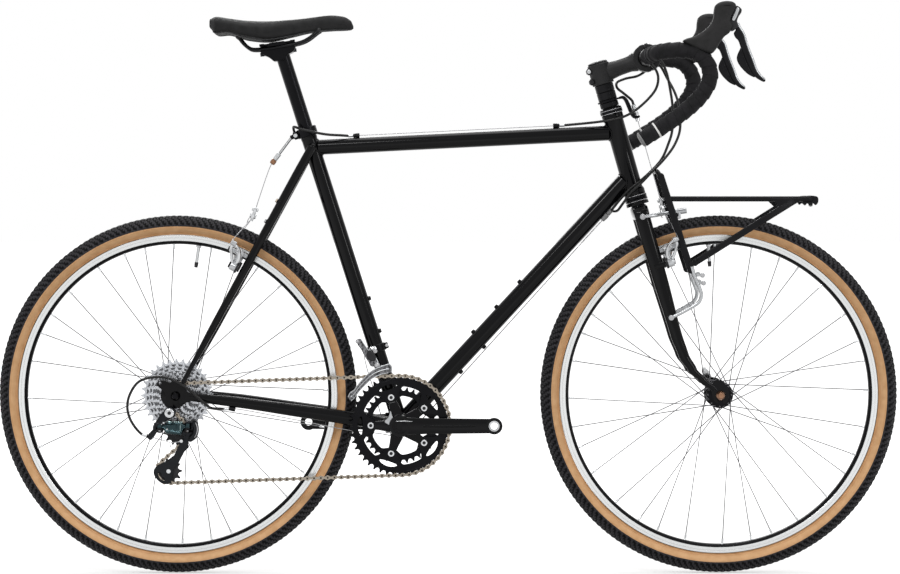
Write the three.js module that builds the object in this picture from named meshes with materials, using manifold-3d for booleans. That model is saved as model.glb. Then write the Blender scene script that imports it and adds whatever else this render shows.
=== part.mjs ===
// Touring bicycle with drop bars, cantilever brakes and a small front rack.
// Millimetres. +X is forward, +Y is the rider's left, +Z is up.
// The origin is on the floor, midway between the axles, in the centre plane.

import * as THREE from 'three';
import { mergeVertices } from 'three/addons/utils/BufferGeometryUtils.js';
import Module from 'manifold-3d';

const wasm = await Module();
wasm.setup();

// General

const CLEARANCE = 0.3;
const RUNNING_GAP = 0.6;
const WELD = 0.001;
const OVERRUN = 5;
const ROUND = 14;
const SMALL_ROUND = 8;
const WIRE_ROUND = 6;
const BOSS_ROUND = 6;
const RIGHT = -1;
const LEFT = 1;

// Layout of the frame

const WHEELBASE = 1015;
const TYRE_RADIUS = 336;
const BRACKET_DROP = 56.5;
const CHAINSTAY_REACH = 417.5;
const SEAT_ANGLE = THREE.MathUtils.degToRad(72.3);
const HEAD_TILT = THREE.MathUtils.degToRad(15.95);
const FORK_OFFSET = 48.5;
const HEAD_BOTTOM = 402;
const HEAD_TOP = 560.5;
const REAR_SPACING = 135;
const FRONT_SPACING = 100;

// Frame tubes

const HEAD_TUBE_RADIUS = 18;
const HEAD_TUBE_BORE = 15.2;
const TOP_TUBE_RADIUS = 14.3;
const TOP_TUBE_WALL = 1.2;
const TOP_TUBE_BELOW_HEAD_TOP = 36;
const TOP_TUBE_ON_SEAT_TUBE = 545;
const DOWN_TUBE_RADIUS = 15.9;
const DOWN_TUBE_WALL = 1.3;
const DOWN_TUBE_ABOVE_HEAD_BOTTOM = 38;
const SEAT_TUBE_RADIUS = 14.8;
const SEAT_TUBE_LENGTH = 583;
const SEATPOST_RADIUS = 13.3;
const BRACKET_SHELL_RADIUS = 20;
const BRACKET_SHELL_BORE = 17.4;
const BRACKET_SHELL_WIDTH = 68;

// Bottle bosses and cable stops

const BOSS_RADIUS = 4.5;
const BOSS_HEIGHT = 2.8;
const DOWN_TUBE_BOSSES = [220, 284, 348];
const DOWN_TUBE_LOWER_BOSSES = [149, 213];
const SEAT_TUBE_BOSSES = [179, 243];
const CABLE_STOP_RADIUS = 5;
const CABLE_STOP_LENGTH = 12;
const CABLE_STOP_SINK = 2.2;
const TOP_TUBE_STOP_INSET = 84;

// Chainstays, seatstays and dropouts

const DROPOUT_THICKNESS = 5;
const DROPOUT_PLATE_RADIUS = 19;
const CHAINSTAY_PATH_SHARES = [0.04, 0.21, 0.4, 0.7, 0.975];
const CHAINSTAY_RISE = [-2, 0, 1.2, 2.8, 1.5];
const CHAINSTAY_SPREAD = [22, 31.5, 41, 58, 70];
const CHAINSTAY_HEIGHT = [22, 26, 24, 20, 16];
const CHAINSTAY_WIDTH = [18, 15, 18, 17, 6];
const CHAINSTAY_BRIDGE_SHARE = 0.13;
const CHAINSTAY_BRIDGE_RADIUS = 7;
const SEATSTAY_TOP_DROP = 38;
const SEATSTAY_PATH_SHARES = [0, 0.12, 0.35, 0.7, 0.93];
const SEATSTAY_SPREAD = [19, 24, 38, 58, 69.5];
const SEATSTAY_RADII = [8, 8.5, 8, 7, 4];
const SEATSTAY_BRIDGE_SHARE = 0.27;
const SEATSTAY_BRIDGE_RADIUS = 6.5;
const HANGER_BOLT = [-10.5, -31];
const HANGER_RADIUS = 9;
const EYELET = [-29, 24];
const EYELET_RADIUS = 5.5;
const EYELET_BORE = 2.6;
const SLOT_HALF_WIDTH = 5;

// Seat collar and saddle

const COLLAR_RADIUS = 19;
const COLLAR_HEIGHT = 17;
const COLLAR_EAR = 6;
const HANGER_ARM_LENGTH = 12;
const HANGER_ARM_THICKNESS = 5;
const STIRRUP_LENGTH = 57;
const STIRRUP_HALF_WIDTH = 7;
const STIRRUP_TILT = THREE.MathUtils.degToRad(37);
const REAR_YOKE = [141, 334];
const STIRRUP_WIRE_RADIUS = 1;
const STIRRUP_BLOCK = 7;
const SEATPOST_TOP_DROP = 5.3;
const SEATPOST_INSERTION = 130;
const SEATPOST_HEAD_LENGTH = 44;
const SEATPOST_HEAD_RADIUS = 9;
const RAIL_RADIUS = 3.5;
const RAIL_HALF_SPACING = 22;
const SADDLE_REAR = -446;
const SADDLE_LENGTH = 268;
const SADDLE_TOP_HEIGHT = 1047;
const SADDLE_DEPTH = 51;
const SADDLE_WIDTH = 152;
const SADDLE_PLACE_SHARES = [0, 0.04, 0.13, 0.25, 0.4, 0.55, 0.7, 0.84, 0.94, 0.985, 1];
const SADDLE_WIDTH_SHARES = [0.5, 0.78, 0.97, 1, 0.76, 0.48, 0.33, 0.28, 0.25, 0.17, 0.06];
const SADDLE_TOP_SHARES = [0.86, 0.93, 0.86, 0.78, 0.76, 0.83, 0.93, 1, 0.93, 0.76, 0.6];
const SADDLE_BOTTOM_SHARES = [0.5, 0.24, 0.29, 0.07, 0.0, 0.14, 0.33, 0.4, 0.4, 0.42, 0.5];
const SADDLE_RING_POINTS = 14;
const RAIL_ROUTE_SHARES = [[0.2, 0.19], [0.225, 0], [0.265, -0.2], [0.2985, -0.28], [0.627, -0.035],
    [0.69, 0.08], [0.75, 0.22]];

// Cranks, chainrings and bottom bracket

const CHAIN_PITCH = 12.7;
const OUTER_RING_TEETH = 46;
const INNER_RING_TEETH = 34;
const SMALL_SPROCKET_TEETH = 11;
const RING_PLANE = 47;
const RING_GAP = 6;
const RING_THICKNESS = 2.6;
const TOOTH_TIP = 3;
const TOOTH_ROOT = 3.4;
const BOLT_CIRCLE_RADIUS = 55;
const RING_BOLT_COUNT = 5;
const RING_BOLT_RADIUS = 4.6;
const RING_BOLT_HEAD = 6.6;
const RING_BOLT_HEAD_DEPTH = 1.6;
const RING_WINDOW_SHARE = 0.6;
const SPINDLE_RADIUS = 12;
const CUP_RADIUS = 21.5;
const CUP_WIDTH = 7.5;
const CRANK_LENGTH = 175;
const CRANK_WIDTH = 14;
const CRANK_INNER_FACE = 55;
const CRANK_TREAD = 64;
const CRANK_EYE_RADIUS = 15.5;
const PEDAL_BORE = 7.2;
const CRANK_HUB_RADIUS = 21;
const CRANK_WAIST = 11.5;
const SPIDER_ARM_HALF_WIDTH = 8;

// Cassette, hubs and wheels

const SPROCKETS = [11, 12, 14, 16, 18, 20, 22, 25, 28, 32];
const SPROCKET_STEP = 3.95;
const SPROCKET_THICKNESS = 1.6;
const SMALL_SPROCKET_PLANE = 62;
const CASSETTE_CORE_RADIUS = 17;
const AXLE_RADIUS = 4.6;
const HUB_BORE = 5.4;
const LOCKNUT_RADIUS = 8.5;
const SKEWER_NUT_RADIUS = 9;
const SKEWER_NUT_LENGTH = 13;
const SPOKES_PER_SIDE = 16;
const SPOKE_CROSSING = THREE.MathUtils.degToRad(66);
const SPOKE_RADIUS = 1;
const SPOKE_SIDES = 3;
const FLANGE_RADIUS = 25;
const FLANGE_THICKNESS = 3.2;
const SPOKE_CIRCLE_RADIUS = 22;
const REAR_FLANGES = [-20, 34];
const FRONT_FLANGES = [-35, 35];
const REAR_SHELL_RADIUS = 15;
const FRONT_SHELL_RADIUS = 11;
const WHEEL_SEGMENTS = 40;
const RIM_RADIUS = 298.5;
const RIM_WIDTH = 24;
const RIM_TRACK = 10.5;
const RIM_INNER_RADIUS = 281.5;
const RIM_INNER_WIDTH = 13;
const TYRE_WIDTH = 44;
const TYRE_BEAD_WIDTH = 18;
const TYRE_PROFILE_SHARES = [[0.3, 1], [0.62, 0.93], [0.87, 0.6], [1, 0.14]];
const LEVER_LENGTH = 52;
const LEVER_THICKNESS = 4;
const LEVER_PIN_RADIUS = 5.5;
const LEVER_PIN_LENGTH = 14;

// Chain band

const LINK_HALF_HEIGHT = 4.2;
const LINK_PLATE_GAP = 1.7;
const LINK_PLATE_OUTER = 2.8;
const CHAIN_RING_STEPS = 14;
const CHAIN_COG_STEPS = 6;
const LINK_GROOVE = 0.1;

// Derailleurs

const GUIDE_PULLEY = [1.5, -68];
const TENSION_PULLEY = [-13.5, -140.5];
const CAGE_PIVOT = [27, -63.5];
const PULLEY_BOLT_RADIUS = 2.4;
const PULLEY_BORE = 3;
const PULLEY_THICKNESS = 2;
const CAGE_PLATE_GAP = 4.6;
const CAGE_PLATE_THICKNESS = 1.8;
const KNUCKLE_RADIUS = 17;
const KNUCKLE_WIDTH = 7;
const LINK_LENGTH = 52;
const LINK_SLANT = THREE.MathUtils.degToRad(37.7);
const LINK_TRAVEL = THREE.MathUtils.degToRad(57);
const LINK_SWING_SHARES = [0, 0.5, 1];
const LINK_HALF_THICKNESS = 4.5;
const LINK_HALF_DEPTH = 4;
const LINK_EYE_RADIUS = 7;
const LINK_PIVOT_OFFSET = [-3.5, 5.5];
const LINK_LUG_THICKNESS = 3;
const BARREL_OFFSET = [-46.5, -75.3];
const BARREL_RADIUS = 4;
const BARREL_LENGTH = 13;
const CABLE_ENTRY = THREE.MathUtils.degToRad(15);
const CAGE_END_RADIUS = 8;
const FRONT_CAGE_INNER = 96.6;
const FRONT_CAGE_OUTER = 114;
const FRONT_CAGE_START = THREE.MathUtils.degToRad(98);
const FRONT_CAGE_END = THREE.MathUtils.degToRad(151);
const FRONT_CAGE_STEPS = 5;
const FRONT_CAGE_HALF_GAP = 4.6;
const FRONT_CAGE_THICKNESS = 1.2;
const FRONT_CLAMP_HEIGHT = 142;
const FRONT_CLAMP_LENGTH = 14;
const FRONT_CLAMP_THICKNESS = 3.5;

// Fork and headset

const STEERER_RADIUS = 14.3;
const STEERER_TOP = 655;
const CROWN_TOP = 389.5;
const CROWN_BOTTOM = 350;
const CROWN_SHOULDER = 368;
const CROWN_HALF_WIDTH = 47;
const CROWN_HALF_DEPTH = 17;
const RACK_BOSS_PLACE = 165;
const RACK_BOSS_RADIUS = 6;
const BLADE_PLACE = [382, 250, 130, 90, 59, 35, 9];
const BLADE_SWEEP = [0, 0, 0, 3, 11.4, 25, 43];
const BLADE_SPREAD = [38, 42.5, 48, 50, 51.5, 52.8, 53];
const BLADE_DEPTH = [29, 28, 22, 19.5, 17, 15, 13];
const BLADE_WIDTH = [19, 19, 17, 15.5, 13.5, 10, 5];
const FORK_PLATE_RADIUS = 15;
const CUP_FLANGE_RADIUS = 21.3;
const LOWER_CUP_HEIGHT = 12;
const UPPER_CUP_HEIGHT = 12.5;
const SPACER_RADIUS = 17.6;
const CABLE_HANGER_PLACE = 583;
const CABLE_HANGER_THICKNESS = 3.5;
const CABLE_HANGER_WIDTH = 18;
const CABLE_HANGER_REACH = [19, 29, 38, 47];
const CABLE_HANGER_DROP = 40;

// Stem and handlebar

const STEM_BOTTOM = 618.6;
const STEM_HEIGHT = 39;
const STEM_CAP_HEIGHT = 5;
const STEM_CLAMP_RADIUS = 20.5;
const STEM_TUBE_RADIUS = 15;
const BAR_CLAMP_RADIUS = 26;
const BAR_CLAMP_WIDTH = 46;
const BAR_RADIUS = 12;
const BAR_BULGE_RADIUS = 15.9;
const BAR_BULGE_WIDTH = 90;
const BAR_HALF_WIDTH = 220;
const BAR_CENTRE = [371.3, 966.4];
const BAR_DROP = 157;
const BAR_REACH = 104;
const BAR_TOP_SHARES = [[0, 0, 0], [0, 0.34, 0], [0, 0.62, 0], [0.015, 0.78, 0.003], [0.1, 0.915, 0.015],
    [0.3, 0.985, 0.033], [0.52, 1, 0.035]];
const BAR_HOOK_SHARES = [[0.74, 1, 0.012], [0.91, 1, -0.08], [0.99, 1, -0.2], [0.985, 1, -0.31],
    [0.88, 1, -0.45], [0.69, 1, -0.59], [0.42, 1, -0.735], [0.1, 1, -0.875], [-0.2, 1, -1]];
const TAPE_RADIUS = 15.6;
const TAPE_FIRST_STEP = 2;
const TAPE_LAST_STEP = 15;
const BAR_STEPS = 16;
const BAR_SIDES = 8;

// Brake and gear levers

const HOOD_LEFT_EDGE = 422;
const HOOD_LENGTH = 100;
const HOOD_BASE = 963.5;
const HOOD_HEIGHT = 97.5;
const HOOD_WIDTH = 33;
const HOOD_BEVEL = 7;
const HOOD_OUTLINE_SHARES = [[0.03, 0.27], [0.28, 0.38], [0.46, 0.47], [0.59, 0.61], [0.61, 0.87],
    [0.7, 0.96], [0.82, 1], [0.96, 0.96], [0.99, 0.9], [0.87, 0.69], [0.9, 0.56], [0.88, 0.42],
    [0.82, 0.33], [0.6, 0.02], [0.5, 0.03]];
const LEVER_PIVOT = [511, 1012];
const PIVOT_BLOCK_WIDTH = 18;
const PIVOT_EYE_RADIUS = 8;
const PIVOT_BLOCK_SHARES = [[1.005, 0.915], [1.09, 0.84], [1.045, 0.61], [1.05, 0.5], [0.94, 0.5],
    [0.92, 0.6]];
const BLADE_THICKNESS = 9;
const BLADE_ROOT_SHARES = [0.985, 1.06];
const BLADE_SHARES = [[0.985, 0.44], [1.06, 0.44], [1.13, 0.36], [1.2, 0.17], [1.3, -0.115], [1.425, -0.37],
    [1.53, -0.465], [1.5, -0.5], [1.36, -0.4], [1.235, -0.36], [1.11, 0.11], [1.04, 0.27], [0.985, 0.36]];
const PADDLE_THICKNESS = 5;
const PADDLE_SHARES = [[1.101, 0.105], [1.222, -0.33], [1.09, -0.24], [1.02, -0.07]];

// Brakes

const REAR_BOSS = [109.5, 239];
const FRONT_BOSS_PLACE = 264;
const BOSS_LENGTH = 26;
const BOSS_PIN_RADIUS = 4.5;
const ARM_HUB_RADIUS = 9;
const ARM_HUB_LENGTH = 13;
const PAD_RISE = 27;
const PAD_GAP = 3;
const PAD_DEPTH = 11;
const PAD_HEIGHT = 10;
const PAD_LENGTH = 52;
const ARM_RISE = 39;
const ARM_REACH = 28;
const ARM_LEAN = 18;
const ARM_THICKNESS = 8;
const ARM_HALF_WIDTH = 7;
const YOKE_RISE = 64;
const YOKE_SIZE = 12;

// Front rack

const RACK_HALF_WIDTH = 56;
const RACK_REAR = 413;
const RACK_LENGTH = 268;
const RACK_TOP = 707;
const RACK_BAR = 8;
const RACK_UPRIGHT_TOP = [392, 752];
const RACK_UPRIGHT_FOOT = [452, 568];
const RACK_UPRIGHT_WIDTH = 13;
const RACK_FRONT_DROP = 11;
const RACK_STRUT_TOP = 625;
const RACK_STRUT_FOOT = [459, 583];
const RACK_CROSS_SHARES = [0.3, 0.62];
const RACK_ARM_ROUTE_SHARES = [[0, 0], [0.08, -0.26], [0.2, -0.52], [0.25, -0.68], [0.2, -0.83],
    [-0.06, -0.99], [-0.49, -1.19]];
const RACK_ARM_DEPTH_SHARE = 0.9;
const RACK_ARM_SPAN = 84;
const RACK_ARM_RADIUS = 4;
const RACK_STAY_RADIUS = 3.5;
const RACK_STAY_HALF_SPACING = 28;
const RACK_STAY_ROUTE = [[376.6, 670.8], [408, 676], [436, 680]];

// Cords

const HOUSING_RADIUS = 2.5;
const WIRE_RADIUS = 0.8;
const CORD_SIDES = 8;
const CORD_STEP = 26;
const WIRE_SIDES = 4;
const ADJUSTER_RADIUS = 3.8;
const ADJUSTER_LENGTH = 20;
const CORD_LEAD = 7;
const FERRULE_RADIUS = 3.4;
const FERRULE_LENGTH = 11;
const STRADDLE_GAP = 0.6;
const CABLE_PAIR_HALF_SPACING = 7;
const DOWN_TUBE_STOP_PLACE = 545;
const CHAINSTAY_STOP_PLACE = [-403, -60, 311.2];
const REAR_BRAKE_FRONT_HOUSING = [[376.6, -57, 952.3], [384, -50, 946], [391, -42, 930], [387, -33, 907],
  [356, -29, 873], [330, -26.5, 857], [304, -25.5, 850], [280, -18, 846.5], [250, -5, 843.5]];
const REAR_BRAKE_REAR_HOUSING = [[-200, -6, 821.5], [-228, -21, 823], [-256, -25, 828], [-279, -22, 834],
    [-290, -12, 837]];
const FRONT_BRAKE_HOUSING = [[376.6, 57, 952.3], [372, 49, 944], [356, 38, 934], [334, 29, 929],
    [317, 20, 921],
  [317, 10, 911], [327, 4, 902], [338, 1, 893]];
const REAR_SHIFT_FRONT_HOUSING = [[386.7, -57, 966], [397, -54, 957], [406, -49, 938], [413, -46, 907],
  [418, -44, 871], [417, -42, 828], [410, -38, 804], [397, -34, 775], [360, -27.5, 737], [341, -25.5, 722],
  [322, -21, 702], [309, -13, 685.5]];
const FRONT_SHIFT_FRONT_HOUSING = [[386.7, 57, 966], [401, 52, 953], [413, 42, 930], [425, 22, 905],
  [432, 2, 880], [434, -18, 850], [431, -33, 825], [420, -41, 800], [402, -42, 776], [378, -39, 751],
  [360, -34, 732], [341, -31.5, 714], [325, -25, 692], [316, -9, 680]];
const REAR_SHIFT_WIRE = [[-72.6, -8, 262.8], [-84, -8.5, 255.6], [-98, -10, 256.2], [-125, -18, 262],
    [-180, -32, 269], [-290, -46, 291]];
const REAR_SHIFT_HOUSING = [[-427, -64, 312], [-442, -74, 314], [-457, -80.5, 326],
  [-490, -82, 354], [-518, -82, 368.5], [-540, -83, 372], [-574, -84, 363.6], [-592, -85, 338],
      [-596, -85, 315],
  [-591, -85, 294], [-578, -85.5, 274]];
const FRONT_SHIFT_WIRE = [[-72.6, 8, 262.8], [-84, 7.5, 255.6], [-98, 6, 256.2], [-113, 1, 266],
    [-125, -8, 292],
  [-137, -20, 336], [-152, -31.5, 384], [-158, -32.7, 409]];

// Shares of a piece's own sizes

const CRANK_NECK_SHARE = 0.25;
const CRANK_ARM_SHARE = 0.8;
const CRANK_ROOT_HEIGHT_SHARE = 1.5;
const CRANK_NECK_HEIGHT_SHARE = 1.15;
const CRANK_NECK_INSET_SHARE = 0.4;
const CRANK_TIP_HEIGHT_SHARE = 0.9;
const LEVER_NECK_SHARE = 0.35;
const LEVER_SPOON_SHARE = 0.75;
const LEVER_SPOON_WIDTH_SHARE = 1.3;
const LEVER_TIP_WIDTH_SHARE = 0.8;
const CHAIN_ENGAGED_LINKS = 3;
const CHAIN_REAR_LINKS = 1.6;
const LUG_WALL_SHARE = 1.6;
const BRACKET_HEAD_SHARE = 1.2;
const FRONT_CLAMP_DEPTH_SHARE = 1.6;
const FRONT_CLAMP_WIDTH_SHARE = 1.2;
const CAGE_BRIDGE_ANGLE = 0.12;
const CAGE_ARM_SHARE = 0.25;
const CAGE_HEAD_FORWARD_SHARE = 1.3;
const CAGE_HEAD_DROP_SHARE = 0.2;
const CAGE_HEAD_RADIUS_SHARE = 0.3;
const CAGE_ARM_THICKNESS_SHARE = 0.6;
const CROWN_SHOULDER_WIDTH_SHARE = 0.85;
const CROWN_BELLY_SHARE = 0.4;
const CROWN_FOOT_DEPTH_SHARE = 0.8;
const HANGER_FOOT_SHARE = 0.6;
const HANGER_BORE_SHARES = [1.2, 0.8];
const ARM_ELBOW_SHARES = [0.45, 0.35];
const COLLAR_PASS_SHARE = 1.2;
const FREEHUB_GAPS = 5;
const SADDLE_RIM_SHARE = 0.45;
const SADDLE_SKIRT_SHARE = 0.72;
const SADDLE_SKIRT_POWER = 0.6;

const FRAME_BLACK = { color: 0x0b0b0d, roughness: 0.25, metalness: 0.3 };
const MATTE_BLACK = { color: 0x1c1b1d, roughness: 0.7, metalness: 0.1 };
const RUBBER_BLACK = { color: 0x232226, roughness: 0.9, metalness: 0 };
const SILVER = { color: 0xc9c9c6, roughness: 0.3, metalness: 0.9 };
const DARK_METAL = { color: 0x2e2e31, roughness: 0.4, metalness: 0.6 };
const CHAIN_METAL = { color: 0x8d8578, roughness: 0.35, metalness: 0.9 };

const group = new THREE.Group();

// Geometry helpers

function solid(geometry) {
  const plain = geometry.clone();
  plain.deleteAttribute('normal');
  plain.deleteAttribute('uv');
  const merged = mergeVertices(plain, WELD);
  const positions = merged.attributes.position.array;
  const triangles = Uint32Array.from(merged.index.array);
  if (signedVolume(positions, triangles) < 0) {
    for (let i = 0; i < triangles.length; i += 3) {
      [triangles[i], triangles[i + 1]] = [triangles[i + 1], triangles[i]];
    }
  }
  return new wasm.Manifold(new wasm.Mesh({
    numProp: 3,
    vertProperties: Float32Array.from(positions),
    triVerts: triangles,
  }));
}

function signedVolume(positions, triangles) {
  const corner = [0, 1, 2].map(() => new THREE.Vector3());
  let volume = 0;
  for (let i = 0; i < triangles.length; i += 3) {
    corner.forEach((point, k) => point.fromArray(positions, triangles[i + k] * 3));
    volume += corner[0].dot(corner[1].cross(corner[2])) / 6;
  }
  return volume;
}

function join(...shapes) {
  return shapes.flat().reduce((whole, shape) => whole.add(shape));
}

function cut(shape, ...tools) {
  return tools.flat().reduce((whole, tool) => whole.subtract(tool), shape);
}

function addPart(name, shape, look, parent = group) {
  const mesh = shape.getMesh();
  const geometry = new THREE.BufferGeometry();
  geometry.setAttribute('position', new THREE.BufferAttribute(Float32Array.from(mesh.vertProperties), 3));
  geometry.setIndex(Array.from(mesh.triVerts));
  geometry.computeVertexNormals();
  const part = new THREE.Mesh(geometry, new THREE.MeshStandardMaterial(look));
  part.name = name;
  parent.add(part);
}

function at(x, y, z) {
  return new THREE.Vector3(x, y, z);
}

function mix(a, b, share) {
  return a + (b - a) * share;
}

function aimed(geometry, from, towards) {
  const turn = new THREE.Quaternion().setFromUnitVectors(at(0, 1, 0), towards.clone().normalize());
  geometry.applyQuaternion(turn);
  geometry.translate(from.x, from.y, from.z);
  return geometry;
}

function rod(a, b, radius, sides = ROUND, endRadius = radius) {
  const along = b.clone().sub(a);
  const geometry = new THREE.CylinderGeometry(endRadius, radius, along.length(), sides);
  return solid(aimed(geometry, a.clone().add(b).multiplyScalar(0.5), along));
}

function ring(a, b, outer, inner, sides = ROUND) {
  const along = b.clone().sub(a);
  const length = along.length();
  return turned([[inner, 0], [outer, 0], [outer, length], [inner, length], [inner, 0]], a, along, sides);
}

function turned(profile, from, towards, sides = ROUND) {
  const points = profile.map(([radius, height]) => new THREE.Vector2(radius, height));
  return solid(aimed(new THREE.LatheGeometry(points, sides), from, towards));
}

function block(x, y, z, centre, tilt = 0) {
  const geometry = new THREE.BoxGeometry(x, y, z);
  geometry.rotateY(tilt);
  geometry.translate(centre.x, centre.y, centre.z);
  return solid(geometry);
}

function slab(outline, low, high, holes = []) {
  const shape = new THREE.Shape(outline.map(([x, z]) => new THREE.Vector2(x, z)));
  shape.holes = holes.map((hole) => new THREE.Path(hole.map(([x, z]) => new THREE.Vector2(x, z))));
  const geometry = new THREE.ExtrudeGeometry(shape, { depth: high - low, bevelEnabled: false });
  geometry.rotateX(Math.PI / 2);
  geometry.translate(0, high, 0);
  return solid(geometry);
}

function circle(x, z, radius, sides = ROUND) {
  return arc(x, z, radius, 0, Math.PI * 2, sides).slice(0, sides);
}

function arc(x, z, radius, start, end, steps) {
  return Array.from({ length: steps + 1 }, (unused, i) => {
    const angle = mix(start, end, i / steps);
    return [x + radius * Math.cos(angle), z + radius * Math.sin(angle)];
  });
}

function sweep(points, radius, sides, steps, bore = 0) {
  const shape = new THREE.Shape(circle(0, 0, radius, sides).map(([x, z]) => new THREE.Vector2(x, z)));
  if (bore > 0) {
    shape.holes = [new THREE.Path(circle(0, 0, bore, sides).map(([x, z]) => new THREE.Vector2(x, z)))];
  }
  const extrudePath = new THREE.CatmullRomCurve3(points, false, 'centripetal');
  return solid(new THREE.ExtrudeGeometry(shape, { steps, extrudePath, bevelEnabled: false }));
}

function loft(rings, closed = false) {
  const count = rings[0].length;
  const positions = rings.flat().flatMap((point) => point.toArray());
  const index = [];
  const spans = closed ? rings.length : rings.length - 1;
  for (let i = 0; i < spans; i += 1) {
    const next = (i + 1) % rings.length;
    for (let k = 0; k < count; k += 1) {
      const a = i * count + k;
      const b = i * count + (k + 1) % count;
      const c = next * count + (k + 1) % count;
      const d = next * count + k;
      index.push(a, b, c, a, c, d);
    }
  }
  if (!closed) {
    const last = (rings.length - 1) * count;
    for (let k = 1; k < count - 1; k += 1) {
      index.push(0, k + 1, k);
      index.push(last, last + k, last + k + 1);
    }
  }
  const geometry = new THREE.BufferGeometry();
  geometry.setAttribute('position', new THREE.Float32BufferAttribute(positions, 3));
  geometry.setIndex(index);
  return solid(geometry);
}

function ringsAlong(points, radius, sides) {
  const turn = new THREE.Quaternion();
  let heading = points[1].clone().sub(points[0]).normalize();
  let across = at(0, 0, 1).cross(heading).normalize();
  if (across.lengthSq() < 0.5) {
    across = at(1, 0, 0);
  }
  let up = heading.clone().cross(across).normalize();
  return points.map((point, i) => {
    const before = points[Math.max(i - 1, 0)];
    const after = points[Math.min(i + 1, points.length - 1)];
    const next = after.clone().sub(before).normalize();
    turn.setFromUnitVectors(heading, next);
    across = across.clone().applyQuaternion(turn);
    up = up.clone().applyQuaternion(turn);
    heading = next;
    return ovalRing(point, across, radius, up, radius, sides);
  });
}

function ovalRing(centre, across, halfWidth, up, halfHeight, sides) {
  return Array.from({ length: sides }, (unused, i) => {
    const angle = (i / sides) * Math.PI * 2;
    return centre.clone()
      .addScaledVector(across, halfWidth * Math.cos(angle))
      .addScaledVector(up, halfHeight * Math.sin(angle));
  });
}

function boxRing(centre, across, halfWidth, up, halfHeight) {
  return [[-1, -1], [1, -1], [1, 1], [-1, 1]].map(([x, z]) => centre.clone()
    .addScaledVector(across, x * halfWidth)
    .addScaledVector(up, z * halfHeight));
}

// Places in the frame

const sideways = at(0, 1, 0);
const rearAxle = at(-WHEELBASE / 2, 0, TYRE_RADIUS);
const frontAxle = at(WHEELBASE / 2, 0, TYRE_RADIUS);
const bracketAxis = at(rearAxle.x + CHAINSTAY_REACH, 0, TYRE_RADIUS - BRACKET_DROP);
const seatUp = at(-Math.cos(SEAT_ANGLE), 0, Math.sin(SEAT_ANGLE));
const steerUp = at(-Math.sin(HEAD_TILT), 0, Math.cos(HEAD_TILT));
const steerForward = at(Math.cos(HEAD_TILT), 0, Math.sin(HEAD_TILT));
const steerBase = frontAxle.clone().addScaledVector(steerForward, -FORK_OFFSET);

function onSeatTube(distance, y = 0, back = 0) {
  return bracketAxis.clone().addScaledVector(seatUp, distance).add(at(-back, y, 0));
}

function onSteering(forward, y, along) {
  return steerBase.clone().addScaledVector(steerForward, forward)
    .addScaledVector(steerUp, along).addScaledVector(sideways, y);
}

function fromAxle(axle, [x, z], y) {
  return at(axle.x + x, y, axle.z + z);
}

const topTubeRear = onSeatTube(TOP_TUBE_ON_SEAT_TUBE);
const topTubeFront = onSteering(0, 0, HEAD_TOP - TOP_TUBE_BELOW_HEAD_TOP);
const downTubeFront = onSteering(0, 0, HEAD_BOTTOM + DOWN_TUBE_ABOVE_HEAD_BOTTOM);
const seatTubeTop = onSeatTube(SEAT_TUBE_LENGTH);
const collarBase = onSeatTube(SEAT_TUBE_LENGTH - COLLAR_HEIGHT);

function headTubeRod(extra) {
  return rod(onSteering(0, 0, HEAD_BOTTOM - OVERRUN), onSteering(0, 0, HEAD_TOP + OVERRUN),
      HEAD_TUBE_RADIUS + extra);
}

function seatTubeRod(extra) {
  return rod(onSeatTube(0), onSeatTube(SEAT_TUBE_LENGTH + OVERRUN), SEAT_TUBE_RADIUS + extra);
}

function shellRod(extra) {
  const half = BRACKET_SHELL_WIDTH / 2 + extra;
  return rod(bracketAxis.clone().add(at(0, -half, 0)), bracketAxis.clone().add(at(0, half, 0)),
      BRACKET_SHELL_RADIUS + extra);
}

// Main tubes

function bosses(start, direction, outward, places, tubeRadius) {
  return places.map((place) => {
    const foot = start.clone().addScaledVector(direction, place)
        .addScaledVector(outward, tubeRadius - DOWN_TUBE_WALL / 2);
    return rod(foot, foot.clone().addScaledVector(outward, BOSS_HEIGHT), BOSS_RADIUS, BOSS_ROUND);
  });
}

function cableStop(centre, direction) {
  const half = direction.clone().multiplyScalar(CABLE_STOP_LENGTH / 2);
  return rod(centre.clone().sub(half), centre.clone().add(half), CABLE_STOP_RADIUS, BOSS_ROUND);
}

function makeHeadTube() {
  return ring(onSteering(0, 0, HEAD_BOTTOM), onSteering(0, 0, HEAD_TOP), HEAD_TUBE_RADIUS, HEAD_TUBE_BORE);
}

const topTubeAlong = topTubeFront.clone().sub(topTubeRear).normalize();
const topTubeUp = at(-topTubeAlong.z, 0, topTubeAlong.x);
const brakeStopHeight = TOP_TUBE_RADIUS + CABLE_STOP_RADIUS - WIRE_RADIUS;
const rearBrakeStop = topTubeRear.clone().addScaledVector(topTubeAlong, TOP_TUBE_STOP_INSET)
  .addScaledVector(topTubeUp, brakeStopHeight);
const frontBrakeStop = topTubeFront.clone().addScaledVector(topTubeAlong,
    -TOP_TUBE_STOP_INSET - SEAT_TUBE_RADIUS * 2)
  .addScaledVector(topTubeUp, brakeStopHeight);

function makeTopTube() {
  const tube = ring(topTubeRear, topTubeFront, TOP_TUBE_RADIUS, TOP_TUBE_RADIUS - TOP_TUBE_WALL);
  const stops = [rearBrakeStop, frontBrakeStop].map((place) => cableStop(place, topTubeAlong));
  const bore = rod(rearBrakeStop.clone().addScaledVector(topTubeAlong, -TOP_TUBE_STOP_INSET),
    frontBrakeStop.clone().addScaledVector(topTubeAlong, TOP_TUBE_STOP_INSET), WIRE_RADIUS + RUNNING_GAP,
        WIRE_ROUND);
  return cut(join(tube, stops), bore, headTubeRod(CLEARANCE), seatTubeRod(CLEARANCE));
}

const downTubeAlong = downTubeFront.clone().sub(bracketAxis).normalize();
const downTubeUp = at(-downTubeAlong.z, 0, downTubeAlong.x);

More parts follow.
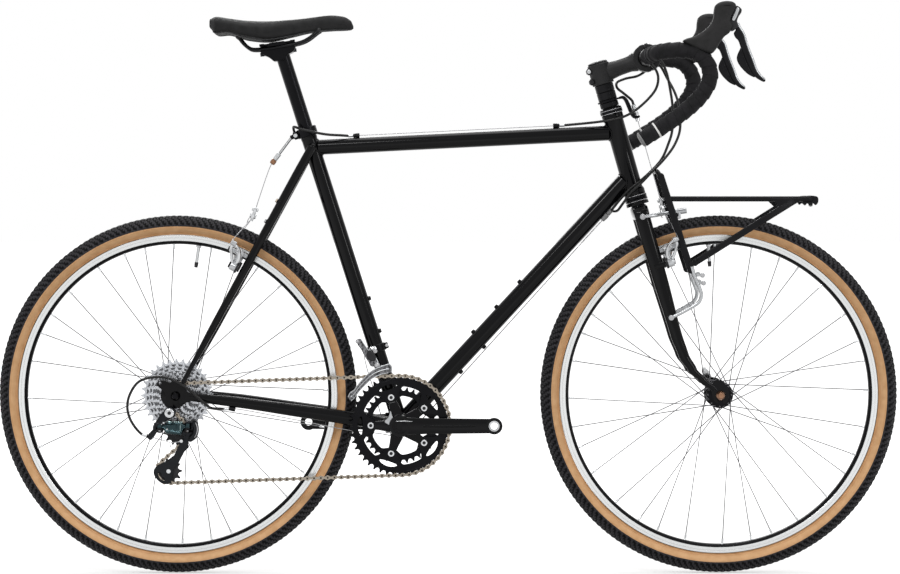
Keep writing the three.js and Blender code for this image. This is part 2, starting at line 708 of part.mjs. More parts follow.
function makeDownTube() {
  const tube = ring(bracketAxis, downTubeFront, DOWN_TUBE_RADIUS, DOWN_TUBE_RADIUS - DOWN_TUBE_WALL);
  const upper = bosses(bracketAxis, downTubeAlong, downTubeUp, DOWN_TUBE_BOSSES, DOWN_TUBE_RADIUS);
  const lower = bosses(bracketAxis, downTubeAlong, downTubeUp.clone().negate(), DOWN_TUBE_LOWER_BOSSES,
      DOWN_TUBE_RADIUS);
  const stops = [RIGHT, LEFT].map((side) => cableStop(downTubeStop(side), downTubeAlong));
  const bores = [RIGHT, LEFT].map((side) => {
    const reach = downTubeAlong.clone().multiplyScalar(CABLE_STOP_LENGTH);
    return rod(downTubeStop(side).sub(reach), downTubeStop(side).add(reach), WIRE_RADIUS + RUNNING_GAP,
        WIRE_ROUND);
  });
  return cut(join(tube, upper, lower, stops), bores, shellRod(CLEARANCE), headTubeRod(CLEARANCE),
      seatTubeRod(CLEARANCE));
}

function makeSeatTube() {
  const tube = rod(bracketAxis, seatTubeTop, SEAT_TUBE_RADIUS);
  const fittings = bosses(bracketAxis, seatUp, at(seatUp.z, 0, -seatUp.x), SEAT_TUBE_BOSSES,
      SEAT_TUBE_RADIUS);
  const postBore = rod(onSeatTube(BRACKET_SHELL_RADIUS / 2), onSeatTube(SEAT_TUBE_LENGTH + OVERRUN),
      SEATPOST_RADIUS + CLEARANCE);
  const half = BRACKET_SHELL_WIDTH / 2 + OVERRUN;
  const shellBore = rod(bracketAxis.clone().add(at(0, -half, 0)), bracketAxis.clone().add(at(0, half, 0)),
      BRACKET_SHELL_BORE);
  return cut(join(tube, shellRod(0), fittings), postBore, shellBore);
}

// Stays

function stayPath(from, to, shares, spread, side) {
  return shares.map((share, i) => at(mix(from.x, to.x, share), side * spread[i], mix(from.z, to.z, share)));
}

function dropoutPlate(side, low, high, outline) {
  const faces = [side * low, side * high].sort((a, b) => a - b);
  return slab(outline, faces[0], faces[1]);
}

function axleSlot(axle, low, high, direction) {
  const from = axle.clone().add(at(0, low, 0));
  const to = axle.clone().add(at(0, high, 0));
  const drop = DROPOUT_PLATE_RADIUS * 2;
  const mouth = block(SLOT_HALF_WIDTH * 2, high - low, drop,
      at(axle.x, mix(low, high, 0.5), axle.z + direction * drop / 2));
  return join(rod(from, to, SLOT_HALF_WIDTH), mouth);
}

function rearDropout(side) {
  const inner = REAR_SPACING / 2 + CLEARANCE;
  const outline = circle(rearAxle.x, rearAxle.z, DROPOUT_PLATE_RADIUS);
  const outer = inner + DROPOUT_THICKNESS;
  const faces = [side * inner, side * outer].sort((a, b) => a - b);
  const eyelet = fromAxle(rearAxle, EYELET, 0);
  const pieces = [
    dropoutPlate(side, inner, outer, outline),
    slab(circle(eyelet.x, eyelet.z, EYELET_RADIUS, SMALL_ROUND), faces[0], faces[1]),
    slab([[rearAxle.x, rearAxle.z + DROPOUT_PLATE_RADIUS], [rearAxle.x - DROPOUT_PLATE_RADIUS, rearAxle.z],
      [eyelet.x, eyelet.z - EYELET_RADIUS], [eyelet.x + EYELET_RADIUS, eyelet.z]], faces[0], faces[1]),
  ];
  if (side === RIGHT) {
    const hanger = fromAxle(rearAxle, HANGER_BOLT, 0);
    pieces.push(slab([[rearAxle.x - DROPOUT_PLATE_RADIUS, rearAxle.z], [hanger.x - HANGER_RADIUS, hanger.z],
      ...arc(hanger.x, hanger.z, HANGER_RADIUS, Math.PI, Math.PI * 2, SMALL_ROUND),
      [rearAxle.x + SLOT_HALF_WIDTH, rearAxle.z - DROPOUT_PLATE_RADIUS],
          [rearAxle.x + SLOT_HALF_WIDTH, rearAxle.z]],
    faces[0], faces[1]));
  }
  const eyeletBore = rod(eyelet.clone().add(at(0, -REAR_SPACING, 0)),
      eyelet.clone().add(at(0, REAR_SPACING, 0)), EYELET_BORE, SMALL_ROUND);
  return cut(join(pieces), eyeletBore);
}

function makeChainstays() {
  const stays = [RIGHT, LEFT].map((side) => {
    const path = stayPath(bracketAxis, rearAxle, CHAINSTAY_PATH_SHARES, CHAINSTAY_SPREAD, side)
      .map((point, i) => point.add(at(0, 0, CHAINSTAY_RISE[i])));
    const rings = path.map((centre, i) => ovalRing(centre, sideways, CHAINSTAY_WIDTH[i] / 2, at(0, 0, 1),
        CHAINSTAY_HEIGHT[i] / 2, SMALL_ROUND));
    return join(loft(rings), rearDropout(side));
  });
  const bridgeX = mix(bracketAxis.x, rearAxle.x, CHAINSTAY_BRIDGE_SHARE);
  const bridgeZ = mix(bracketAxis.z, rearAxle.z, CHAINSTAY_BRIDGE_SHARE);
  const bridge = rod(at(bridgeX, -CHAINSTAY_SPREAD[1], bridgeZ), at(bridgeX, CHAINSTAY_SPREAD[1], bridgeZ),
      CHAINSTAY_BRIDGE_RADIUS, SMALL_ROUND);
  const slots = [RIGHT, LEFT].map((side) => {
    const faces = [side * (REAR_SPACING / 2 - OVERRUN),
        side * (REAR_SPACING / 2 + OVERRUN * 3)].sort((a, b) => a - b);
    return rearSlot(faces);
  });
  const stopCentre = at(...CHAINSTAY_STOP_PLACE);
  const stop = cableStop(stopCentre, at(1, 0, 0));
  const reach = at(CABLE_STOP_LENGTH, 0, 0);
  const bore = rod(stopCentre.clone().sub(reach), stopCentre.clone().add(reach), WIRE_RADIUS + RUNNING_GAP,
      WIRE_ROUND);
  return cut(join(stays, bridge, stop), bore, shellRod(CLEARANCE), slots);
}

function rearSlot([low, high]) {
  const from = rearAxle.clone().add(at(0, low, 0));
  const to = rearAxle.clone().add(at(0, high, 0));
  const reach = DROPOUT_PLATE_RADIUS * 2;
  const mouth = block(SLOT_HALF_WIDTH * 2, high - low, reach,
      at(rearAxle.x + SLOT_HALF_WIDTH * 2, mix(low, high, 0.5), rearAxle.z - reach / 2), 0);
  return join(rod(from, to, SLOT_HALF_WIDTH), mouth.intersect(rod(from, to, SLOT_HALF_WIDTH * 2)));
}

const seatstayTop = onSeatTube(SEAT_TUBE_LENGTH - SEATSTAY_TOP_DROP);

function seatstayAt(share, side) {
  const table = SEATSTAY_PATH_SHARES;
  const i = Math.min(table.findIndex((value) => value > share), table.length - 1);
  const spread = mix(SEATSTAY_SPREAD[i - 1], SEATSTAY_SPREAD[i],
      (share - table[i - 1]) / (table[i] - table[i - 1]));
  return at(mix(seatstayTop.x, rearAxle.x, share), side * spread, mix(seatstayTop.z, rearAxle.z, share));
}

const seatstayAlong = rearAxle.clone().sub(seatstayTop).normalize();
const seatstayForward = at(-seatstayAlong.z, 0, seatstayAlong.x);
const rearBossPlace = fromAxle(rearAxle, REAR_BOSS, 0);

function rearBossAxis(side) {
  const share = rearBossPlace.clone().sub(seatstayTop)
      .dot(seatstayAlong) / rearAxle.distanceTo(seatstayTop);
  const foot = seatstayAt(share, side);
  return { foot, back: seatstayForward.clone()
      .multiplyScalar(Math.sign(rearBossPlace.clone().sub(foot).dot(seatstayForward))) };
}

function makeSeatstays() {
  const stays = [RIGHT, LEFT].map((side) => {
    const path = stayPath(seatstayTop, rearAxle, SEATSTAY_PATH_SHARES, SEATSTAY_SPREAD, side);
    const rings = path.map((centre, i) => ovalRing(centre, sideways, SEATSTAY_RADII[i], seatstayForward,
        SEATSTAY_RADII[i], SMALL_ROUND));
    const { foot, back } = rearBossAxis(side);
    const boss = rod(foot, foot.clone().addScaledVector(back, BOSS_LENGTH + SEATSTAY_RADII[2]),
        BOSS_PIN_RADIUS, SMALL_ROUND);
    return join(loft(rings), boss);
  });
  const bridge = rod(seatstayAt(SEATSTAY_BRIDGE_SHARE, RIGHT), seatstayAt(SEATSTAY_BRIDGE_SHARE, LEFT),
      SEATSTAY_BRIDGE_RADIUS, SMALL_ROUND);
  const topTube = rod(topTubeRear, topTubeFront, TOP_TUBE_RADIUS + CLEARANCE);
  const collar = rod(collarBase.clone().addScaledVector(seatUp, -CLEARANCE),
      onSeatTube(SEAT_TUBE_LENGTH + OVERRUN * 2), COLLAR_RADIUS + CLEARANCE);
  const dropouts = [RIGHT, LEFT].map((side) => {
    const faces = [side * (REAR_SPACING / 2),
        side * (REAR_SPACING / 2 + DROPOUT_THICKNESS + CLEARANCE * 2)].sort((a, b) => a - b);
    return slab(circle(rearAxle.x, rearAxle.z, DROPOUT_PLATE_RADIUS + CLEARANCE), faces[0], faces[1]);
  });
  return cut(join(stays, bridge), seatTubeRod(CLEARANCE), topTube, collar, dropouts);
}

// Bottom bracket and headset

function makeBottomBracket() {
  const half = BRACKET_SHELL_WIDTH / 2;
  const place = (y) => bracketAxis.clone().add(at(0, y, 0));
  const bore = SPINDLE_RADIUS + RUNNING_GAP;
  const sleeve = ring(place(-half - CUP_WIDTH), place(half + CUP_WIDTH), BRACKET_SHELL_BORE - CLEARANCE * 2,
      bore);
  const cups = [RIGHT, LEFT].map((side) => {
    const inner = side * (half + CLEARANCE);
    return ring(place(inner), place(side * (half + CUP_WIDTH)), CUP_RADIUS, bore);
  });
  return join(sleeve, cups);
}

function headsetRing(from, height, radius) {
  return ring(onSteering(0, 0, from), onSteering(0, 0, from + height), radius,
      STEERER_RADIUS + RUNNING_GAP);
}

// Seat collar, seatpost and saddle

const hangerEnd = onSeatTube(SEAT_TUBE_LENGTH - COLLAR_HEIGHT / 2, 0, COLLAR_RADIUS + HANGER_ARM_LENGTH);
const stirrupAlong = at(-Math.sin(STIRRUP_TILT), 0, -Math.cos(STIRRUP_TILT));
const rearYoke = fromAxle(rearAxle, REAR_YOKE, 0);
const stirrupEnd = hangerEnd.clone().addScaledVector(stirrupAlong, STIRRUP_LENGTH);

function makeSeatCollar() {
  const band = rod(collarBase, seatTubeTop, COLLAR_RADIUS);
  const ear = block(COLLAR_EAR * 2, COLLAR_EAR * 2, COLLAR_HEIGHT / 2,
      onSeatTube(SEAT_TUBE_LENGTH - COLLAR_HEIGHT / 2, 0, COLLAR_RADIUS - COLLAR_EAR / 2));
  const arm = block(HANGER_ARM_LENGTH + COLLAR_EAR, STIRRUP_HALF_WIDTH * 2 + OVERRUN, HANGER_ARM_THICKNESS,
    hangerEnd.clone().add(at(HANGER_ARM_LENGTH / 2, 0, 0)));
  const cableBore = rod(hangerEnd.clone().addScaledVector(stirrupAlong, -OVERRUN * 2),
      stirrupEnd.clone().addScaledVector(stirrupAlong, OVERRUN * 2), HOUSING_RADIUS + RUNNING_GAP,
      SMALL_ROUND);
  const wires = [RIGHT, LEFT].map((side) => {
    const offset = at(0, side * STIRRUP_HALF_WIDTH, 0);
    return rod(hangerEnd.clone().add(offset), stirrupEnd.clone().add(offset), STIRRUP_WIRE_RADIUS,
        WIRE_ROUND);
  });
  const stop = rod(stirrupEnd.clone().add(at(0, -STIRRUP_HALF_WIDTH - STIRRUP_WIRE_RADIUS, 0)),
    stirrupEnd.clone().add(at(0, STIRRUP_HALF_WIDTH + STIRRUP_WIRE_RADIUS, 0)), STIRRUP_BLOCK / 2,
        SMALL_ROUND);
  const wireBore = rod(hangerEnd, stirrupEnd.clone().addScaledVector(stirrupAlong, STIRRUP_BLOCK * 2),
      WIRE_RADIUS + RUNNING_GAP, WIRE_ROUND);
  const tubeBore = seatTubeRod(CLEARANCE);
  return join(cut(join(band, ear, arm), cableBore, tubeBore), wires, cut(stop, wireBore));
}

function saddlePoint([along, height], y) {
  return at(SADDLE_REAR + SADDLE_LENGTH * along, y, SADDLE_TOP_HEIGHT - SADDLE_DEPTH * (1 - height));
}

const railClampCentre = saddlePoint([0.47, -0.19], 0);

function makeSeatpost() {
  const headPlace = railClampCentre.clone().sub(bracketAxis).dot(seatUp);
  const post = rod(onSeatTube(SEAT_TUBE_LENGTH - SEATPOST_INSERTION),
      onSeatTube(headPlace - SEATPOST_TOP_DROP), SEATPOST_RADIUS);
  const half = SEATPOST_HEAD_LENGTH / 2;
  const head = rod(railClampCentre.clone().add(at(-half, 0, 0)),
      railClampCentre.clone().add(at(half, 0, 0)), SEATPOST_HEAD_RADIUS, SMALL_ROUND);
  const jaw = block(SEATPOST_HEAD_LENGTH, RAIL_HALF_SPACING * 2 + OVERRUN * 2, SEATPOST_HEAD_RADIUS,
      railClampCentre);
  return cut(join(post, head, jaw), railSweeps(RAIL_RADIUS + CLEARANCE));
}

function railSweeps(radius) {
  return [RIGHT, LEFT].map((side) => {
    const points = RAIL_ROUTE_SHARES.map((share) => saddlePoint(share, side * RAIL_HALF_SPACING));
    return loft(ringsAlong(points, radius, WIRE_ROUND));
  });
}

function makeSaddleRails() {
  const rails = railSweeps(RAIL_RADIUS);
  const ends = [RAIL_ROUTE_SHARES[0], RAIL_ROUTE_SHARES[RAIL_ROUTE_SHARES.length - 1]];
  const ties = ends.map((share) => rod(saddlePoint(share, -RAIL_HALF_SPACING),
      saddlePoint(share, RAIL_HALF_SPACING), RAIL_RADIUS, WIRE_ROUND));
  return join(rails, ties);
}

function makeSaddle() {
  const rings = SADDLE_PLACE_SHARES.map((place, i) => {
    const halfWidth = SADDLE_WIDTH * SADDLE_WIDTH_SHARES[i] / 2;
    const top = saddlePoint([place, SADDLE_TOP_SHARES[i]], 0);
    const bottom = saddlePoint([place, SADDLE_BOTTOM_SHARES[i]], 0);
    return Array.from({ length: SADDLE_RING_POINTS }, (unused, k) => {
      const angle = (k / SADDLE_RING_POINTS) * Math.PI * 2;
      const crown = Math.sin(angle);
      const height = crown >= 0
        ? mix(SADDLE_RIM_SHARE, 1, crown)
        : mix(SADDLE_RIM_SHARE, 0, Math.pow(-crown, SADDLE_SKIRT_POWER));
      const drawIn = crown >= 0 ? Math.cos(angle) : Math.cos(angle) * mix(1, SADDLE_SKIRT_SHARE, -crown);
      return at(top.x, halfWidth * drawIn, mix(bottom.z, top.z, height));
    });
  });
  const ties = [RAIL_ROUTE_SHARES[0], RAIL_ROUTE_SHARES[RAIL_ROUTE_SHARES.length - 1]].map((share) => (
    rod(saddlePoint(share, -RAIL_HALF_SPACING - OVERRUN), saddlePoint(share, RAIL_HALF_SPACING + OVERRUN),
        RAIL_RADIUS + CLEARANCE * 2, WIRE_ROUND)));
  return cut(loft(rings), railSweeps(RAIL_RADIUS + RUNNING_GAP), ties);
}

// Toothed wheels and cranks

function pitchRadius(teeth) {
  return CHAIN_PITCH / (2 * Math.sin(Math.PI / teeth));
}

function toothedOutline(teeth, x, z, phase = 0) {
  const radius = pitchRadius(teeth);
  const points = [];
  for (let i = 0; i < teeth; i += 1) {
    for (const [share, reach] of [[0, -TOOTH_ROOT], [0.5, TOOTH_TIP]]) {
      const angle = ((i + share + phase) / teeth) * Math.PI * 2;
      points.push([x + (radius + reach) * Math.cos(angle), z + (radius + reach) * Math.sin(angle)]);
    }
  }
  return points;
}

function boltAngle(i) {
  return Math.PI + (i / RING_BOLT_COUNT) * Math.PI * 2;
}

function boltHoles(radius) {
  return Array.from({ length: RING_BOLT_COUNT }, (unused, i) => {
    const angle = boltAngle(i);
    return circle(bracketAxis.x + BOLT_CIRCLE_RADIUS * Math.cos(angle),
        bracketAxis.z + BOLT_CIRCLE_RADIUS * Math.sin(angle), radius, SMALL_ROUND);
  });
}

function chainring(teeth, plane, inner, windows) {
  const holes = boltHoles(RING_BOLT_RADIUS + CLEARANCE);
  const half = RING_THICKNESS / 2;
  holes.push(circle(bracketAxis.x, bracketAxis.z, inner, ROUND));
  if (windows) {
    const low = mix(BOLT_CIRCLE_RADIUS + RING_BOLT_HEAD, pitchRadius(teeth), 0.08);
    const high = mix(low, pitchRadius(teeth) - TOOTH_ROOT, RING_WINDOW_SHARE);
    for (let i = 0; i < RING_BOLT_COUNT; i += 1) {
      const middle = boltAngle(i + 0.5);
      const spread = Math.PI / RING_BOLT_COUNT * RING_WINDOW_SHARE;
      holes.push([
        ...arc(bracketAxis.x, bracketAxis.z, high, middle - spread, middle + spread, WIRE_ROUND),
        ...arc(bracketAxis.x, bracketAxis.z, low, middle + spread / 2, middle - spread / 2, WIRE_ROUND / 2),
      ]);
    }
  }
  return slab(toothedOutline(teeth, bracketAxis.x, bracketAxis.z), -plane - half, -plane + half, holes);
}

function crankArm(side, reach) {
  const inner = side * CRANK_INNER_FACE;
  const eye = side * (CRANK_TREAD + CRANK_WIDTH / 2);
  const stations = [[0, CRANK_WAIST * CRANK_ROOT_HEIGHT_SHARE, inner, eye],
    [CRANK_NECK_SHARE, CRANK_WAIST * CRANK_NECK_HEIGHT_SHARE,
        mix(inner, side * CRANK_TREAD, CRANK_NECK_INSET_SHARE), eye],
    [CRANK_ARM_SHARE, CRANK_WAIST, side * CRANK_TREAD, eye],
    [1, CRANK_EYE_RADIUS * CRANK_TIP_HEIGHT_SHARE, side * CRANK_TREAD, eye]];
  const rings = stations.map(([share, halfHeight, low, high]) => boxRing(
    at(bracketAxis.x + reach * share, mix(low, high, 0.5), bracketAxis.z), sideways,
        Math.abs(high - low) / 2, at(0, 0, 1), halfHeight));
  const eyeX = bracketAxis.x + reach;
  const faces = [side * CRANK_TREAD, eye].sort((a, b) => a - b);
  const end = slab(circle(eyeX, bracketAxis.z, CRANK_EYE_RADIUS), faces[0], faces[1]);
  const bore = rod(at(eyeX, faces[0] - OVERRUN, bracketAxis.z), at(eyeX, faces[1] + OVERRUN, bracketAxis.z),
      PEDAL_BORE, SMALL_ROUND);
  return cut(join(loft(rings), end), bore);
}

function makeRightCrank() {
  const place = (y) => bracketAxis.clone().add(at(0, y, 0));
  const outerRingOuter = RING_PLANE + RING_THICKNESS / 2;
  const innerRingInner = RING_PLANE - RING_GAP - RING_THICKNESS / 2;
  const armLow = -RING_PLANE + RING_THICKNESS / 2 + CLEARANCE;
  const armHigh = -RING_PLANE + RING_GAP - RING_THICKNESS / 2 - CLEARANCE;
  const spindle = rod(place(-CRANK_INNER_FACE - OVERRUN), place(CRANK_TREAD + CRANK_WIDTH / 2),
      SPINDLE_RADIUS);
  const hubInner = -(BRACKET_SHELL_WIDTH / 2 + CUP_WIDTH + CLEARANCE);
  const hub = rod(place(-CRANK_TREAD - CRANK_WIDTH / 2), place(hubInner), CRANK_HUB_RADIUS);
  const spider = Array.from({ length: RING_BOLT_COUNT }, (unused, i) => {
    const angle = boltAngle(i);
    const tip = [bracketAxis.x + BOLT_CIRCLE_RADIUS * Math.cos(angle),
        bracketAxis.z + BOLT_CIRCLE_RADIUS * Math.sin(angle)];
    const across = [-Math.sin(angle) * SPIDER_ARM_HALF_WIDTH, Math.cos(angle) * SPIDER_ARM_HALF_WIDTH];
    const arm = slab([[bracketAxis.x - across[0], bracketAxis.z - across[1]],
        [tip[0] - across[0], tip[1] - across[1]],
      [tip[0] + across[0], tip[1] + across[1]], [bracketAxis.x + across[0], bracketAxis.z + across[1]]],
          armLow, armHigh);
    const boltAt = (y) => at(tip[0], y, tip[1]);
    const shank = rod(boltAt(-outerRingOuter - CLEARANCE), boltAt(-innerRingInner + CLEARANCE),
        RING_BOLT_RADIUS, SMALL_ROUND);
    const head = rod(boltAt(-outerRingOuter - CLEARANCE - RING_BOLT_HEAD_DEPTH),
        boltAt(-outerRingOuter - CLEARANCE), RING_BOLT_HEAD, SMALL_ROUND);
    const nut = rod(boltAt(-innerRingInner + CLEARANCE),
        boltAt(-innerRingInner + CLEARANCE + RING_BOLT_HEAD_DEPTH), RING_BOLT_HEAD, SMALL_ROUND);
    return join(arm, shank, head, nut);
  });
  return join(spindle, hub, spider, crankArm(RIGHT, CRANK_LENGTH));
}

function makeLeftCrank() {
  const place = (y) => bracketAxis.clone().add(at(0, y, 0));
  const hub = rod(place(BRACKET_SHELL_WIDTH / 2 + CUP_WIDTH + CLEARANCE),
      place(CRANK_TREAD + CRANK_WIDTH / 2), CRANK_HUB_RADIUS);
  const bore = rod(place(0), place(CRANK_TREAD + CRANK_WIDTH), SPINDLE_RADIUS + CLEARANCE);
  return cut(join(hub, crankArm(LEFT, -CRANK_LENGTH)), bore);
}

function makeCassette() {
  const x = rearAxle.x;
  const z = rearAxle.z;
  const discs = SPROCKETS.map((teeth, i) => {
    const plane = -SMALL_SPROCKET_PLANE + i * SPROCKET_STEP;
    const half = SPROCKET_THICKNESS / 2;
    const plain = i > 0 && teeth < SPROCKETS[SPROCKETS.length - 2];
    const outline = plain ? circle(x, z, pitchRadius(teeth) + TOOTH_TIP / 2, ROUND) : toothedOutline(teeth,
        x, z);
    return slab(outline, plane - half, plane + half);
  });
  const low = -SMALL_SPROCKET_PLANE - SPROCKET_THICKNESS;
  const high = -SMALL_SPROCKET_PLANE + SPROCKETS.length * SPROCKET_STEP;
  const core = rod(at(x, low, z), at(x, high, z), CASSETTE_CORE_RADIUS);
  const bore = rod(at(x, low - OVERRUN, z), at(x, high + OVERRUN, z), HUB_BORE);
  return cut(join(core, discs), bore);
}

// Wheels, built round their own axle

function makeTyre() {
  const bead = RIM_RADIUS + RUNNING_GAP;
  const height = TYRE_RADIUS - bead;
  const half = TYRE_PROFILE_SHARES.map(([rise, width]) => [bead + height * rise, TYRE_WIDTH / 2 * width]);
  const profile = [[bead, TYRE_BEAD_WIDTH / 2], ...half];
  const mirrored = profile.slice().reverse().map(([radius, y]) => [radius, -y]);
  return turned([...profile, ...mirrored, profile[0]], at(0, 0, 0), sideways, WHEEL_SEGMENTS);
}

function makeRim() {
  const half = RIM_WIDTH / 2;
  const profile = [[RIM_RADIUS, half], [RIM_RADIUS, -half], [RIM_RADIUS - RIM_TRACK, -half],
    [RIM_INNER_RADIUS, -RIM_INNER_WIDTH / 2], [RIM_INNER_RADIUS, RIM_INNER_WIDTH / 2],
    [RIM_RADIUS - RIM_TRACK, half], [RIM_RADIUS, half]];
  return turned(profile, at(0, 0, 0), sideways, WHEEL_SEGMENTS);
}

function spoke(angle, flangeY, direction) {
  const face = flangeY + direction * FLANGE_THICKNESS / 2;
  const start = at(SPOKE_CIRCLE_RADIUS * Math.cos(angle), face, SPOKE_CIRCLE_RADIUS * Math.sin(angle));
  const end = angle + direction * SPOKE_CROSSING;
  const reach = (RIM_INNER_RADIUS - RUNNING_GAP) * Math.cos(Math.PI / WHEEL_SEGMENTS);
  return rod(start, at(reach * Math.cos(end), 0, reach * Math.sin(end)), SPOKE_RADIUS, SPOKE_SIDES);
}

function makeHub(flanges, shellRadius, ends) {
  const profile = [[HUB_BORE, ends[0]], [shellRadius, ends[0]],
      [shellRadius, flanges[0] - FLANGE_THICKNESS / 2],
    [FLANGE_RADIUS, flanges[0] - FLANGE_THICKNESS / 2], [FLANGE_RADIUS, flanges[0] + FLANGE_THICKNESS / 2],
    [shellRadius, flanges[0] + FLANGE_THICKNESS / 2], [shellRadius, flanges[1] - FLANGE_THICKNESS / 2],
    [FLANGE_RADIUS, flanges[1] - FLANGE_THICKNESS / 2], [FLANGE_RADIUS, flanges[1] + FLANGE_THICKNESS / 2],
    [shellRadius, flanges[1] + FLANGE_THICKNESS / 2], [shellRadius, ends[1]], [HUB_BORE, ends[1]],
        [HUB_BORE, ends[0]]];
  const spokes = flanges.flatMap((flangeY, sideIndex) => Array.from({ length: SPOKES_PER_SIDE },
      (unused, i) => {
    const angle = ((i + sideIndex / 2) / SPOKES_PER_SIDE) * Math.PI * 2;
    return spoke(angle, flangeY, i % 2 === 0 ? 1 : -1);
  }));
  return join(turned(profile, at(0, 0, 0), sideways), spokes);
}

function makeAxle(spacing, sides) {
  const half = spacing / 2;
  const outer = half + CLEARANCE * 2 + DROPOUT_THICKNESS + CLEARANCE;
  const shaft = rod(at(0, -outer - SKEWER_NUT_LENGTH / 2, 0), at(0, outer + SKEWER_NUT_LENGTH / 2, 0),
      AXLE_RADIUS, SMALL_ROUND);
  const locknuts = [RIGHT, LEFT].map((side) => rod(at(0, side * (half - sides), 0), at(0, side * half, 0),
      LOCKNUT_RADIUS, SMALL_ROUND));
  const nut = rod(at(0, -outer - SKEWER_NUT_LENGTH, 0), at(0, -outer, 0), SKEWER_NUT_RADIUS, SMALL_ROUND);
  const cap = rod(at(0, outer, 0), at(0, outer + SKEWER_NUT_LENGTH, 0), SKEWER_NUT_RADIUS, SMALL_ROUND);
  return join(shaft, locknuts, nut, cap);
}

function makeQuickRelease(spacing, direction) {
  const seat = spacing / 2 + CLEARANCE * 4 + DROPOUT_THICKNESS + SKEWER_NUT_LENGTH + LEVER_PIN_RADIUS;
  const across = at(-direction.z, 0, direction.x);
  const half = across.clone().multiplyScalar(LEVER_PIN_LENGTH / 2);
  const pivot = at(0, seat, 0);
  const pin = rod(pivot.clone().sub(half), pivot.clone().add(half), LEVER_PIN_RADIUS, SMALL_ROUND);
  const stations = [[0, 0, LEVER_PIN_RADIUS],
    [LEVER_NECK_SHARE, 0, LEVER_PIN_RADIUS],
    [LEVER_SPOON_SHARE, -LEVER_THICKNESS, LEVER_PIN_RADIUS * LEVER_SPOON_WIDTH_SHARE],
    [1, -LEVER_THICKNESS, LEVER_PIN_RADIUS * LEVER_TIP_WIDTH_SHARE]];
  const rings = stations.map(([share, inward, halfWidth]) => boxRing(
    pivot.clone().addScaledVector(direction, LEVER_LENGTH * share).add(at(0, inward, 0)), across, halfWidth,
        sideways, LEVER_THICKNESS / 2));
  return join(pin, loft(rings));
}

// Chain

function wheelCentre(place) {
  return [rearAxle.x + place[0], rearAxle.z + place[1]];
}

function chainRoute() {
  const cog = pitchRadius(SMALL_SPROCKET_TEETH);
  const wheels = [
    { centre: [bracketAxis.x, bracketAxis.z], radius: pitchRadius(OUTER_RING_TEETH), turn: 1,
        steps: CHAIN_RING_STEPS },
    { centre: wheelCentre(TENSION_PULLEY), radius: cog, turn: 1, steps: CHAIN_COG_STEPS },
    { centre: wheelCentre(GUIDE_PULLEY), radius: cog, turn: -1, steps: CHAIN_COG_STEPS },
    { centre: [rearAxle.x, rearAxle.z], radius: cog, turn: 1, steps: CHAIN_COG_STEPS },
  ];
  return wheels.map((wheel, i) => {
    const before = wheels[(i + wheels.length - 1) % wheels.length];
    const after = wheels[(i + 1) % wheels.length];
    const arrive = tangent(before, wheel)[1];
    const leave = tangent(wheel, after)[0];
    let start = Math.atan2(arrive[1] - wheel.centre[1], arrive[0] - wheel.centre[0]);
    let end = Math.atan2(leave[1] - wheel.centre[1], leave[0] - wheel.centre[0]);
    const spin = -wheel.turn;
    while ((end - start) * spin < 0) {
      end += spin * Math.PI * 2;
    }
    return { ...wheel, start, end, arrive, leave };
  });
}

function tangent(from, to) {
  const dx = to.centre[0] - from.centre[0];
  const dz = to.centre[1] - from.centre[1];
  const distance = Math.hypot(dx, dz);
  const base = Math.atan2(dz, dx);
  const offset = Math.asin((to.turn * to.radius - from.turn * from.radius) / distance);
  const heading = base + offset;
  const normal = heading + Math.PI / 2;
  const touch = (wheel) => [wheel.centre[0] + wheel.turn * wheel.radius * Math.cos(normal),
    wheel.centre[1] + wheel.turn * wheel.radius * Math.sin(normal)];
  return [touch(from), touch(to)];
}

function chainPlane(x) {
  const engaged = CHAIN_PITCH * CHAIN_ENGAGED_LINKS;
  const front = bracketAxis.x - engaged;
  const rear = rearAxle.x + CHAIN_PITCH * CHAIN_REAR_LINKS;
  const share = THREE.MathUtils.clamp((front - x) / (front - rear), 0, 1);
  return -mix(RING_PLANE, SMALL_SPROCKET_PLANE, share);
}

function chainPoints() {
  const points = [];
  const wheels = chainRoute();
  wheels.forEach((wheel, i) => {
    arc(wheel.centre[0], wheel.centre[1], wheel.radius, wheel.start, wheel.end, wheel.steps)
        .forEach(([x, z], k) => {
      const angle = mix(wheel.start, wheel.end, k / wheel.steps);
      points.push({ x, z, out: [wheel.turn * Math.cos(angle), wheel.turn * Math.sin(angle)],
          turn: wheel.turn });
    });
    const next = wheels[(i + 1) % wheels.length];
    const from = points[points.length - 1];
    const length = Math.hypot(next.arrive[0] - from.x, next.arrive[1] - from.z);
    const reach = (radius) => (
      Math.sqrt((radius + TOOTH_TIP) ** 2 - (radius - LINK_HALF_HEIGHT) ** 2) + RUNNING_GAP * 2);
    const stations = [[reach(wheel.radius), wheel.turn], [reach(wheel.radius) + RUNNING_GAP, 0],
      [length - reach(next.radius) - RUNNING_GAP, 0], [length - reach(next.radius), next.turn]];
    stations.forEach(([along, turn]) => {
      const share = along / length;
      points.push({ x: mix(from.x, next.arrive[0], share), z: mix(from.z, next.arrive[1], share),
          out: from.out, turn });
    });
  });
  return points;
}

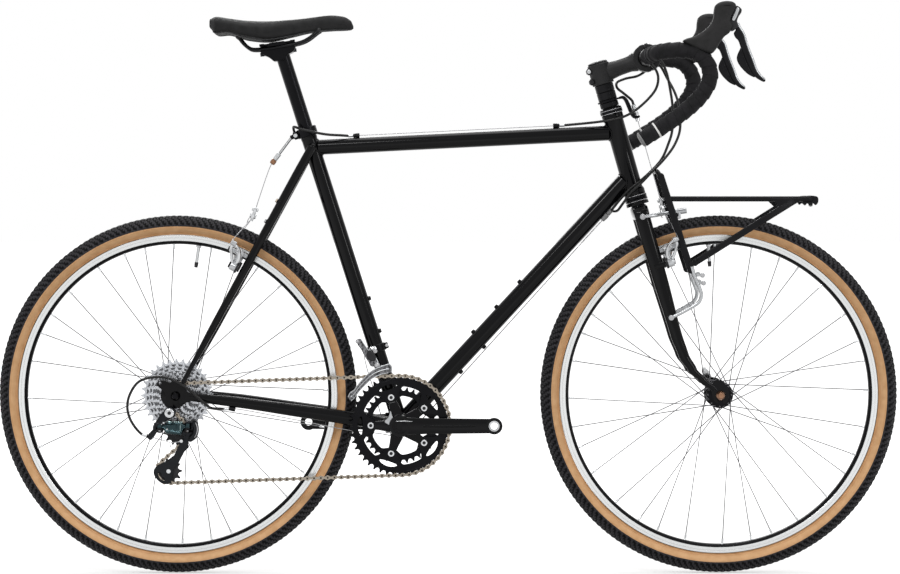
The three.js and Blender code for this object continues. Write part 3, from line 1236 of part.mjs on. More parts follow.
// A link's section: plates on both sides, with a deep pocket towards the wheel that it lies on
function linkSection(point) {
  const centre = at(point.x, chainPlane(point.x), point.z);
  const out = at(point.out[0], 0, point.out[1]);
  const edge = LINK_HALF_HEIGHT;
  const web = TOOTH_TIP + RUNNING_GAP;
  const low = point.turn > 0 ? web : LINK_GROOVE - edge;
  const high = point.turn < 0 ? -web : edge - LINK_GROOVE;
  const plate = LINK_PLATE_OUTER;
  const gap = LINK_PLATE_GAP;
  return [[-edge, -plate], [edge, -plate], [edge, -gap], [high, -gap], [high, gap], [edge, gap],
    [edge, plate], [-edge, plate], [-edge, gap], [low, gap], [low, -gap],
        [-edge, -gap]].map(([rise, y]) => (
    centre.clone().addScaledVector(out, rise).add(at(0, y, 0))));
}

function makeChain() {
  return loft(chainPoints().map(linkSection), true);
}

// Rear derailleur

const pulleyPlane = -SMALL_SPROCKET_PLANE;
const cageOuterFace = pulleyPlane - CAGE_PLATE_GAP - CAGE_PLATE_THICKNESS;
const knuckleInner = cageOuterFace - CLEARANCE;
const knuckleOuter = knuckleInner - KNUCKLE_WIDTH;
const linkInward = at(0, Math.cos(LINK_SLANT), -Math.sin(LINK_SLANT));
const linkAxis = at(0, Math.sin(LINK_SLANT), Math.cos(LINK_SLANT));
const linkForward = at(1, 0, 0);
const linkDrop = LINK_HALF_THICKNESS * Math.sin(LINK_SLANT) + LINK_EYE_RADIUS * Math.cos(LINK_SLANT);
const knucklePivot = fromAxle(rearAxle, CAGE_PIVOT, knuckleOuter - linkDrop - CLEARANCE)
  .add(at(LINK_PIVOT_OFFSET[0], 0, LINK_PIVOT_OFFSET[1]));
const bracketPivot = knucklePivot.clone().addScaledVector(linkForward, -LINK_LENGTH);

function pulley(place) {
  const [x, z] = wheelCentre(place);
  const half = PULLEY_THICKNESS / 2;
  return slab(toothedOutline(SMALL_SPROCKET_TEETH, x, z), pulleyPlane - half, pulleyPlane + half,
      [circle(x, z, PULLEY_BORE, SMALL_ROUND)]);
}

function capsule(a, b, radiusA, radiusB) {
  const heading = Math.atan2(b[1] - a[1], b[0] - a[0]);
  return [
    ...arc(a[0], a[1], radiusA, heading + Math.PI / 2, heading + Math.PI * 1.5, WIRE_ROUND),
    ...arc(b[0], b[1], radiusB, heading - Math.PI / 2, heading + Math.PI / 2, WIRE_ROUND),
  ];
}

function makeDerailleurCage() {
  const guide = wheelCentre(GUIDE_PULLEY);
  const tension = wheelCentre(TENSION_PULLEY);
  const pivot = wheelCentre(CAGE_PIVOT);
  const plates = [RIGHT, LEFT].map((side) => {
    const faces = [side * CAGE_PLATE_GAP, side * (CAGE_PLATE_GAP + CAGE_PLATE_THICKNESS)].sort((a,
        b) => a - b);
    return faces.map((face) => pulleyPlane + face);
  });
  const shapes = plates.map(([low, high]) => slab(capsule(guide, tension, CAGE_END_RADIUS, CAGE_END_RADIUS),
      low, high));
  const arm = slab(capsule(pivot, tension, CAGE_END_RADIUS, CAGE_END_RADIUS), ...plates[0]);
  const bolts = [guide, tension].map(([x, z]) => (
    rod(at(x, plates[0][0], z), at(x, plates[1][1], z), PULLEY_BOLT_RADIUS, SMALL_ROUND)));
  return join(shapes, arm, bolts);
}

function linkDisc(centre, radius, halfThickness) {
  const half = linkAxis.clone().multiplyScalar(halfThickness);
  return rod(centre.clone().sub(half), centre.clone().add(half), radius, SMALL_ROUND);
}

function linkBar(from, to) {
  return loft([from, to].map((centre) => (
    boxRing(centre, linkAxis, LINK_HALF_THICKNESS, linkInward, LINK_HALF_DEPTH))));
}

function makeDerailleurLink() {
  const discs = [knucklePivot, bracketPivot].map((pivot) => linkDisc(pivot, LINK_EYE_RADIUS,
      LINK_HALF_THICKNESS));
  return join(linkBar(bracketPivot, knucklePivot), discs);
}

function linkLugs(pivot) {
  const offset = LINK_HALF_THICKNESS + CLEARANCE + LINK_LUG_THICKNESS / 2;
  return [-1, 1].map((side) => linkDisc(pivot.clone().addScaledVector(linkAxis, side * offset),
      LINK_EYE_RADIUS, LINK_LUG_THICKNESS / 2));
}

function eyeSpace(pivot) {
  return linkDisc(pivot, LINK_EYE_RADIUS + RUNNING_GAP, LINK_HALF_THICKNESS + CLEARANCE);
}

function lugWall(pivot, direction) {
  const half = LINK_HALF_THICKNESS + CLEARANCE + LINK_LUG_THICKNESS;
  const from = pivot.clone().addScaledVector(linkForward, direction * LINK_EYE_RADIUS / 2);
  const to = pivot.clone().addScaledVector(linkForward,
      direction * (LINK_EYE_RADIUS + LINK_LUG_THICKNESS * LUG_WALL_SHARE));
  return loft([from, to].map((centre) => boxRing(centre, linkAxis, half, linkInward, LINK_EYE_RADIUS)));
}

function makeDerailleurKnuckle() {
  const [x, z] = wheelCentre(CAGE_PIVOT);
  const disc = rod(at(x, knuckleOuter, z), at(x, knuckleInner, z), KNUCKLE_RADIUS);
  const body = cut(join(linkLugs(knucklePivot), lugWall(knucklePivot, 1)), eyeSpace(knucklePivot));
  const neck = rod(at(x + KNUCKLE_RADIUS / 2, knucklePivot.y, z),
      at(x + KNUCKLE_RADIUS / 2, knuckleInner, z), LINK_EYE_RADIUS, SMALL_ROUND);
  return cut(join(disc, body, neck), eyeSpace(knucklePivot), linkSwing(knucklePivot, -1));
}

function linkSwing(pivot, direction) {
  return LINK_SWING_SHARES.map((share) => {
    const angle = share * LINK_TRAVEL;
    const along = linkForward.clone().multiplyScalar(direction * Math.cos(angle))
        .addScaledVector(linkInward, direction * Math.sin(angle));
    const across = linkInward.clone().multiplyScalar(Math.cos(angle))
        .addScaledVector(linkForward, -Math.sin(angle));
    return loft([0, LINK_LENGTH].map((reach) => boxRing(pivot.clone().addScaledVector(along, reach),
        linkAxis, LINK_HALF_THICKNESS + CLEARANCE, across, LINK_HALF_DEPTH + RUNNING_GAP)));
  });
}

function makeDerailleurBracket() {
  const bolt = wheelCentre(HANGER_BOLT);
  const elbow = [bracketPivot.x - LINK_EYE_RADIUS, bracketPivot.z + LINK_EYE_RADIUS];
  const barrel = wheelCentre(BARREL_OFFSET);
  const inner = -(REAR_SPACING / 2 + CLEARANCE + DROPOUT_THICKNESS + CLEARANCE);
  const outer = inner - LINK_EYE_RADIUS * 2;
  const body = slab(capsule(bolt, elbow, HANGER_RADIUS * BRACKET_HEAD_SHARE, LINK_EYE_RADIUS), outer,
      inner);
  const leg = slab(capsule(elbow, barrel, LINK_EYE_RADIUS, BARREL_RADIUS), bracketPivot.y - BARREL_RADIUS,
      bracketPivot.y + BARREL_RADIUS);
  const barrelAlong = at(Math.cos(CABLE_ENTRY), 0, -Math.sin(CABLE_ENTRY));
  const barrelCentre = at(barrel[0], bracketPivot.y, barrel[1]);
  const adjuster = rod(barrelCentre.clone().addScaledVector(barrelAlong, -BARREL_LENGTH / 2),
      barrelCentre.clone().addScaledVector(barrelAlong, BARREL_LENGTH / 2), BARREL_RADIUS, SMALL_ROUND);
  const bore = rod(barrelCentre.clone().addScaledVector(barrelAlong, -BARREL_LENGTH),
      barrelCentre.clone().addScaledVector(barrelAlong, BARREL_LENGTH), WIRE_RADIUS + RUNNING_GAP,
      WIRE_ROUND);
  const shape = join(body, leg, adjuster, lugWall(bracketPivot, -1), linkLugs(bracketPivot));
  return cut(shape, eyeSpace(bracketPivot), linkSwing(bracketPivot, 1), bore);
}

// Front derailleur

function makeFrontClamp() {
  const low = onSeatTube(FRONT_CLAMP_HEIGHT);
  const high = onSeatTube(FRONT_CLAMP_HEIGHT + FRONT_CLAMP_LENGTH);
  const band = ring(low, high, SEAT_TUBE_RADIUS + FRONT_CLAMP_THICKNESS, SEAT_TUBE_RADIUS + CLEARANCE);
  const middle = onSeatTube(FRONT_CLAMP_HEIGHT + FRONT_CLAMP_LENGTH / 2, -SEAT_TUBE_RADIUS, 0);
  const body = block(FRONT_CLAMP_LENGTH * FRONT_CLAMP_DEPTH_SHARE, FRONT_CLAMP_LENGTH,
      FRONT_CLAMP_LENGTH * FRONT_CLAMP_WIDTH_SHARE,
      middle.clone().add(at(-FRONT_CLAMP_LENGTH / 2, -FRONT_CLAMP_THICKNESS, 0)));
  return cut(join(band, body), rod(onSeatTube(0), onSeatTube(SEAT_TUBE_LENGTH),
      SEAT_TUBE_RADIUS + CLEARANCE));
}

function makeFrontCage() {
  const outline = [
    ...arc(bracketAxis.x, bracketAxis.z, FRONT_CAGE_OUTER, FRONT_CAGE_START, FRONT_CAGE_END,
        FRONT_CAGE_STEPS),
    ...arc(bracketAxis.x, bracketAxis.z, FRONT_CAGE_INNER, FRONT_CAGE_END, FRONT_CAGE_START,
        FRONT_CAGE_STEPS),
  ];
  const plane = chainPlane(bracketAxis.x);
  const plates = [[plane - FRONT_CAGE_HALF_GAP - FRONT_CAGE_THICKNESS, plane - FRONT_CAGE_HALF_GAP],
      [plane + FRONT_CAGE_HALF_GAP, plane + FRONT_CAGE_HALF_GAP + FRONT_CAGE_THICKNESS]];
  const sides = plates.map(([low, high]) => slab(outline, low, high));
  const bridgeTop = FRONT_CAGE_OUTER - FRONT_CAGE_THICKNESS;
  const bridges = [FRONT_CAGE_START, FRONT_CAGE_END].map((angle, i) => slab([
    ...arc(bracketAxis.x, bracketAxis.z, FRONT_CAGE_OUTER, angle,
        angle + (i === 0 ? 1 : -1) * CAGE_BRIDGE_ANGLE, 1),
    ...arc(bracketAxis.x, bracketAxis.z, bridgeTop, angle + (i === 0 ? 1 : -1) * CAGE_BRIDGE_ANGLE, angle,
        1),
  ], plates[0][0], plates[1][1]));
  const clampFoot = onSeatTube(FRONT_CLAMP_HEIGHT, 0, FRONT_CLAMP_LENGTH * CAGE_HEAD_FORWARD_SHARE);
  const armLow = plates[1][1] - FRONT_CAGE_THICKNESS;
  const angle = mix(FRONT_CAGE_START, FRONT_CAGE_END, CAGE_ARM_SHARE);
  const foot = [bracketAxis.x + FRONT_CAGE_OUTER * Math.cos(angle),
      bracketAxis.z + (FRONT_CAGE_OUTER - OVERRUN) * Math.sin(angle)];
  const head = [clampFoot.x, clampFoot.z - FRONT_CLAMP_LENGTH * CAGE_HEAD_DROP_SHARE];
  const arm = slab(capsule(foot, head, FRONT_CLAMP_LENGTH / 2, FRONT_CLAMP_LENGTH * CAGE_HEAD_RADIUS_SHARE),
    armLow, armLow + FRONT_CLAMP_LENGTH * CAGE_ARM_THICKNESS_SHARE);
  return cut(join(sides, bridges, arm), cutForClamp());
}

function cutForClamp() {
  const middle = onSeatTube(FRONT_CLAMP_HEIGHT + FRONT_CLAMP_LENGTH / 2, -SEAT_TUBE_RADIUS, 0);
  return block(FRONT_CLAMP_LENGTH * FRONT_CLAMP_DEPTH_SHARE + RUNNING_GAP, FRONT_CLAMP_LENGTH + RUNNING_GAP,
      FRONT_CLAMP_LENGTH * FRONT_CLAMP_WIDTH_SHARE + RUNNING_GAP,
    middle.clone().add(at(-FRONT_CLAMP_LENGTH / 2, -FRONT_CLAMP_THICKNESS, 0)));
}

// Fork, stem and handlebar

function bladePoint(i, side) {
  return onSteering(BLADE_SWEEP[i], side * BLADE_SPREAD[i], BLADE_PLACE[i]);
}

function bladeSpreadAt(along) {
  const i = Math.max(BLADE_PLACE.findIndex((place) => place <= along), 1);
  return mix(BLADE_SPREAD[i - 1], BLADE_SPREAD[i],
      (BLADE_PLACE[i - 1] - along) / (BLADE_PLACE[i - 1] - BLADE_PLACE[i]));
}

function makeFork() {
  const steerer = rod(onSteering(0, 0, CROWN_BOTTOM), onSteering(0, 0, STEERER_TOP), STEERER_RADIUS);
  const crown = loft([
    ovalRing(onSteering(0, 0, CROWN_TOP), steerForward, CROWN_HALF_DEPTH, sideways, CROWN_HALF_DEPTH,
        ROUND),
    ovalRing(onSteering(0, 0, CROWN_SHOULDER), steerForward, CROWN_HALF_DEPTH, sideways,
        CROWN_HALF_WIDTH * CROWN_SHOULDER_WIDTH_SHARE, ROUND),
    ovalRing(onSteering(0, 0, mix(CROWN_BOTTOM, CROWN_SHOULDER, CROWN_BELLY_SHARE)), steerForward,
        CROWN_HALF_DEPTH, sideways, CROWN_HALF_WIDTH, ROUND),
    ovalRing(onSteering(0, 0, CROWN_BOTTOM), steerForward, CROWN_HALF_DEPTH * CROWN_FOOT_DEPTH_SHARE,
        sideways, CROWN_HALF_WIDTH, ROUND),
  ]);
  const inner = FRONT_SPACING / 2 + CLEARANCE;
  const blades = [RIGHT, LEFT].map((side) => {
    const rings = BLADE_PLACE.map((unused, i) => {
      const before = bladePoint(Math.max(i - 1, 0), side);
      const after = bladePoint(Math.min(i + 1, BLADE_PLACE.length - 1), side);
      const along = after.sub(before).normalize();
      const across = along.clone().cross(sideways).normalize();
      return ovalRing(bladePoint(i, side), across, BLADE_DEPTH[i] / 2, sideways, BLADE_WIDTH[i] / 2,
          SMALL_ROUND);
    });
    const faces = [side * inner, side * (inner + DROPOUT_THICKNESS)].sort((a, b) => a - b);
    const plate = slab(circle(frontAxle.x, frontAxle.z, FORK_PLATE_RADIUS), faces[0], faces[1]);
    const bossFoot = onSteering(0, side * bladeSpreadAt(FRONT_BOSS_PLACE), FRONT_BOSS_PLACE);
    const boss = rod(bossFoot, bossFoot.clone()
        .addScaledVector(steerForward, BOSS_LENGTH + BLADE_DEPTH[1] / 2), BOSS_PIN_RADIUS, SMALL_ROUND);
    const rackBoss = [0, RACK_HALF_WIDTH - CLEARANCE].map((y, i) => (
      onSteering(0, side * (i === 0 ? bladeSpreadAt(RACK_BOSS_PLACE) : y), RACK_BOSS_PLACE)));
    return join(loft(rings), plate, boss, rod(...rackBoss, RACK_BOSS_RADIUS, BOSS_ROUND));
  });
  const slots = [RIGHT, LEFT].map((side) => {
    const faces = [side * (inner - OVERRUN), side * (inner + OVERRUN * 2)].sort((a, b) => a - b);
    return axleSlot(frontAxle, faces[0], faces[1], -1);
  });
  return cut(join(steerer, crown, blades), slots);
}

function makeSpacers() {
  const low = HEAD_TOP + CLEARANCE + UPPER_CUP_HEIGHT + CLEARANCE;
  const stack = headsetRing(low, STEM_BOTTOM - CLEARANCE - low, SPACER_RADIUS);
  const places = [[0, CABLE_HANGER_PLACE], [CABLE_HANGER_REACH[1], CABLE_HANGER_PLACE],
      [CABLE_HANGER_REACH[2], CABLE_HANGER_PLACE - CABLE_HANGER_DROP],
    [CABLE_HANGER_REACH[3], CABLE_HANGER_PLACE - CABLE_HANGER_DROP]];
  const half = CABLE_HANGER_THICKNESS / 2;
  const outline = [...places.map(([f, t]) => [f + (t < CABLE_HANGER_PLACE ? 0 : half), t + half]),
    ...places.slice().reverse().map(([f, t]) => {
      const inset = t < CABLE_HANGER_PLACE ? CABLE_HANGER_THICKNESS : half;
      const foot = f === CABLE_HANGER_REACH[3] ? CABLE_HANGER_THICKNESS : 0;
      return [f - inset + foot, t - half];
    })];
  const world = outline.map(([f, t]) => {
    const point = onSteering(f, 0, t);
    return [point.x, point.z];
  });
  const arm = slab(world, -CABLE_HANGER_WIDTH / 2, CABLE_HANGER_WIDTH / 2);
  const footMiddle = mix(CABLE_HANGER_REACH[2], CABLE_HANGER_REACH[3], HANGER_FOOT_SHARE);
  const boreEnds = HANGER_BORE_SHARES.map((share) => onSteering(footMiddle, 0,
      CABLE_HANGER_PLACE - CABLE_HANGER_DROP * share));
  const bore = rod(...boreEnds, WIRE_RADIUS + RUNNING_GAP, WIRE_ROUND);
  const steererBore = rod(onSteering(0, 0, CROWN_TOP), onSteering(0, 0, STEERER_TOP),
      STEERER_RADIUS + RUNNING_GAP);
  return cut(join(stack, arm), bore, steererBore);
}

const barCentre = at(BAR_CENTRE[0], 0, BAR_CENTRE[1]);

function makeStem() {
  const top = STEM_BOTTOM + STEM_HEIGHT;
  const clamp = rod(onSteering(0, 0, STEM_BOTTOM), onSteering(0, 0, top), STEM_CLAMP_RADIUS);
  const cap = rod(onSteering(0, 0, top), onSteering(0, 0, top + STEM_CAP_HEIGHT), SPACER_RADIUS);
  const arm = rod(onSteering(0, 0, mix(STEM_BOTTOM, top, 0.5)), barCentre, STEM_TUBE_RADIUS);
  const half = at(0, BAR_CLAMP_WIDTH / 2, 0);
  const barClamp = rod(barCentre.clone().sub(half), barCentre.clone().add(half), BAR_CLAMP_RADIUS);
  const steererBore = rod(onSteering(0, 0, STEM_BOTTOM - OVERRUN),
      onSteering(0, 0, STEERER_TOP + CLEARANCE), STEERER_RADIUS + CLEARANCE);
  const barBore = rod(barCentre.clone().sub(half).add(at(0, -OVERRUN, 0)),
      barCentre.clone().add(half).add(at(0, OVERRUN, 0)), BAR_BULGE_RADIUS + CLEARANCE);
  return cut(join(clamp, cap, arm, barClamp), steererBore, barBore);
}

function barPoints() {
  const shares = [...BAR_TOP_SHARES, ...BAR_HOOK_SHARES];
  const half = shares.map(([x, y, z]) => at(barCentre.x + BAR_REACH * x, BAR_HALF_WIDTH * y,
      barCentre.z + BAR_DROP * z));
  const curve = new THREE.CatmullRomCurve3(half, false, 'centripetal');
  const left = Array.from({ length: BAR_STEPS + 1 }, (unused, i) => curve.getPointAt(i / BAR_STEPS));
  const right = left.slice(1).reverse().map((point) => at(point.x, -point.y, point.z));
  return [...right, ...left];
}

function barStretch(side, radius, extra = 0) {
  const rings = ringsAlong(barPoints(), radius, BAR_SIDES);
  const first = BAR_STEPS + TAPE_FIRST_STEP - extra;
  const last = BAR_STEPS + TAPE_LAST_STEP + extra;
  return loft(side === LEFT ? rings.slice(first, last + 1) : rings.slice(BAR_STEPS * 2 - last,
      BAR_STEPS * 2 - first + 1));
}

function makeHandlebar() {
  const half = at(0, BAR_BULGE_WIDTH / 2, 0);
  const bulge = rod(barCentre.clone().sub(half), barCentre.clone().add(half), BAR_BULGE_RADIUS);
  return join(loft(ringsAlong(barPoints(), BAR_RADIUS, BAR_SIDES)), bulge);
}

function makeTape(side) {
  return cut(barStretch(side, TAPE_RADIUS), barStretch(side, BAR_RADIUS + CLEARANCE, 1));
}

function tapeSpace(side) {
  return barStretch(side, TAPE_RADIUS + CLEARANCE);
}

// Brake and gear levers

function hoodOutline(shares) {
  return shares.map(([x, z]) => [HOOD_LEFT_EDGE + HOOD_LENGTH * x, HOOD_BASE + HOOD_HEIGHT * z]);
}

function makeLeverBracket(side) {
  const inset = HOOD_BEVEL;
  const shape = new THREE.Shape(hoodOutline(HOOD_OUTLINE_SHARES).map(([x, z]) => new THREE.Vector2(x, z)));
  const geometry = new THREE.ExtrudeGeometry(shape, {
    depth: HOOD_WIDTH - inset * 2, bevelEnabled: true, bevelThickness: inset, bevelSize: inset / 2,
        bevelOffset: -inset / 2, bevelSegments: 1,
  });
  geometry.rotateX(Math.PI / 2);
  geometry.translate(0, side * BAR_HALF_WIDTH + (HOOD_WIDTH - inset * 2) / 2, 0);
  return cut(solid(geometry), tapeSpace(side), leverSpace(side));
}

function leverSlab(shares, side, width) {
  const half = width / 2;
  return slab(hoodOutline(shares), side * BAR_HALF_WIDTH - half, side * BAR_HALF_WIDTH + half);
}

function leverSpace(side) {
  const pivot = at(LEVER_PIVOT[0], side * BAR_HALF_WIDTH, LEVER_PIVOT[1]);
  const half = at(0, PIVOT_BLOCK_WIDTH / 2 + CLEARANCE, 0);
  return rod(pivot.clone().sub(half), pivot.clone().add(half), PIVOT_EYE_RADIUS + CLEARANCE);
}

function makeLeverPivot(side) {
  const pivot = at(LEVER_PIVOT[0], side * BAR_HALF_WIDTH, LEVER_PIVOT[1]);
  const half = at(0, PIVOT_BLOCK_WIDTH / 2, 0);
  const eye = rod(pivot.clone().sub(half), pivot.clone().add(half), PIVOT_EYE_RADIUS);
  return join(leverSlab(PIVOT_BLOCK_SHARES, side, PIVOT_BLOCK_WIDTH), eye);
}

function bladeRoot(side) {
  const height = HOOD_BASE + HOOD_HEIGHT * PIVOT_BLOCK_SHARES[3][1] - CLEARANCE - BLADE_THICKNESS / 2;
  return BLADE_ROOT_SHARES.map((share) => at(HOOD_LEFT_EDGE + HOOD_LENGTH * share, side * BAR_HALF_WIDTH,
      height));
}

function makeBrakeLever(side) {
  return join(leverSlab(BLADE_SHARES, side, BLADE_THICKNESS),
      rod(...bladeRoot(side), BLADE_THICKNESS / 2, SMALL_ROUND));
}

function makePaddle(side) {
  return leverSlab(PADDLE_SHARES, side, PADDLE_THICKNESS);
}

// Cantilever brakes: each arm turns on a boss that points away from the stay or blade

function makeBrakeArm(side, foot, out, up, rimCentre) {
  const across = sideways.clone().multiplyScalar(side);
  const start = foot.clone().addScaledVector(out, BOSS_PIN_RADIUS * 2 + ARM_HUB_LENGTH / 2);
  const middle = start.clone().addScaledVector(out, ARM_HUB_LENGTH / 2);
  const end = start.clone().addScaledVector(out, ARM_HUB_LENGTH);
  const hub = rod(start, end, ARM_HUB_RADIUS, SMALL_ROUND);
  const [rise, reach] = ARM_ELBOW_SHARES;
  const elbow = middle.clone().addScaledVector(up, ARM_RISE * rise)
      .addScaledVector(across, ARM_REACH * reach);
  const tip = middle.clone().addScaledVector(up, ARM_RISE)
      .addScaledVector(across, ARM_REACH).addScaledVector(out, ARM_LEAN);
  const arm = loft([middle, elbow, tip].map((centre) => boxRing(centre, out, ARM_THICKNESS / 2,
    up.clone().multiplyScalar(ARM_REACH).addScaledVector(across, -ARM_RISE).normalize(),
        ARM_HALF_WIDTH * (centre === tip ? 0.6 : 1))));
  const padFace = RIM_WIDTH / 2 + PAD_GAP;
  const padCentre = middle.clone().addScaledVector(up, PAD_RISE);
  padCentre.y = side * (padFace + PAD_DEPTH / 2);
  const radial = padCentre.clone().sub(rimCentre).setY(0).normalize();
  const tangentAlong = at(-radial.z, 0, radial.x);
  const pad = loft([-1, 1].map((half) => boxRing(padCentre.clone()
      .addScaledVector(tangentAlong, half * PAD_LENGTH / 2),
    sideways, PAD_DEPTH / 2, radial, PAD_HEIGHT / 2)));
  const postEnd = padCentre.clone().setY(side * (Math.abs(middle.y) + ARM_HALF_WIDTH));
  const post = rod(padCentre, postEnd, BOSS_PIN_RADIUS, SMALL_ROUND);
  const carrier = loft([middle, postEnd.clone()
      .addScaledVector(across, -ARM_HALF_WIDTH)].map((centre) => boxRing(centre, out, ARM_THICKNESS / 2,
      across, ARM_HALF_WIDTH)));
  const bore = rod(foot, end.clone().addScaledVector(out, OVERRUN), BOSS_PIN_RADIUS + RUNNING_GAP,
      SMALL_ROUND);
  return cut(join(hub, arm, pad, post, carrier), bore);
}

function frontArmFoot(side) {
  const forward = BLADE_DEPTH[1] / 2 - BOSS_PIN_RADIUS * 2 + RUNNING_GAP;
  return onSteering(forward, side * bladeSpreadAt(FRONT_BOSS_PLACE), FRONT_BOSS_PLACE);
}

function frontArm(side) {
  return makeBrakeArm(side, frontArmFoot(side), steerForward, steerUp, frontAxle);
}

function rearArmFoot(side) {
  const { foot, back } = rearBossAxis(side);
  return { start: foot.clone().addScaledVector(back, SEATSTAY_RADII[2] - BOSS_PIN_RADIUS * 2 + RUNNING_GAP),
      back };
}

function rearArm(side) {
  const { start, back } = rearArmFoot(side);
  return makeBrakeArm(side, start, back, seatstayAlong.clone().negate(), rearAxle);
}

// Front rack

function flatBar(a, b, width, thickness) {
  const along = at(b[0] - a[0], 0, b[2] - a[2]).normalize();
  const across = at(-along.z, 0, along.x);
  return loft([a, b].map(([x, y, z]) => boxRing(at(x, y, z), across, width / 2, sideways, thickness / 2)));
}

function makeRack() {
  const pieces = [];
  const front = RACK_REAR + RACK_LENGTH;
  const level = RACK_TOP - RACK_BAR / 2;
  const inner = RACK_HALF_WIDTH - RACK_BAR / 2;
  for (const side of [RIGHT, LEFT]) {
    pieces.push(flatBar([RACK_REAR, side * inner, level], [front, side * inner, level], RACK_BAR,
        RACK_BAR));
    pieces.push(flatBar([RACK_UPRIGHT_TOP[0], side * RACK_HALF_WIDTH, RACK_UPRIGHT_TOP[1]],
      [RACK_UPRIGHT_FOOT[0], side * RACK_HALF_WIDTH, RACK_UPRIGHT_FOOT[1]], RACK_UPRIGHT_WIDTH, RACK_BAR));
    pieces.push(flatBar([RACK_STRUT_TOP, side * RACK_HALF_WIDTH, level],
        [RACK_STRUT_FOOT[0], side * RACK_HALF_WIDTH, RACK_STRUT_FOOT[1]], RACK_BAR, RACK_BAR));
    const route = RACK_ARM_ROUTE_SHARES.map(([x,
        z]) => at(RACK_UPRIGHT_FOOT[0] + RACK_ARM_SPAN * x * RACK_ARM_DEPTH_SHARE,
      side * (RACK_HALF_WIDTH + RACK_ARM_RADIUS),
          RACK_UPRIGHT_FOOT[1] + RACK_UPRIGHT_WIDTH + RACK_ARM_SPAN * z));
    pieces.push(loft(ringsAlong(route, RACK_ARM_RADIUS, WIRE_ROUND)));
  }
  const crossBar = (x, z) => block(RACK_BAR, RACK_HALF_WIDTH * 2, RACK_BAR, at(x, 0, z));
  pieces.push(crossBar(RACK_REAR + RACK_BAR, level), crossBar(front - RACK_BAR / 2, level));
  pieces.push(crossBar(RACK_UPRIGHT_TOP[0], RACK_UPRIGHT_TOP[1]));
  RACK_CROSS_SHARES.forEach((share) => pieces.push(crossBar(RACK_REAR + RACK_LENGTH * share, level)));
  pieces.push(flatBar([RACK_REAR + RACK_BAR, 0, level], [front, 0, level], RACK_BAR, RACK_BAR));
  pieces.push(block(RACK_BAR / 2, RACK_HALF_WIDTH, RACK_FRONT_DROP,
      at(front - RACK_BAR / 4, 0, RACK_TOP - RACK_BAR - RACK_FRONT_DROP / 2 + OVERRUN / 2)));
  for (const side of [RIGHT, LEFT]) {
    const route = RACK_STAY_ROUTE.map(([x, z]) => at(x, side * RACK_STAY_HALF_SPACING, z));
    pieces.push(sweep([...route, at(RACK_STAY_ROUTE[2][0] + RACK_BAR * 2, side * RACK_STAY_HALF_SPACING,
        level)], RACK_STAY_RADIUS, WIRE_ROUND, WIRE_SIDES));
  }
  pieces.push(crossBar(RACK_STAY_ROUTE[2][0] + RACK_BAR * 2, level));
  return join(pieces);
}

// Cords that the bicycle holds all the way

function cord(points, radius, sides, stepLength) {
  const curve = new THREE.CatmullRomCurve3(points, false, 'centripetal');
  const steps = Math.max(Math.round(curve.getLength() / stepLength), 1);
  return sweep(points, radius, sides, steps);
}

function routed(route, before = [], after = []) {
  return [...before, ...route.map(([x, y, z]) => at(x, y, z)), ...after];
}

function housing(points) {
  return cord(points, HOUSING_RADIUS, CORD_SIDES, CORD_STEP);
}

function wire(a, b) {
  return rod(a, b, WIRE_RADIUS, WIRE_SIDES);
}

function stopFace(centre, direction) {
  return centre.clone().addScaledVector(direction, CABLE_STOP_LENGTH / 2 + CLEARANCE);
}

function straddle(yoke, up, tips) {
  const body = block(YOKE_SIZE / 2, YOKE_SIZE, YOKE_SIZE, yoke, Math.atan2(up.x, up.z));
  const ends = tips.map((tip) => wire(yoke.clone().add(at(0, Math.sign(tip.y) * YOKE_SIZE / 3, 0)), tip));
  return join(body, ends);
}

function lead(point, direction) {
  return point.clone().addScaledVector(direction, CORD_LEAD);
}

function straightHousing(a, b) {
  return rod(a, b, HOUSING_RADIUS, CORD_SIDES);
}

const collarPass = hangerEnd.clone().addScaledVector(stirrupAlong, -CORD_LEAD * COLLAR_PASS_SHARE);
const stirrupStop = stirrupEnd.clone().addScaledVector(stirrupAlong, -STIRRUP_BLOCK / 2 - CLEARANCE);

function brakeTip(side, foot, out, up) {
  const middle = foot.clone().addScaledVector(out, BOSS_PIN_RADIUS * 2 + ARM_HUB_LENGTH);
  return middle.addScaledVector(up, ARM_RISE + STRADDLE_GAP).addScaledVector(out, ARM_LEAN)
    .add(at(0, side * (ARM_REACH + STRADDLE_GAP), 0));
}

function makeRearBrakeCable() {
  const front = stopFace(frontBrakeStop, topTubeAlong);
  const rear = stopFace(rearBrakeStop, topTubeAlong.clone().negate());
  const ferrule = rod(stirrupStop.clone().addScaledVector(stirrupAlong, -FERRULE_LENGTH), stirrupStop,
      FERRULE_RADIUS, SMALL_ROUND);
  const tips = [RIGHT, LEFT].map((side) => {
    const { start, back } = rearArmFoot(side);
    return brakeTip(side, start, back, seatstayAlong.clone().negate());
  });
  const yoke = rearYoke;
  const below = lead(stirrupEnd, stirrupAlong);
  const frontLead = lead(front, topTubeAlong);
  const rearLead = lead(rear, topTubeAlong.clone().negate());
  return join(
    housing(routed(REAR_BRAKE_FRONT_HOUSING, [], [frontLead])),
    straightHousing(frontLead, front),
    wire(frontLead, rearLead),
    straightHousing(rear, rearLead),
    housing(routed(REAR_BRAKE_REAR_HOUSING, [rearLead], [collarPass])),
    straightHousing(collarPass, stirrupStop),
    ferrule,
    wire(stirrupStop, below),
    wire(below, yoke),
    straddle(yoke, below.clone().sub(yoke), tips),
  );
}

const hangerFoot = mix(CABLE_HANGER_REACH[2], CABLE_HANGER_REACH[3], HANGER_FOOT_SHARE);
const frontHangerTop = onSteering(hangerFoot, 0,
    CABLE_HANGER_PLACE - CABLE_HANGER_DROP + CABLE_HANGER_THICKNESS);

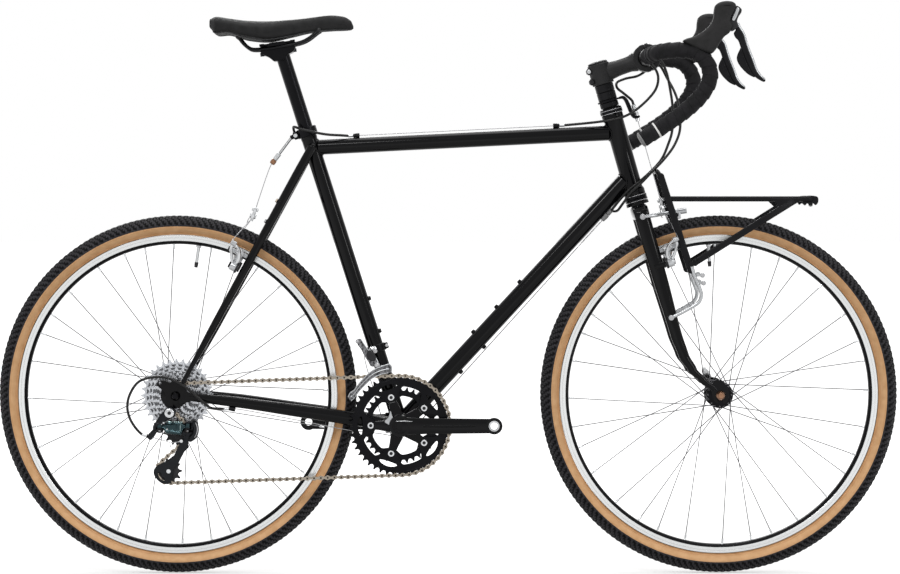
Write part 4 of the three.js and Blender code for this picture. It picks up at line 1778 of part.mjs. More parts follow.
function makeFrontBrakeCable() {
  const top = frontHangerTop.clone().addScaledVector(steerUp, ADJUSTER_LENGTH);
  const adjuster = rod(frontHangerTop, top, ADJUSTER_RADIUS, SMALL_ROUND);
  const tips = [RIGHT, LEFT].map((side) => brakeTip(side, frontArmFoot(side), steerForward, steerUp));
  const yoke = onSteering(hangerFoot, 0, FRONT_BOSS_PLACE + ARM_RISE + YOKE_RISE);
  return join(
    housing(routed(FRONT_BRAKE_HOUSING, [], [lead(top, steerUp)])),
    straightHousing(lead(top, steerUp), top),
    adjuster,
    wire(top, yoke),
    straddle(yoke, frontHangerTop.clone().sub(yoke), tips),
  );
}

function downTubeStop(side) {
  return bracketAxis.clone().addScaledVector(downTubeAlong, DOWN_TUBE_STOP_PLACE)
    .addScaledVector(downTubeUp, CABLE_STOP_SINK - DOWN_TUBE_RADIUS - CABLE_STOP_RADIUS)
    .add(at(0, side * CABLE_PAIR_HALF_SPACING, 0));
}

function makeRearShiftCable() {
  const front = stopFace(downTubeStop(RIGHT), downTubeAlong);
  const rear = at(...CHAINSTAY_STOP_PLACE).add(at(-CABLE_STOP_LENGTH / 2 - CLEARANCE, 0, 0));
  const stopLead = lead(at(...CHAINSTAY_STOP_PLACE), at(1, 0, 0));
  const barrel = at(wheelCentre(BARREL_OFFSET)[0], bracketPivot.y, wheelCentre(BARREL_OFFSET)[1]);
  const entry = at(Math.cos(CABLE_ENTRY), 0, -Math.sin(CABLE_ENTRY));
  const end = barrel.clone().addScaledVector(entry, -BARREL_LENGTH / 2 - CLEARANCE);
  return join(
    housing(routed(REAR_SHIFT_FRONT_HOUSING, [], [lead(front, downTubeAlong)])),
    straightHousing(lead(front, downTubeAlong), front),
    wire(front, at(...REAR_SHIFT_WIRE[0])),
    cord(routed(REAR_SHIFT_WIRE, [], [stopLead]), WIRE_RADIUS, WIRE_SIDES, CORD_STEP),
    wire(stopLead, rear),
    straightHousing(rear, lead(rear, at(-1, 0, 0))),
    housing(routed(REAR_SHIFT_HOUSING, [lead(rear, at(-1, 0, 0))], [lead(end, entry.clone().negate())])),
    straightHousing(lead(end, entry.clone().negate()), end),
  );
}

function makeFrontShiftCable() {
  const front = stopFace(downTubeStop(LEFT), downTubeAlong);
  return join(
    housing(routed(FRONT_SHIFT_FRONT_HOUSING, [], [lead(front, downTubeAlong)])),
    straightHousing(lead(front, downTubeAlong), front),
    wire(front, at(...FRONT_SHIFT_WIRE[0])),
    cord(routed(FRONT_SHIFT_WIRE), WIRE_RADIUS, WIRE_SIDES, CORD_STEP),
  );
}

// Assembly

addPart('head_tube', makeHeadTube(), FRAME_BLACK);
addPart('top_tube', makeTopTube(), FRAME_BLACK);
addPart('down_tube', makeDownTube(), FRAME_BLACK);
addPart('seat_tube', makeSeatTube(), FRAME_BLACK);
addPart('chainstays', makeChainstays(), FRAME_BLACK);
addPart('seatstays', makeSeatstays(), FRAME_BLACK);
addPart('bottom_bracket', makeBottomBracket(), DARK_METAL);
addPart('seat_collar', makeSeatCollar(), MATTE_BLACK);
addPart('headset_lower_cup', headsetRing(HEAD_BOTTOM - CLEARANCE - LOWER_CUP_HEIGHT, LOWER_CUP_HEIGHT,
    CUP_FLANGE_RADIUS), MATTE_BLACK);
addPart('headset_upper_cup', headsetRing(HEAD_TOP + CLEARANCE, UPPER_CUP_HEIGHT, CUP_FLANGE_RADIUS),
    MATTE_BLACK);
addPart('fork', makeFork(), FRAME_BLACK);
addPart('headset_spacers', makeSpacers(), MATTE_BLACK);
addPart('stem', makeStem(), MATTE_BLACK);
addPart('handlebar', makeHandlebar(), MATTE_BLACK);
addPart('seatpost', makeSeatpost(), MATTE_BLACK);
addPart('saddle_rails', makeSaddleRails(), DARK_METAL);
addPart('saddle', makeSaddle(), MATTE_BLACK);
addPart('right_crank', makeRightCrank(), MATTE_BLACK);
addPart('left_crank', makeLeftCrank(), MATTE_BLACK);
addPart('outer_chainring', chainring(OUTER_RING_TEETH, RING_PLANE, BOLT_CIRCLE_RADIUS - RING_BOLT_HEAD,
    true), MATTE_BLACK);
addPart('inner_chainring', chainring(INNER_RING_TEETH, RING_PLANE - RING_GAP,
    BOLT_CIRCLE_RADIUS - RING_BOLT_HEAD, false), MATTE_BLACK);
addPart('chain', makeChain(), CHAIN_METAL);
addPart('cassette', makeCassette(), SILVER);
addPart('front_derailleur_clamp', makeFrontClamp(), SILVER);
addPart('front_derailleur_cage', makeFrontCage(), SILVER);
addPart('rear_derailleur_bracket', makeDerailleurBracket(), MATTE_BLACK);
addPart('rear_derailleur_link', makeDerailleurLink(), DARK_METAL);
addPart('rear_derailleur_knuckle', makeDerailleurKnuckle(), DARK_METAL);
addPart('rear_derailleur_cage', makeDerailleurCage(), MATTE_BLACK);
addPart('guide_pulley', pulley(GUIDE_PULLEY), RUBBER_BLACK);
addPart('tension_pulley', pulley(TENSION_PULLEY), RUBBER_BLACK);
addPart('front_rack', makeRack(), MATTE_BLACK);
addPart('rear_brake_cable', makeRearBrakeCable(), RUBBER_BLACK);
addPart('front_brake_cable', makeFrontBrakeCable(), RUBBER_BLACK);
addPart('rear_shift_cable', makeRearShiftCable(), RUBBER_BLACK);
addPart('front_shift_cable', makeFrontShiftCable(), RUBBER_BLACK);

for (const [side, word] of [[RIGHT, 'right'], [LEFT, 'left']]) {
  addPart(`${word}_bar_tape`, makeTape(side), RUBBER_BLACK);
  addPart(`${word}_lever_bracket`, makeLeverBracket(side), RUBBER_BLACK);
  addPart(`${word}_lever_pivot`, makeLeverPivot(side), SILVER);
  addPart(`${word}_brake_lever`, makeBrakeLever(side), SILVER);
  addPart(`${word}_shift_paddle`, makePaddle(side), DARK_METAL);
  addPart(`front_${word}_brake_arm`, frontArm(side), SILVER);
  addPart(`rear_${word}_brake_arm`, rearArm(side), SILVER);
}

for (const [word, axle, spacing, flanges, shell, lever] of [
  ['rear', rearAxle, REAR_SPACING, REAR_FLANGES, REAR_SHELL_RADIUS, at(-0.6, 0, 0.8)],
  ['front', frontAxle, FRONT_SPACING, FRONT_FLANGES, FRONT_SHELL_RADIUS, at(-0.45, 0, 0.89)]]) {
  const wheel = new THREE.Group();
  wheel.position.copy(axle);
  group.add(wheel);
  const shoulder = OVERRUN;
  const hubEnd = spacing / 2 - shoulder - RUNNING_GAP;
  const cassetteEnd = -SMALL_SPROCKET_PLANE + SPROCKETS.length * SPROCKET_STEP;
  const hubStart = word === 'rear' ? cassetteEnd + RUNNING_GAP : -hubEnd;
  addPart(`${word}_tyre`, makeTyre(), RUBBER_BLACK, wheel);
  addPart(`${word}_rim`, makeRim(), SILVER, wheel);
  addPart(`${word}_hub`, makeHub(flanges, shell, [hubStart, hubEnd]), SILVER, wheel);
  addPart(`${word}_axle`, makeAxle(spacing, word === 'rear' ? RUNNING_GAP * FREEHUB_GAPS : shoulder),
      DARK_METAL, wheel);
  addPart(`${word}_quick_release_lever`, makeQuickRelease(spacing, lever.normalize()), SILVER, wheel);
}

export default group;
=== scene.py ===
"""The touring bicycle's looks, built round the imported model. Lengths are millimetres until a mesh is made."""

from math import asin, atan2, cos, hypot, pi, radians, sin, sqrt

import bmesh
import bpy
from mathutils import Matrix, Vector, noise
from mathutils.geometry import tessellate_polygon


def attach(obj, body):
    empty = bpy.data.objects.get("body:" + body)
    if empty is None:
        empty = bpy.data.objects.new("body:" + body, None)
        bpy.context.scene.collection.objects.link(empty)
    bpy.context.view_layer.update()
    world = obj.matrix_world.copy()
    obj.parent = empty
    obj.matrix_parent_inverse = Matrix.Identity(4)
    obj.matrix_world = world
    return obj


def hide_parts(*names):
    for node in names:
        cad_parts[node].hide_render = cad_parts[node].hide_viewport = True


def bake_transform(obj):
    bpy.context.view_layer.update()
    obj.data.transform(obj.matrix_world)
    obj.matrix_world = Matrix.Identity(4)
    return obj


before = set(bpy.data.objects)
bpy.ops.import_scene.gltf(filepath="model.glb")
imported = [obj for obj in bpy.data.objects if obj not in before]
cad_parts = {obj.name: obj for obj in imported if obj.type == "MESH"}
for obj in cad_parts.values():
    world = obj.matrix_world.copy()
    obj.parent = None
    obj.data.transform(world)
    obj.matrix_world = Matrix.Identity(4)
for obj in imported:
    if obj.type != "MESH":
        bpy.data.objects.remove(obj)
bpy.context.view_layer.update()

# Driving sizes of the bicycle, in millimetres

MM = 0.001
WHEELBASE, WHEEL_RADIUS = 1015, 336
BRACKET_X, BRACKET_HEIGHT = -90, 279.5
SEAT_ANGLE, HEAD_TILT = radians(72.3), radians(15.95)
FORK_RAKE = 48.5
HEAD_BOTTOM, HEAD_TOP = 402, 560.5
TOP_TUBE_ON_SEAT, TOP_TUBE_ON_STEER, DOWN_TUBE_ON_STEER = 545, 524.5, 440
TOP_TUBE_RADIUS, DOWN_TUBE_RADIUS, SEAT_TUBE_RADIUS, HEAD_TUBE_RADIUS = 14.3, 15.9, 14.8, 18
SHELL_RADIUS, SHELL_HALF = 20, 34
CRANK_LENGTH, OUTER_TEETH, INNER_TEETH = 175, 46, 34
OUTER_PLANE, INNER_PLANE, SPROCKET_PLANE = -47, -41, -62
BAR_HALF, BAR_REACH, BAR_DROP = 220, 104, 157

# Directions and places that follow from them

RIGHT, LEFT = -1, 1
UP, SIDE, FORWARD = Vector((0, 0, 1)), Vector((0, 1, 0)), Vector((1, 0, 0))
REAR_AXLE = Vector((-WHEELBASE / 2, 0, WHEEL_RADIUS))
FRONT_AXLE = Vector((WHEELBASE / 2, 0, WHEEL_RADIUS))
BRACKET = Vector((BRACKET_X, 0, BRACKET_HEIGHT))
SEAT_UP = Vector((-cos(SEAT_ANGLE), 0, sin(SEAT_ANGLE)))
SEAT_FORWARD = Vector((sin(SEAT_ANGLE), 0, cos(SEAT_ANGLE)))
STEER_UP = Vector((-sin(HEAD_TILT), 0, cos(HEAD_TILT)))
STEER_FORWARD = Vector((cos(HEAD_TILT), 0, sin(HEAD_TILT)))
STEER_BASE = FRONT_AXLE - STEER_FORWARD * FORK_RAKE


def on_seat(along, forward=0, y=0):
    return BRACKET + SEAT_UP * along + SEAT_FORWARD * forward + SIDE * y


def on_steer(forward, y, along):
    return STEER_BASE + STEER_FORWARD * forward + SIDE * y + STEER_UP * along


def mix(a, b, share):
    return a + (b - a) * share


def turns(count):
    """Even angles of one full turn."""
    return [2 * pi * i / count for i in range(count)]


def outward(angle):
    """The direction at an angle in the plane of the wheels."""
    return Vector((cos(angle), 0, sin(angle)))


def shifted(points, x, z):
    """Points given from a centre, as points of the bicycle."""
    return [(x + right, z + rise) for right, rise in points]


# Mesh helpers


class Shape:
    """Faces that are gathered into one piece, each with the number of its material."""

    def __init__(self):
        self.points, self.faces, self.looks = [], [], []

    def add(self, points, faces, look=0):
        base = len(self.points)
        self.points += [Vector(p) for p in points]
        self.faces += [tuple(base + i for i in face) for face in faces]
        self.looks += look if isinstance(look, list) else [look] * len(faces)


def loft(shape, rings, look=0, caps=True, closed=False):
    count = len(rings[0])
    faces = []
    spans = len(rings) if closed else len(rings) - 1
    for i in range(spans):
        a, b = i * count, ((i + 1) % len(rings)) * count
        faces += [(a + k, a + (k + 1) % count, b + (k + 1) % count, b + k) for k in range(count)]
    if caps and not closed:
        last = (len(rings) - 1) * count
        if caps == "cut":
            # A hollowed outline is cut into triangles, which stay inside it
            for start, ring, turned in ((0, rings[0], True), (last, rings[-1], False)):
                for corner in tessellate_polygon([ring]):
                    normal = (ring[corner[1]] - ring[corner[0]]).cross(ring[corner[2]] - ring[corner[0]])
                    whole = sum((ring[i - 1].cross(ring[i]) for i in range(count)), Vector())
                    face = tuple(start + k for k in corner)
                    faces.append(face[::-1] if (normal.dot(whole) < 0) != turned else face)
        else:
            faces += [tuple(range(count))[::-1], tuple(range(last, last + count))]
    shape.add([p for ring in rings for p in ring], faces, look)


def oval(centre, across, a, up, b, sides, power=1):
    """A ring of points; a power below 1 squares its corners."""
    ring = []
    for angle in turns(sides):
        c, s = cos(angle), sin(angle)
        c, s = abs(c) ** power * (1 if c > 0 else -1), abs(s) ** power * (1 if s > 0 else -1)
        ring.append(centre + across * (a * c) + up * (b * s))
    return ring


def frames(points, closed=False):
    """The heading, across and up directions at each point, without twist."""
    count = len(points)
    made = []
    heading = across = None
    for i in range(count):
        before = points[(i - 1) % count] if closed or i else points[0]
        after = points[(i + 1) % count] if closed or i < count - 1 else points[-1]
        new = (after - before).normalized()
        if heading is None:
            across = UP.cross(new)
            across = across.normalized() if across.length > 0.1 else SIDE.copy()
        else:
            across = heading.rotation_difference(new) @ across
        across = (across - new * across.dot(new)).normalized()
        heading = new
        made.append((new, across, new.cross(across)))
    return made


def tube(shape, points, radius, sides=16, look=0, caps=True, closed=False):
    points = [Vector(p) for p in points]
    rings = []
    for i, (_, across, up) in enumerate(frames(points, closed)):
        r = radius[i] if isinstance(radius, (list, tuple)) else radius
        rings.append(oval(points[i], across, r, up, r, sides))
    loft(shape, rings, look, caps, closed)


def spline(points, step=4.0, closed=False):
    """A centripetal curve through the points, as points about one step apart."""
    pts = [Vector(p) for p in points]
    pts = [pts[-1]] + pts + pts[:2] if closed else [pts[0] * 2 - pts[1]] + pts + [pts[-1] * 2 - pts[-2]]
    made = []
    for i in range(1, len(pts) - 2):
        p0, p1, p2, p3 = pts[i - 1 : i + 3]
        t1 = sqrt((p1 - p0).length)
        t2 = t1 + sqrt((p2 - p1).length)
        t3 = t2 + sqrt((p3 - p2).length)
        count = max(int((p2 - p1).length / step), 1)
        for k in range(count):
            t = mix(t1, t2, k / count)
            a1, a2 = mix(p0, p1, t / t1), mix(p1, p2, (t - t1) / (t2 - t1))
            a3 = mix(p2, p3, (t - t2) / (t3 - t2))
            b1, b2 = mix(a1, a2, t / t2), mix(a2, a3, (t - t1) / (t3 - t1))
            made.append(mix(b1, b2, (t - t1) / (t2 - t1)))
    if not closed:
        made.append(pts[-2])
    return made


def smooth_outline(points, step=3.0):
    return [(p.x, p.z) for p in spline([(x, 0, z) for x, z in points], step, True)]


def lathe(shape, profile, origin, axis, sides=48, look=0):
    """Turns (radius, height) pairs about an axis. A profile that ends where it starts makes a ring."""
    axis = Vector(axis).normalized()
    across = axis.cross(UP if abs(axis.z) < 0.9 else FORWARD).normalized()
    other = axis.cross(across)
    closed = profile[0] == profile[-1]
    rows = profile[:-1] if closed else profile
    looks = look if isinstance(look, list) else [look] * len(rows)
    points, faces, marks, starts = [], [], [], []
    for r, h in rows:
        starts.append(len(points))
        middle = Vector(origin) + axis * h
        if r < 1e-6:
            points.append(middle)
        else:
            for angle in turns(sides):
                points.append(middle + across * (r * cos(angle)) + other * (r * sin(angle)))
    for j in range(len(rows) if closed else len(rows) - 1):
        k = (j + 1) % len(rows)
        for i in range(sides):
            n = (i + 1) % sides
            a = [starts[j]] if rows[j][0] < 1e-6 else [starts[j] + i, starts[j] + n]
            b = [starts[k]] if rows[k][0] < 1e-6 else [starts[k] + n, starts[k] + i]
            if len(a) + len(b) > 2:
                faces.append(tuple(a + b))
                marks.append(looks[j])
    shape.add(points, faces, marks)


def rod(shape, a, b, radius, end_radius=None, sides=20, look=0, chamfer=0.4):
    a, b = Vector(a), Vector(b)
    end_radius = radius if end_radius is None else end_radius
    length = (b - a).length
    c = min(chamfer, radius * 0.4, end_radius * 0.4, length * 0.3)
    profile = [
        (0, 0), (radius - c, 0), (radius, c), (end_radius, length - c), (end_radius - c, length), (0, length)
    ]
    lathe(shape, profile, a, b - a, sides, look)


def hollow_rod(shape, a, b, outer, inner, sides=32, look=0, chamfer=0.4):
    a, b = Vector(a), Vector(b)
    length = (b - a).length
    c = min(chamfer, (outer - inner) * 0.3, length * 0.3)
    profile = [
        (inner, 0), (outer - c, 0), (outer, c), (outer, length - c), (outer - c, length), (inner, length),
        (inner, 0),
    ]
    lathe(shape, profile, a, b - a, sides, look)


def ball(shape, centre, radius, look=0, rows=8, sides=14, squash=1.0, axis=UP):
    profile = [(radius * sin(pi * i / rows), -radius * cos(pi * i / rows) * squash) for i in range(rows + 1)]
    profile[0], profile[-1] = (0, profile[0][1]), (0, profile[-1][1])
    lathe(shape, profile, centre, axis, sides, look)


def block(shape, centre, x_axis, a, y_axis, b, z_axis, c, look=0, chamfer=0.8):
    """A block with full sizes a, b and c and chamfered edges along its z axis."""
    x, y, z = (Vector(v).normalized() for v in (x_axis, y_axis, z_axis))
    centre = Vector(centre)
    k = min(chamfer, a * 0.3, b * 0.3, c * 0.3)
    rings = []
    for height, inset in ((-c / 2, k), (-c / 2 + k, 0), (c / 2 - k, 0), (c / 2, k)):
        ring = []
        for sx, sy in ((1, 1), (-1, 1), (-1, -1), (1, -1)):
            u, v = a / 2 - inset, b / 2 - inset
            corner = [(sx * u, sy * (v - k)), (sx * (u - k), sy * v)]
            if sx * sy < 0:
                corner.reverse()
            ring += [centre + x * p + y * q + z * height for p, q in corner]
        rings.append(ring)
    loft(shape, rings, look)


def arc(cx, cz, radius, start, end, steps):
    angles = [mix(start, end, i / steps) for i in range(steps + 1)]
    return [(cx + radius * cos(angle), cz + radius * sin(angle)) for angle in angles]


def circle(cx, cz, radius, steps=24):
    return arc(cx, cz, radius, 0, 2 * pi, steps)[:-1]


def plate(shape, outlines, centre, width, look=0, bevel=0.5, x_axis=FORWARD, z_axis=UP):
    """Outlines in the plane of two axes, filled with their holes and given a thickness along the normal."""
    curve = bpy.data.curves.new("plate", "CURVE")
    curve.dimensions, curve.fill_mode = "2D", "BOTH"
    curve.extrude, curve.bevel_depth, curve.bevel_resolution = max(width / 2 - bevel, 0.001), bevel, 0
    curve.offset = -bevel
    for outline in outlines:
        line = curve.splines.new("POLY")
        line.points.add(len(outline) - 1)
        for i, (x, z) in enumerate(outline):
            line.points[i].co = (x, z, 0, 1)
        line.use_cyclic_u = True
    holder = bpy.data.objects.new("plate", curve)
    bpy.context.scene.collection.objects.link(holder)
    bpy.context.view_layer.update()
    mesh = bpy.data.meshes.new_from_object(holder.evaluated_get(bpy.context.evaluated_depsgraph_get()))
    x, z = Vector(x_axis).normalized(), Vector(z_axis).normalized()
    normal = x.cross(z)
    work = bmesh.new()
    work.from_mesh(mesh)
    bmesh.ops.remove_doubles(work, verts=work.verts, dist=1e-4)
    work.verts.index_update()
    points = [Vector(centre) + x * v.co.x + z * v.co.y + normal * v.co.z for v in work.verts]
    shape.add(points, [tuple(v.index for v in f.verts) for f in work.faces], look)
    work.free()
    bpy.data.objects.remove(holder)
    bpy.data.curves.remove(curve)
    bpy.data.meshes.remove(mesh)


def rounded(points, radius, steps=4):
    """Rounds the corners of a closed outline."""
    made = []
    count = len(points)
    for i in range(count):
        a, b, c = Vector(points[i - 1]), Vector(points[i]), Vector(points[(i + 1) % count])
        reach = min(radius, (a - b).length * 0.45, (c - b).length * 0.45)
        p, q = b + (a - b).normalized() * reach, b + (c - b).normalized() * reach
        for k in range(steps + 1):
            t = k / steps
            s = p * (1 - t) ** 2 + b * (2 * t * (1 - t)) + q * t**2
            made.append((s.x, s.y))
    return made


def bolt(shape, centre, direction, radius, height, look=0, hex_radius=None):
    """A round bolt head with a six-sided socket, on a surface, with its head along the direction."""
    direction = Vector(direction).normalized()
    centre = Vector(centre)
    hexagon = hex_radius or radius * 0.5
    c = min(0.5, height * 0.25)
    side = direction.cross(UP if abs(direction.z) < 0.9 else FORWARD).normalized()
    other = direction.cross(side)

    def ring(r, h, corners=0):
        made = []
        for angle in turns(24):
            reach = r
            if corners:
                part = angle % (2 * pi / corners) - pi / corners
                reach = r * cos(pi / corners) / cos(part)
            made.append(centre + direction * h + side * (reach * cos(angle)) + other * (reach * sin(angle)))
        return made

    rings = [
        ring(radius, -0.5), ring(radius, height - c), ring(radius - c, height), ring(hexagon, height, 6),
        ring(hexagon, height * 0.4, 6),
    ]
    loft(shape, rings, look)


def weld(shape, start, along, radius, other_start, other_along, other_radius):
    """A weld bead round one tube where it meets another."""
    along, other_along = Vector(along).normalized(), Vector(other_along).normalized()
    first = along.cross(SIDE).normalized()
    flat = along - other_along * along.dot(other_along)
    steps, bead, ripple = 72, 1.9, 0.12
    path = []
    for angle in turns(steps):
        p = Vector(start) + first * (radius * cos(angle)) + SIDE * (radius * sin(angle))
        gap = p - Vector(other_start)
        gap -= other_along * gap.dot(other_along)
        # The line along the tube leaves the other tube at the larger root
        qa, qb, qc = flat.length_squared, 2 * flat.dot(gap), gap.length_squared - other_radius**2
        path.append(p + along * ((-qb + sqrt(max(qb * qb - 4 * qa * qc, 0))) / (2 * qa)))
    sizes = [bead * (1 + ripple * sin(i * 2.3)) for i in range(steps)]
    tube(shape, path, sizes, 8, 0, False, True)


def piece(name, shape, body, looks, replaces=(), slot=None, angle=38, sub=0):
    mesh = bpy.data.meshes.new(name)
    mesh.from_pydata([p * MM for p in shape.points], [], shape.faces)
    for look in looks:
        mesh.materials.append(look)
    mesh.polygons.foreach_set("material_index", shape.looks)
    work = bmesh.new()
    work.from_mesh(mesh)
    bmesh.ops.recalc_face_normals(work, faces=work.faces)
    work.to_mesh(mesh)
    work.free()
    mesh.polygons.foreach_set("use_smooth", [True] * len(mesh.polygons))
    mesh.set_sharp_from_angle(angle=radians(angle))
    thing = bpy.data.objects.new(name, mesh)
    bpy.context.scene.collection.objects.link(thing)
    if sub:
        fine = thing.modifiers.new("smooth", "SUBSURF")
        fine.levels = fine.render_levels = sub
    if body:
        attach(thing, body)
    if replaces:
        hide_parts(*replaces)
    return thing


# Materials


class Look:
    """A procedural material that is built up from a few steps. Sizes are metres."""

    def __init__(self, name, colour, rough, metal=0.0, **more):
        self.material = bpy.data.materials.new(name)
        self.material.use_nodes = True
        self.tree = self.material.node_tree
        self.shader = self.tree.nodes["Principled BSDF"]
        self.place = self.tree.nodes.new("ShaderNodeTexCoord").outputs["Object"]
        self.height = None
        self.set("Base Color", (*colour, 1))
        self.set("Roughness", rough)
        self.set("Metallic", metal)
        for key, value in more.items():
            self.set(key.replace("_", " "), value)

    def set(self, socket, value):
        self.shader.inputs[socket].default_value = value

    def node(self, kind, inputs=None, **settings):
        made = self.tree.nodes.new(kind)
        for key, value in settings.items():
            setattr(made, key, value)
        for key, value in (inputs or {}).items():
            if isinstance(value, bpy.types.NodeSocket):
                self.tree.links.new(value, made.inputs[key])
            else:
                made.inputs[key].default_value = value
        return made

    def math(self, kind, *values):
        return self.node("ShaderNodeMath", dict(enumerate(values)), operation=kind).outputs[0]

    def noise(self, scale, detail):
        inputs = {"Vector": self.place, "Scale": scale, "Detail": detail, "Roughness": 0.55}
        return self.node("ShaderNodeTexNoise", inputs).outputs["Fac"]

    def cells(self, scale):
        inputs = {"Vector": self.place, "Scale": scale}
        return self.node("ShaderNodeTexVoronoi", inputs, feature="F1").outputs["Distance"]

    def ranged(self, value, low, high, to_low, to_high):
        inputs = {0: value, 1: low, 2: high, 3: to_low, 4: to_high}
        return self.node("ShaderNodeMapRange", inputs).outputs[0]

    def roughness(self, value, low, high):
        self.tree.links.new(self.ranged(value, 0.3, 0.7, low, high), self.shader.inputs["Roughness"])
        return self

    def colours(self, value, low, high):
        mixed = self.node("ShaderNodeMix", {0: self.ranged(value, 0.35, 0.65, 0, 1)}, data_type="RGBA")
        mixed.inputs[6].default_value = (*low, 1)
        mixed.inputs[7].default_value = (*high, 1)
        self.tree.links.new(mixed.outputs[2], self.shader.inputs["Base Color"])
        return self

    def bump(self, value, distance, strength):
        inputs = {"Height": value, "Distance": distance, "Strength": strength}
        if self.height:
            inputs["Normal"] = self.height
        self.height = self.node("ShaderNodeBump", inputs).outputs[0]
        self.tree.links.new(self.height, self.shader.inputs["Normal"])
        return self

    def radius_round(self, centre):
        """The distance from an axle, across the bicycle's plane."""
        parts = self.node("ShaderNodeSeparateXYZ", {0: self.place}).outputs
        x = self.math("SUBTRACT", parts[0], centre.x * MM)
        z = self.math("SUBTRACT", parts[2], centre.z * MM)
        return self.math("SQRT", self.math("ADD", self.math("MULTIPLY", x, x), self.math("MULTIPLY", z, z)))


def gloss(name, colour, rough):
    """Smooth paint with a slight orange peel."""
    look = Look(name, colour, rough, Specular_IOR_Level=0.12)
    look.roughness(look.noise(9, 4), rough * 0.8, rough * 1.3)
    return look.bump(look.noise(900, 2), 0.00002, 0.25)


def metal(name, colour, rough):
    """Polished, blasted or anodised metal, with a fine grain and a little wear."""
    wear, grain = 0.25, 1500
    look = Look(name, colour, rough, 1.0)
    look.roughness(look.noise(grain * 0.12, 5), rough * (1 - wear), rough * (1 + wear))
    look.colours(look.noise(35, 4), tuple(c * 0.86 for c in colour), colour)
    return look.bump(look.noise(grain, 3), 0.00003, 0.35)


def stamped(name, low, high, rough, size=420):
    """Bright pressed steel, with darker colour painted into its small ramps and hollows where the bump dips, as
    painted dark reflections and shade.
    """
    look = Look(name, high, rough, 1.0)
    look.colours(look.noise(size, 2), low, high)
    look.roughness(look.noise(size * 0.5, 3), rough * 0.7, rough * 1.5)
    return look.bump(look.noise(size, 2), 0.0002, 0.6)


def soft(name, low, high, rough, grain, depth, shine=0.2):
    """Rubber, plastic, tape or cover: pebbled in cells and dull, and a little uneven in tone."""
    look = Look(name, high, rough, Specular_IOR_Level=shine)
    look.colours(look.noise(60, 5), low, high)
    look.roughness(look.noise(140, 3), rough * 0.9, min(rough * 1.08, 1))
    look.bump(look.cells(grain), depth, 0.6)
    return look.bump(look.noise(grain * 2.5, 3), depth * 0.5, 0.5)


def machined_track():
    """The rims' brake tracks, with fine turned rings round the axle that is nearer."""
    track = Look("machined rim track", (0.62, 0.63, 0.63), 0.3, 1.0)
    rings = []
    for centre in (REAR_AXLE, FRONT_AXLE):
        inputs = {"W": track.radius_round(centre), "Scale": 9000.0, "Detail": 2.0}
        rings.append(track.node("ShaderNodeTexNoise", inputs, noise_dimensions="1D").outputs["Fac"])
    x = track.node("ShaderNodeSeparateXYZ", {0: track.place}).outputs[0]
    grooves = track.node(
        "ShaderNodeMix", {0: track.math("GREATER_THAN", x, 0.0), 2: rings[0], 3: rings[1]}
    ).outputs[0]
    track.roughness(grooves, 0.18, 0.34)
    return track.bump(grooves, 0.00003, 0.5)


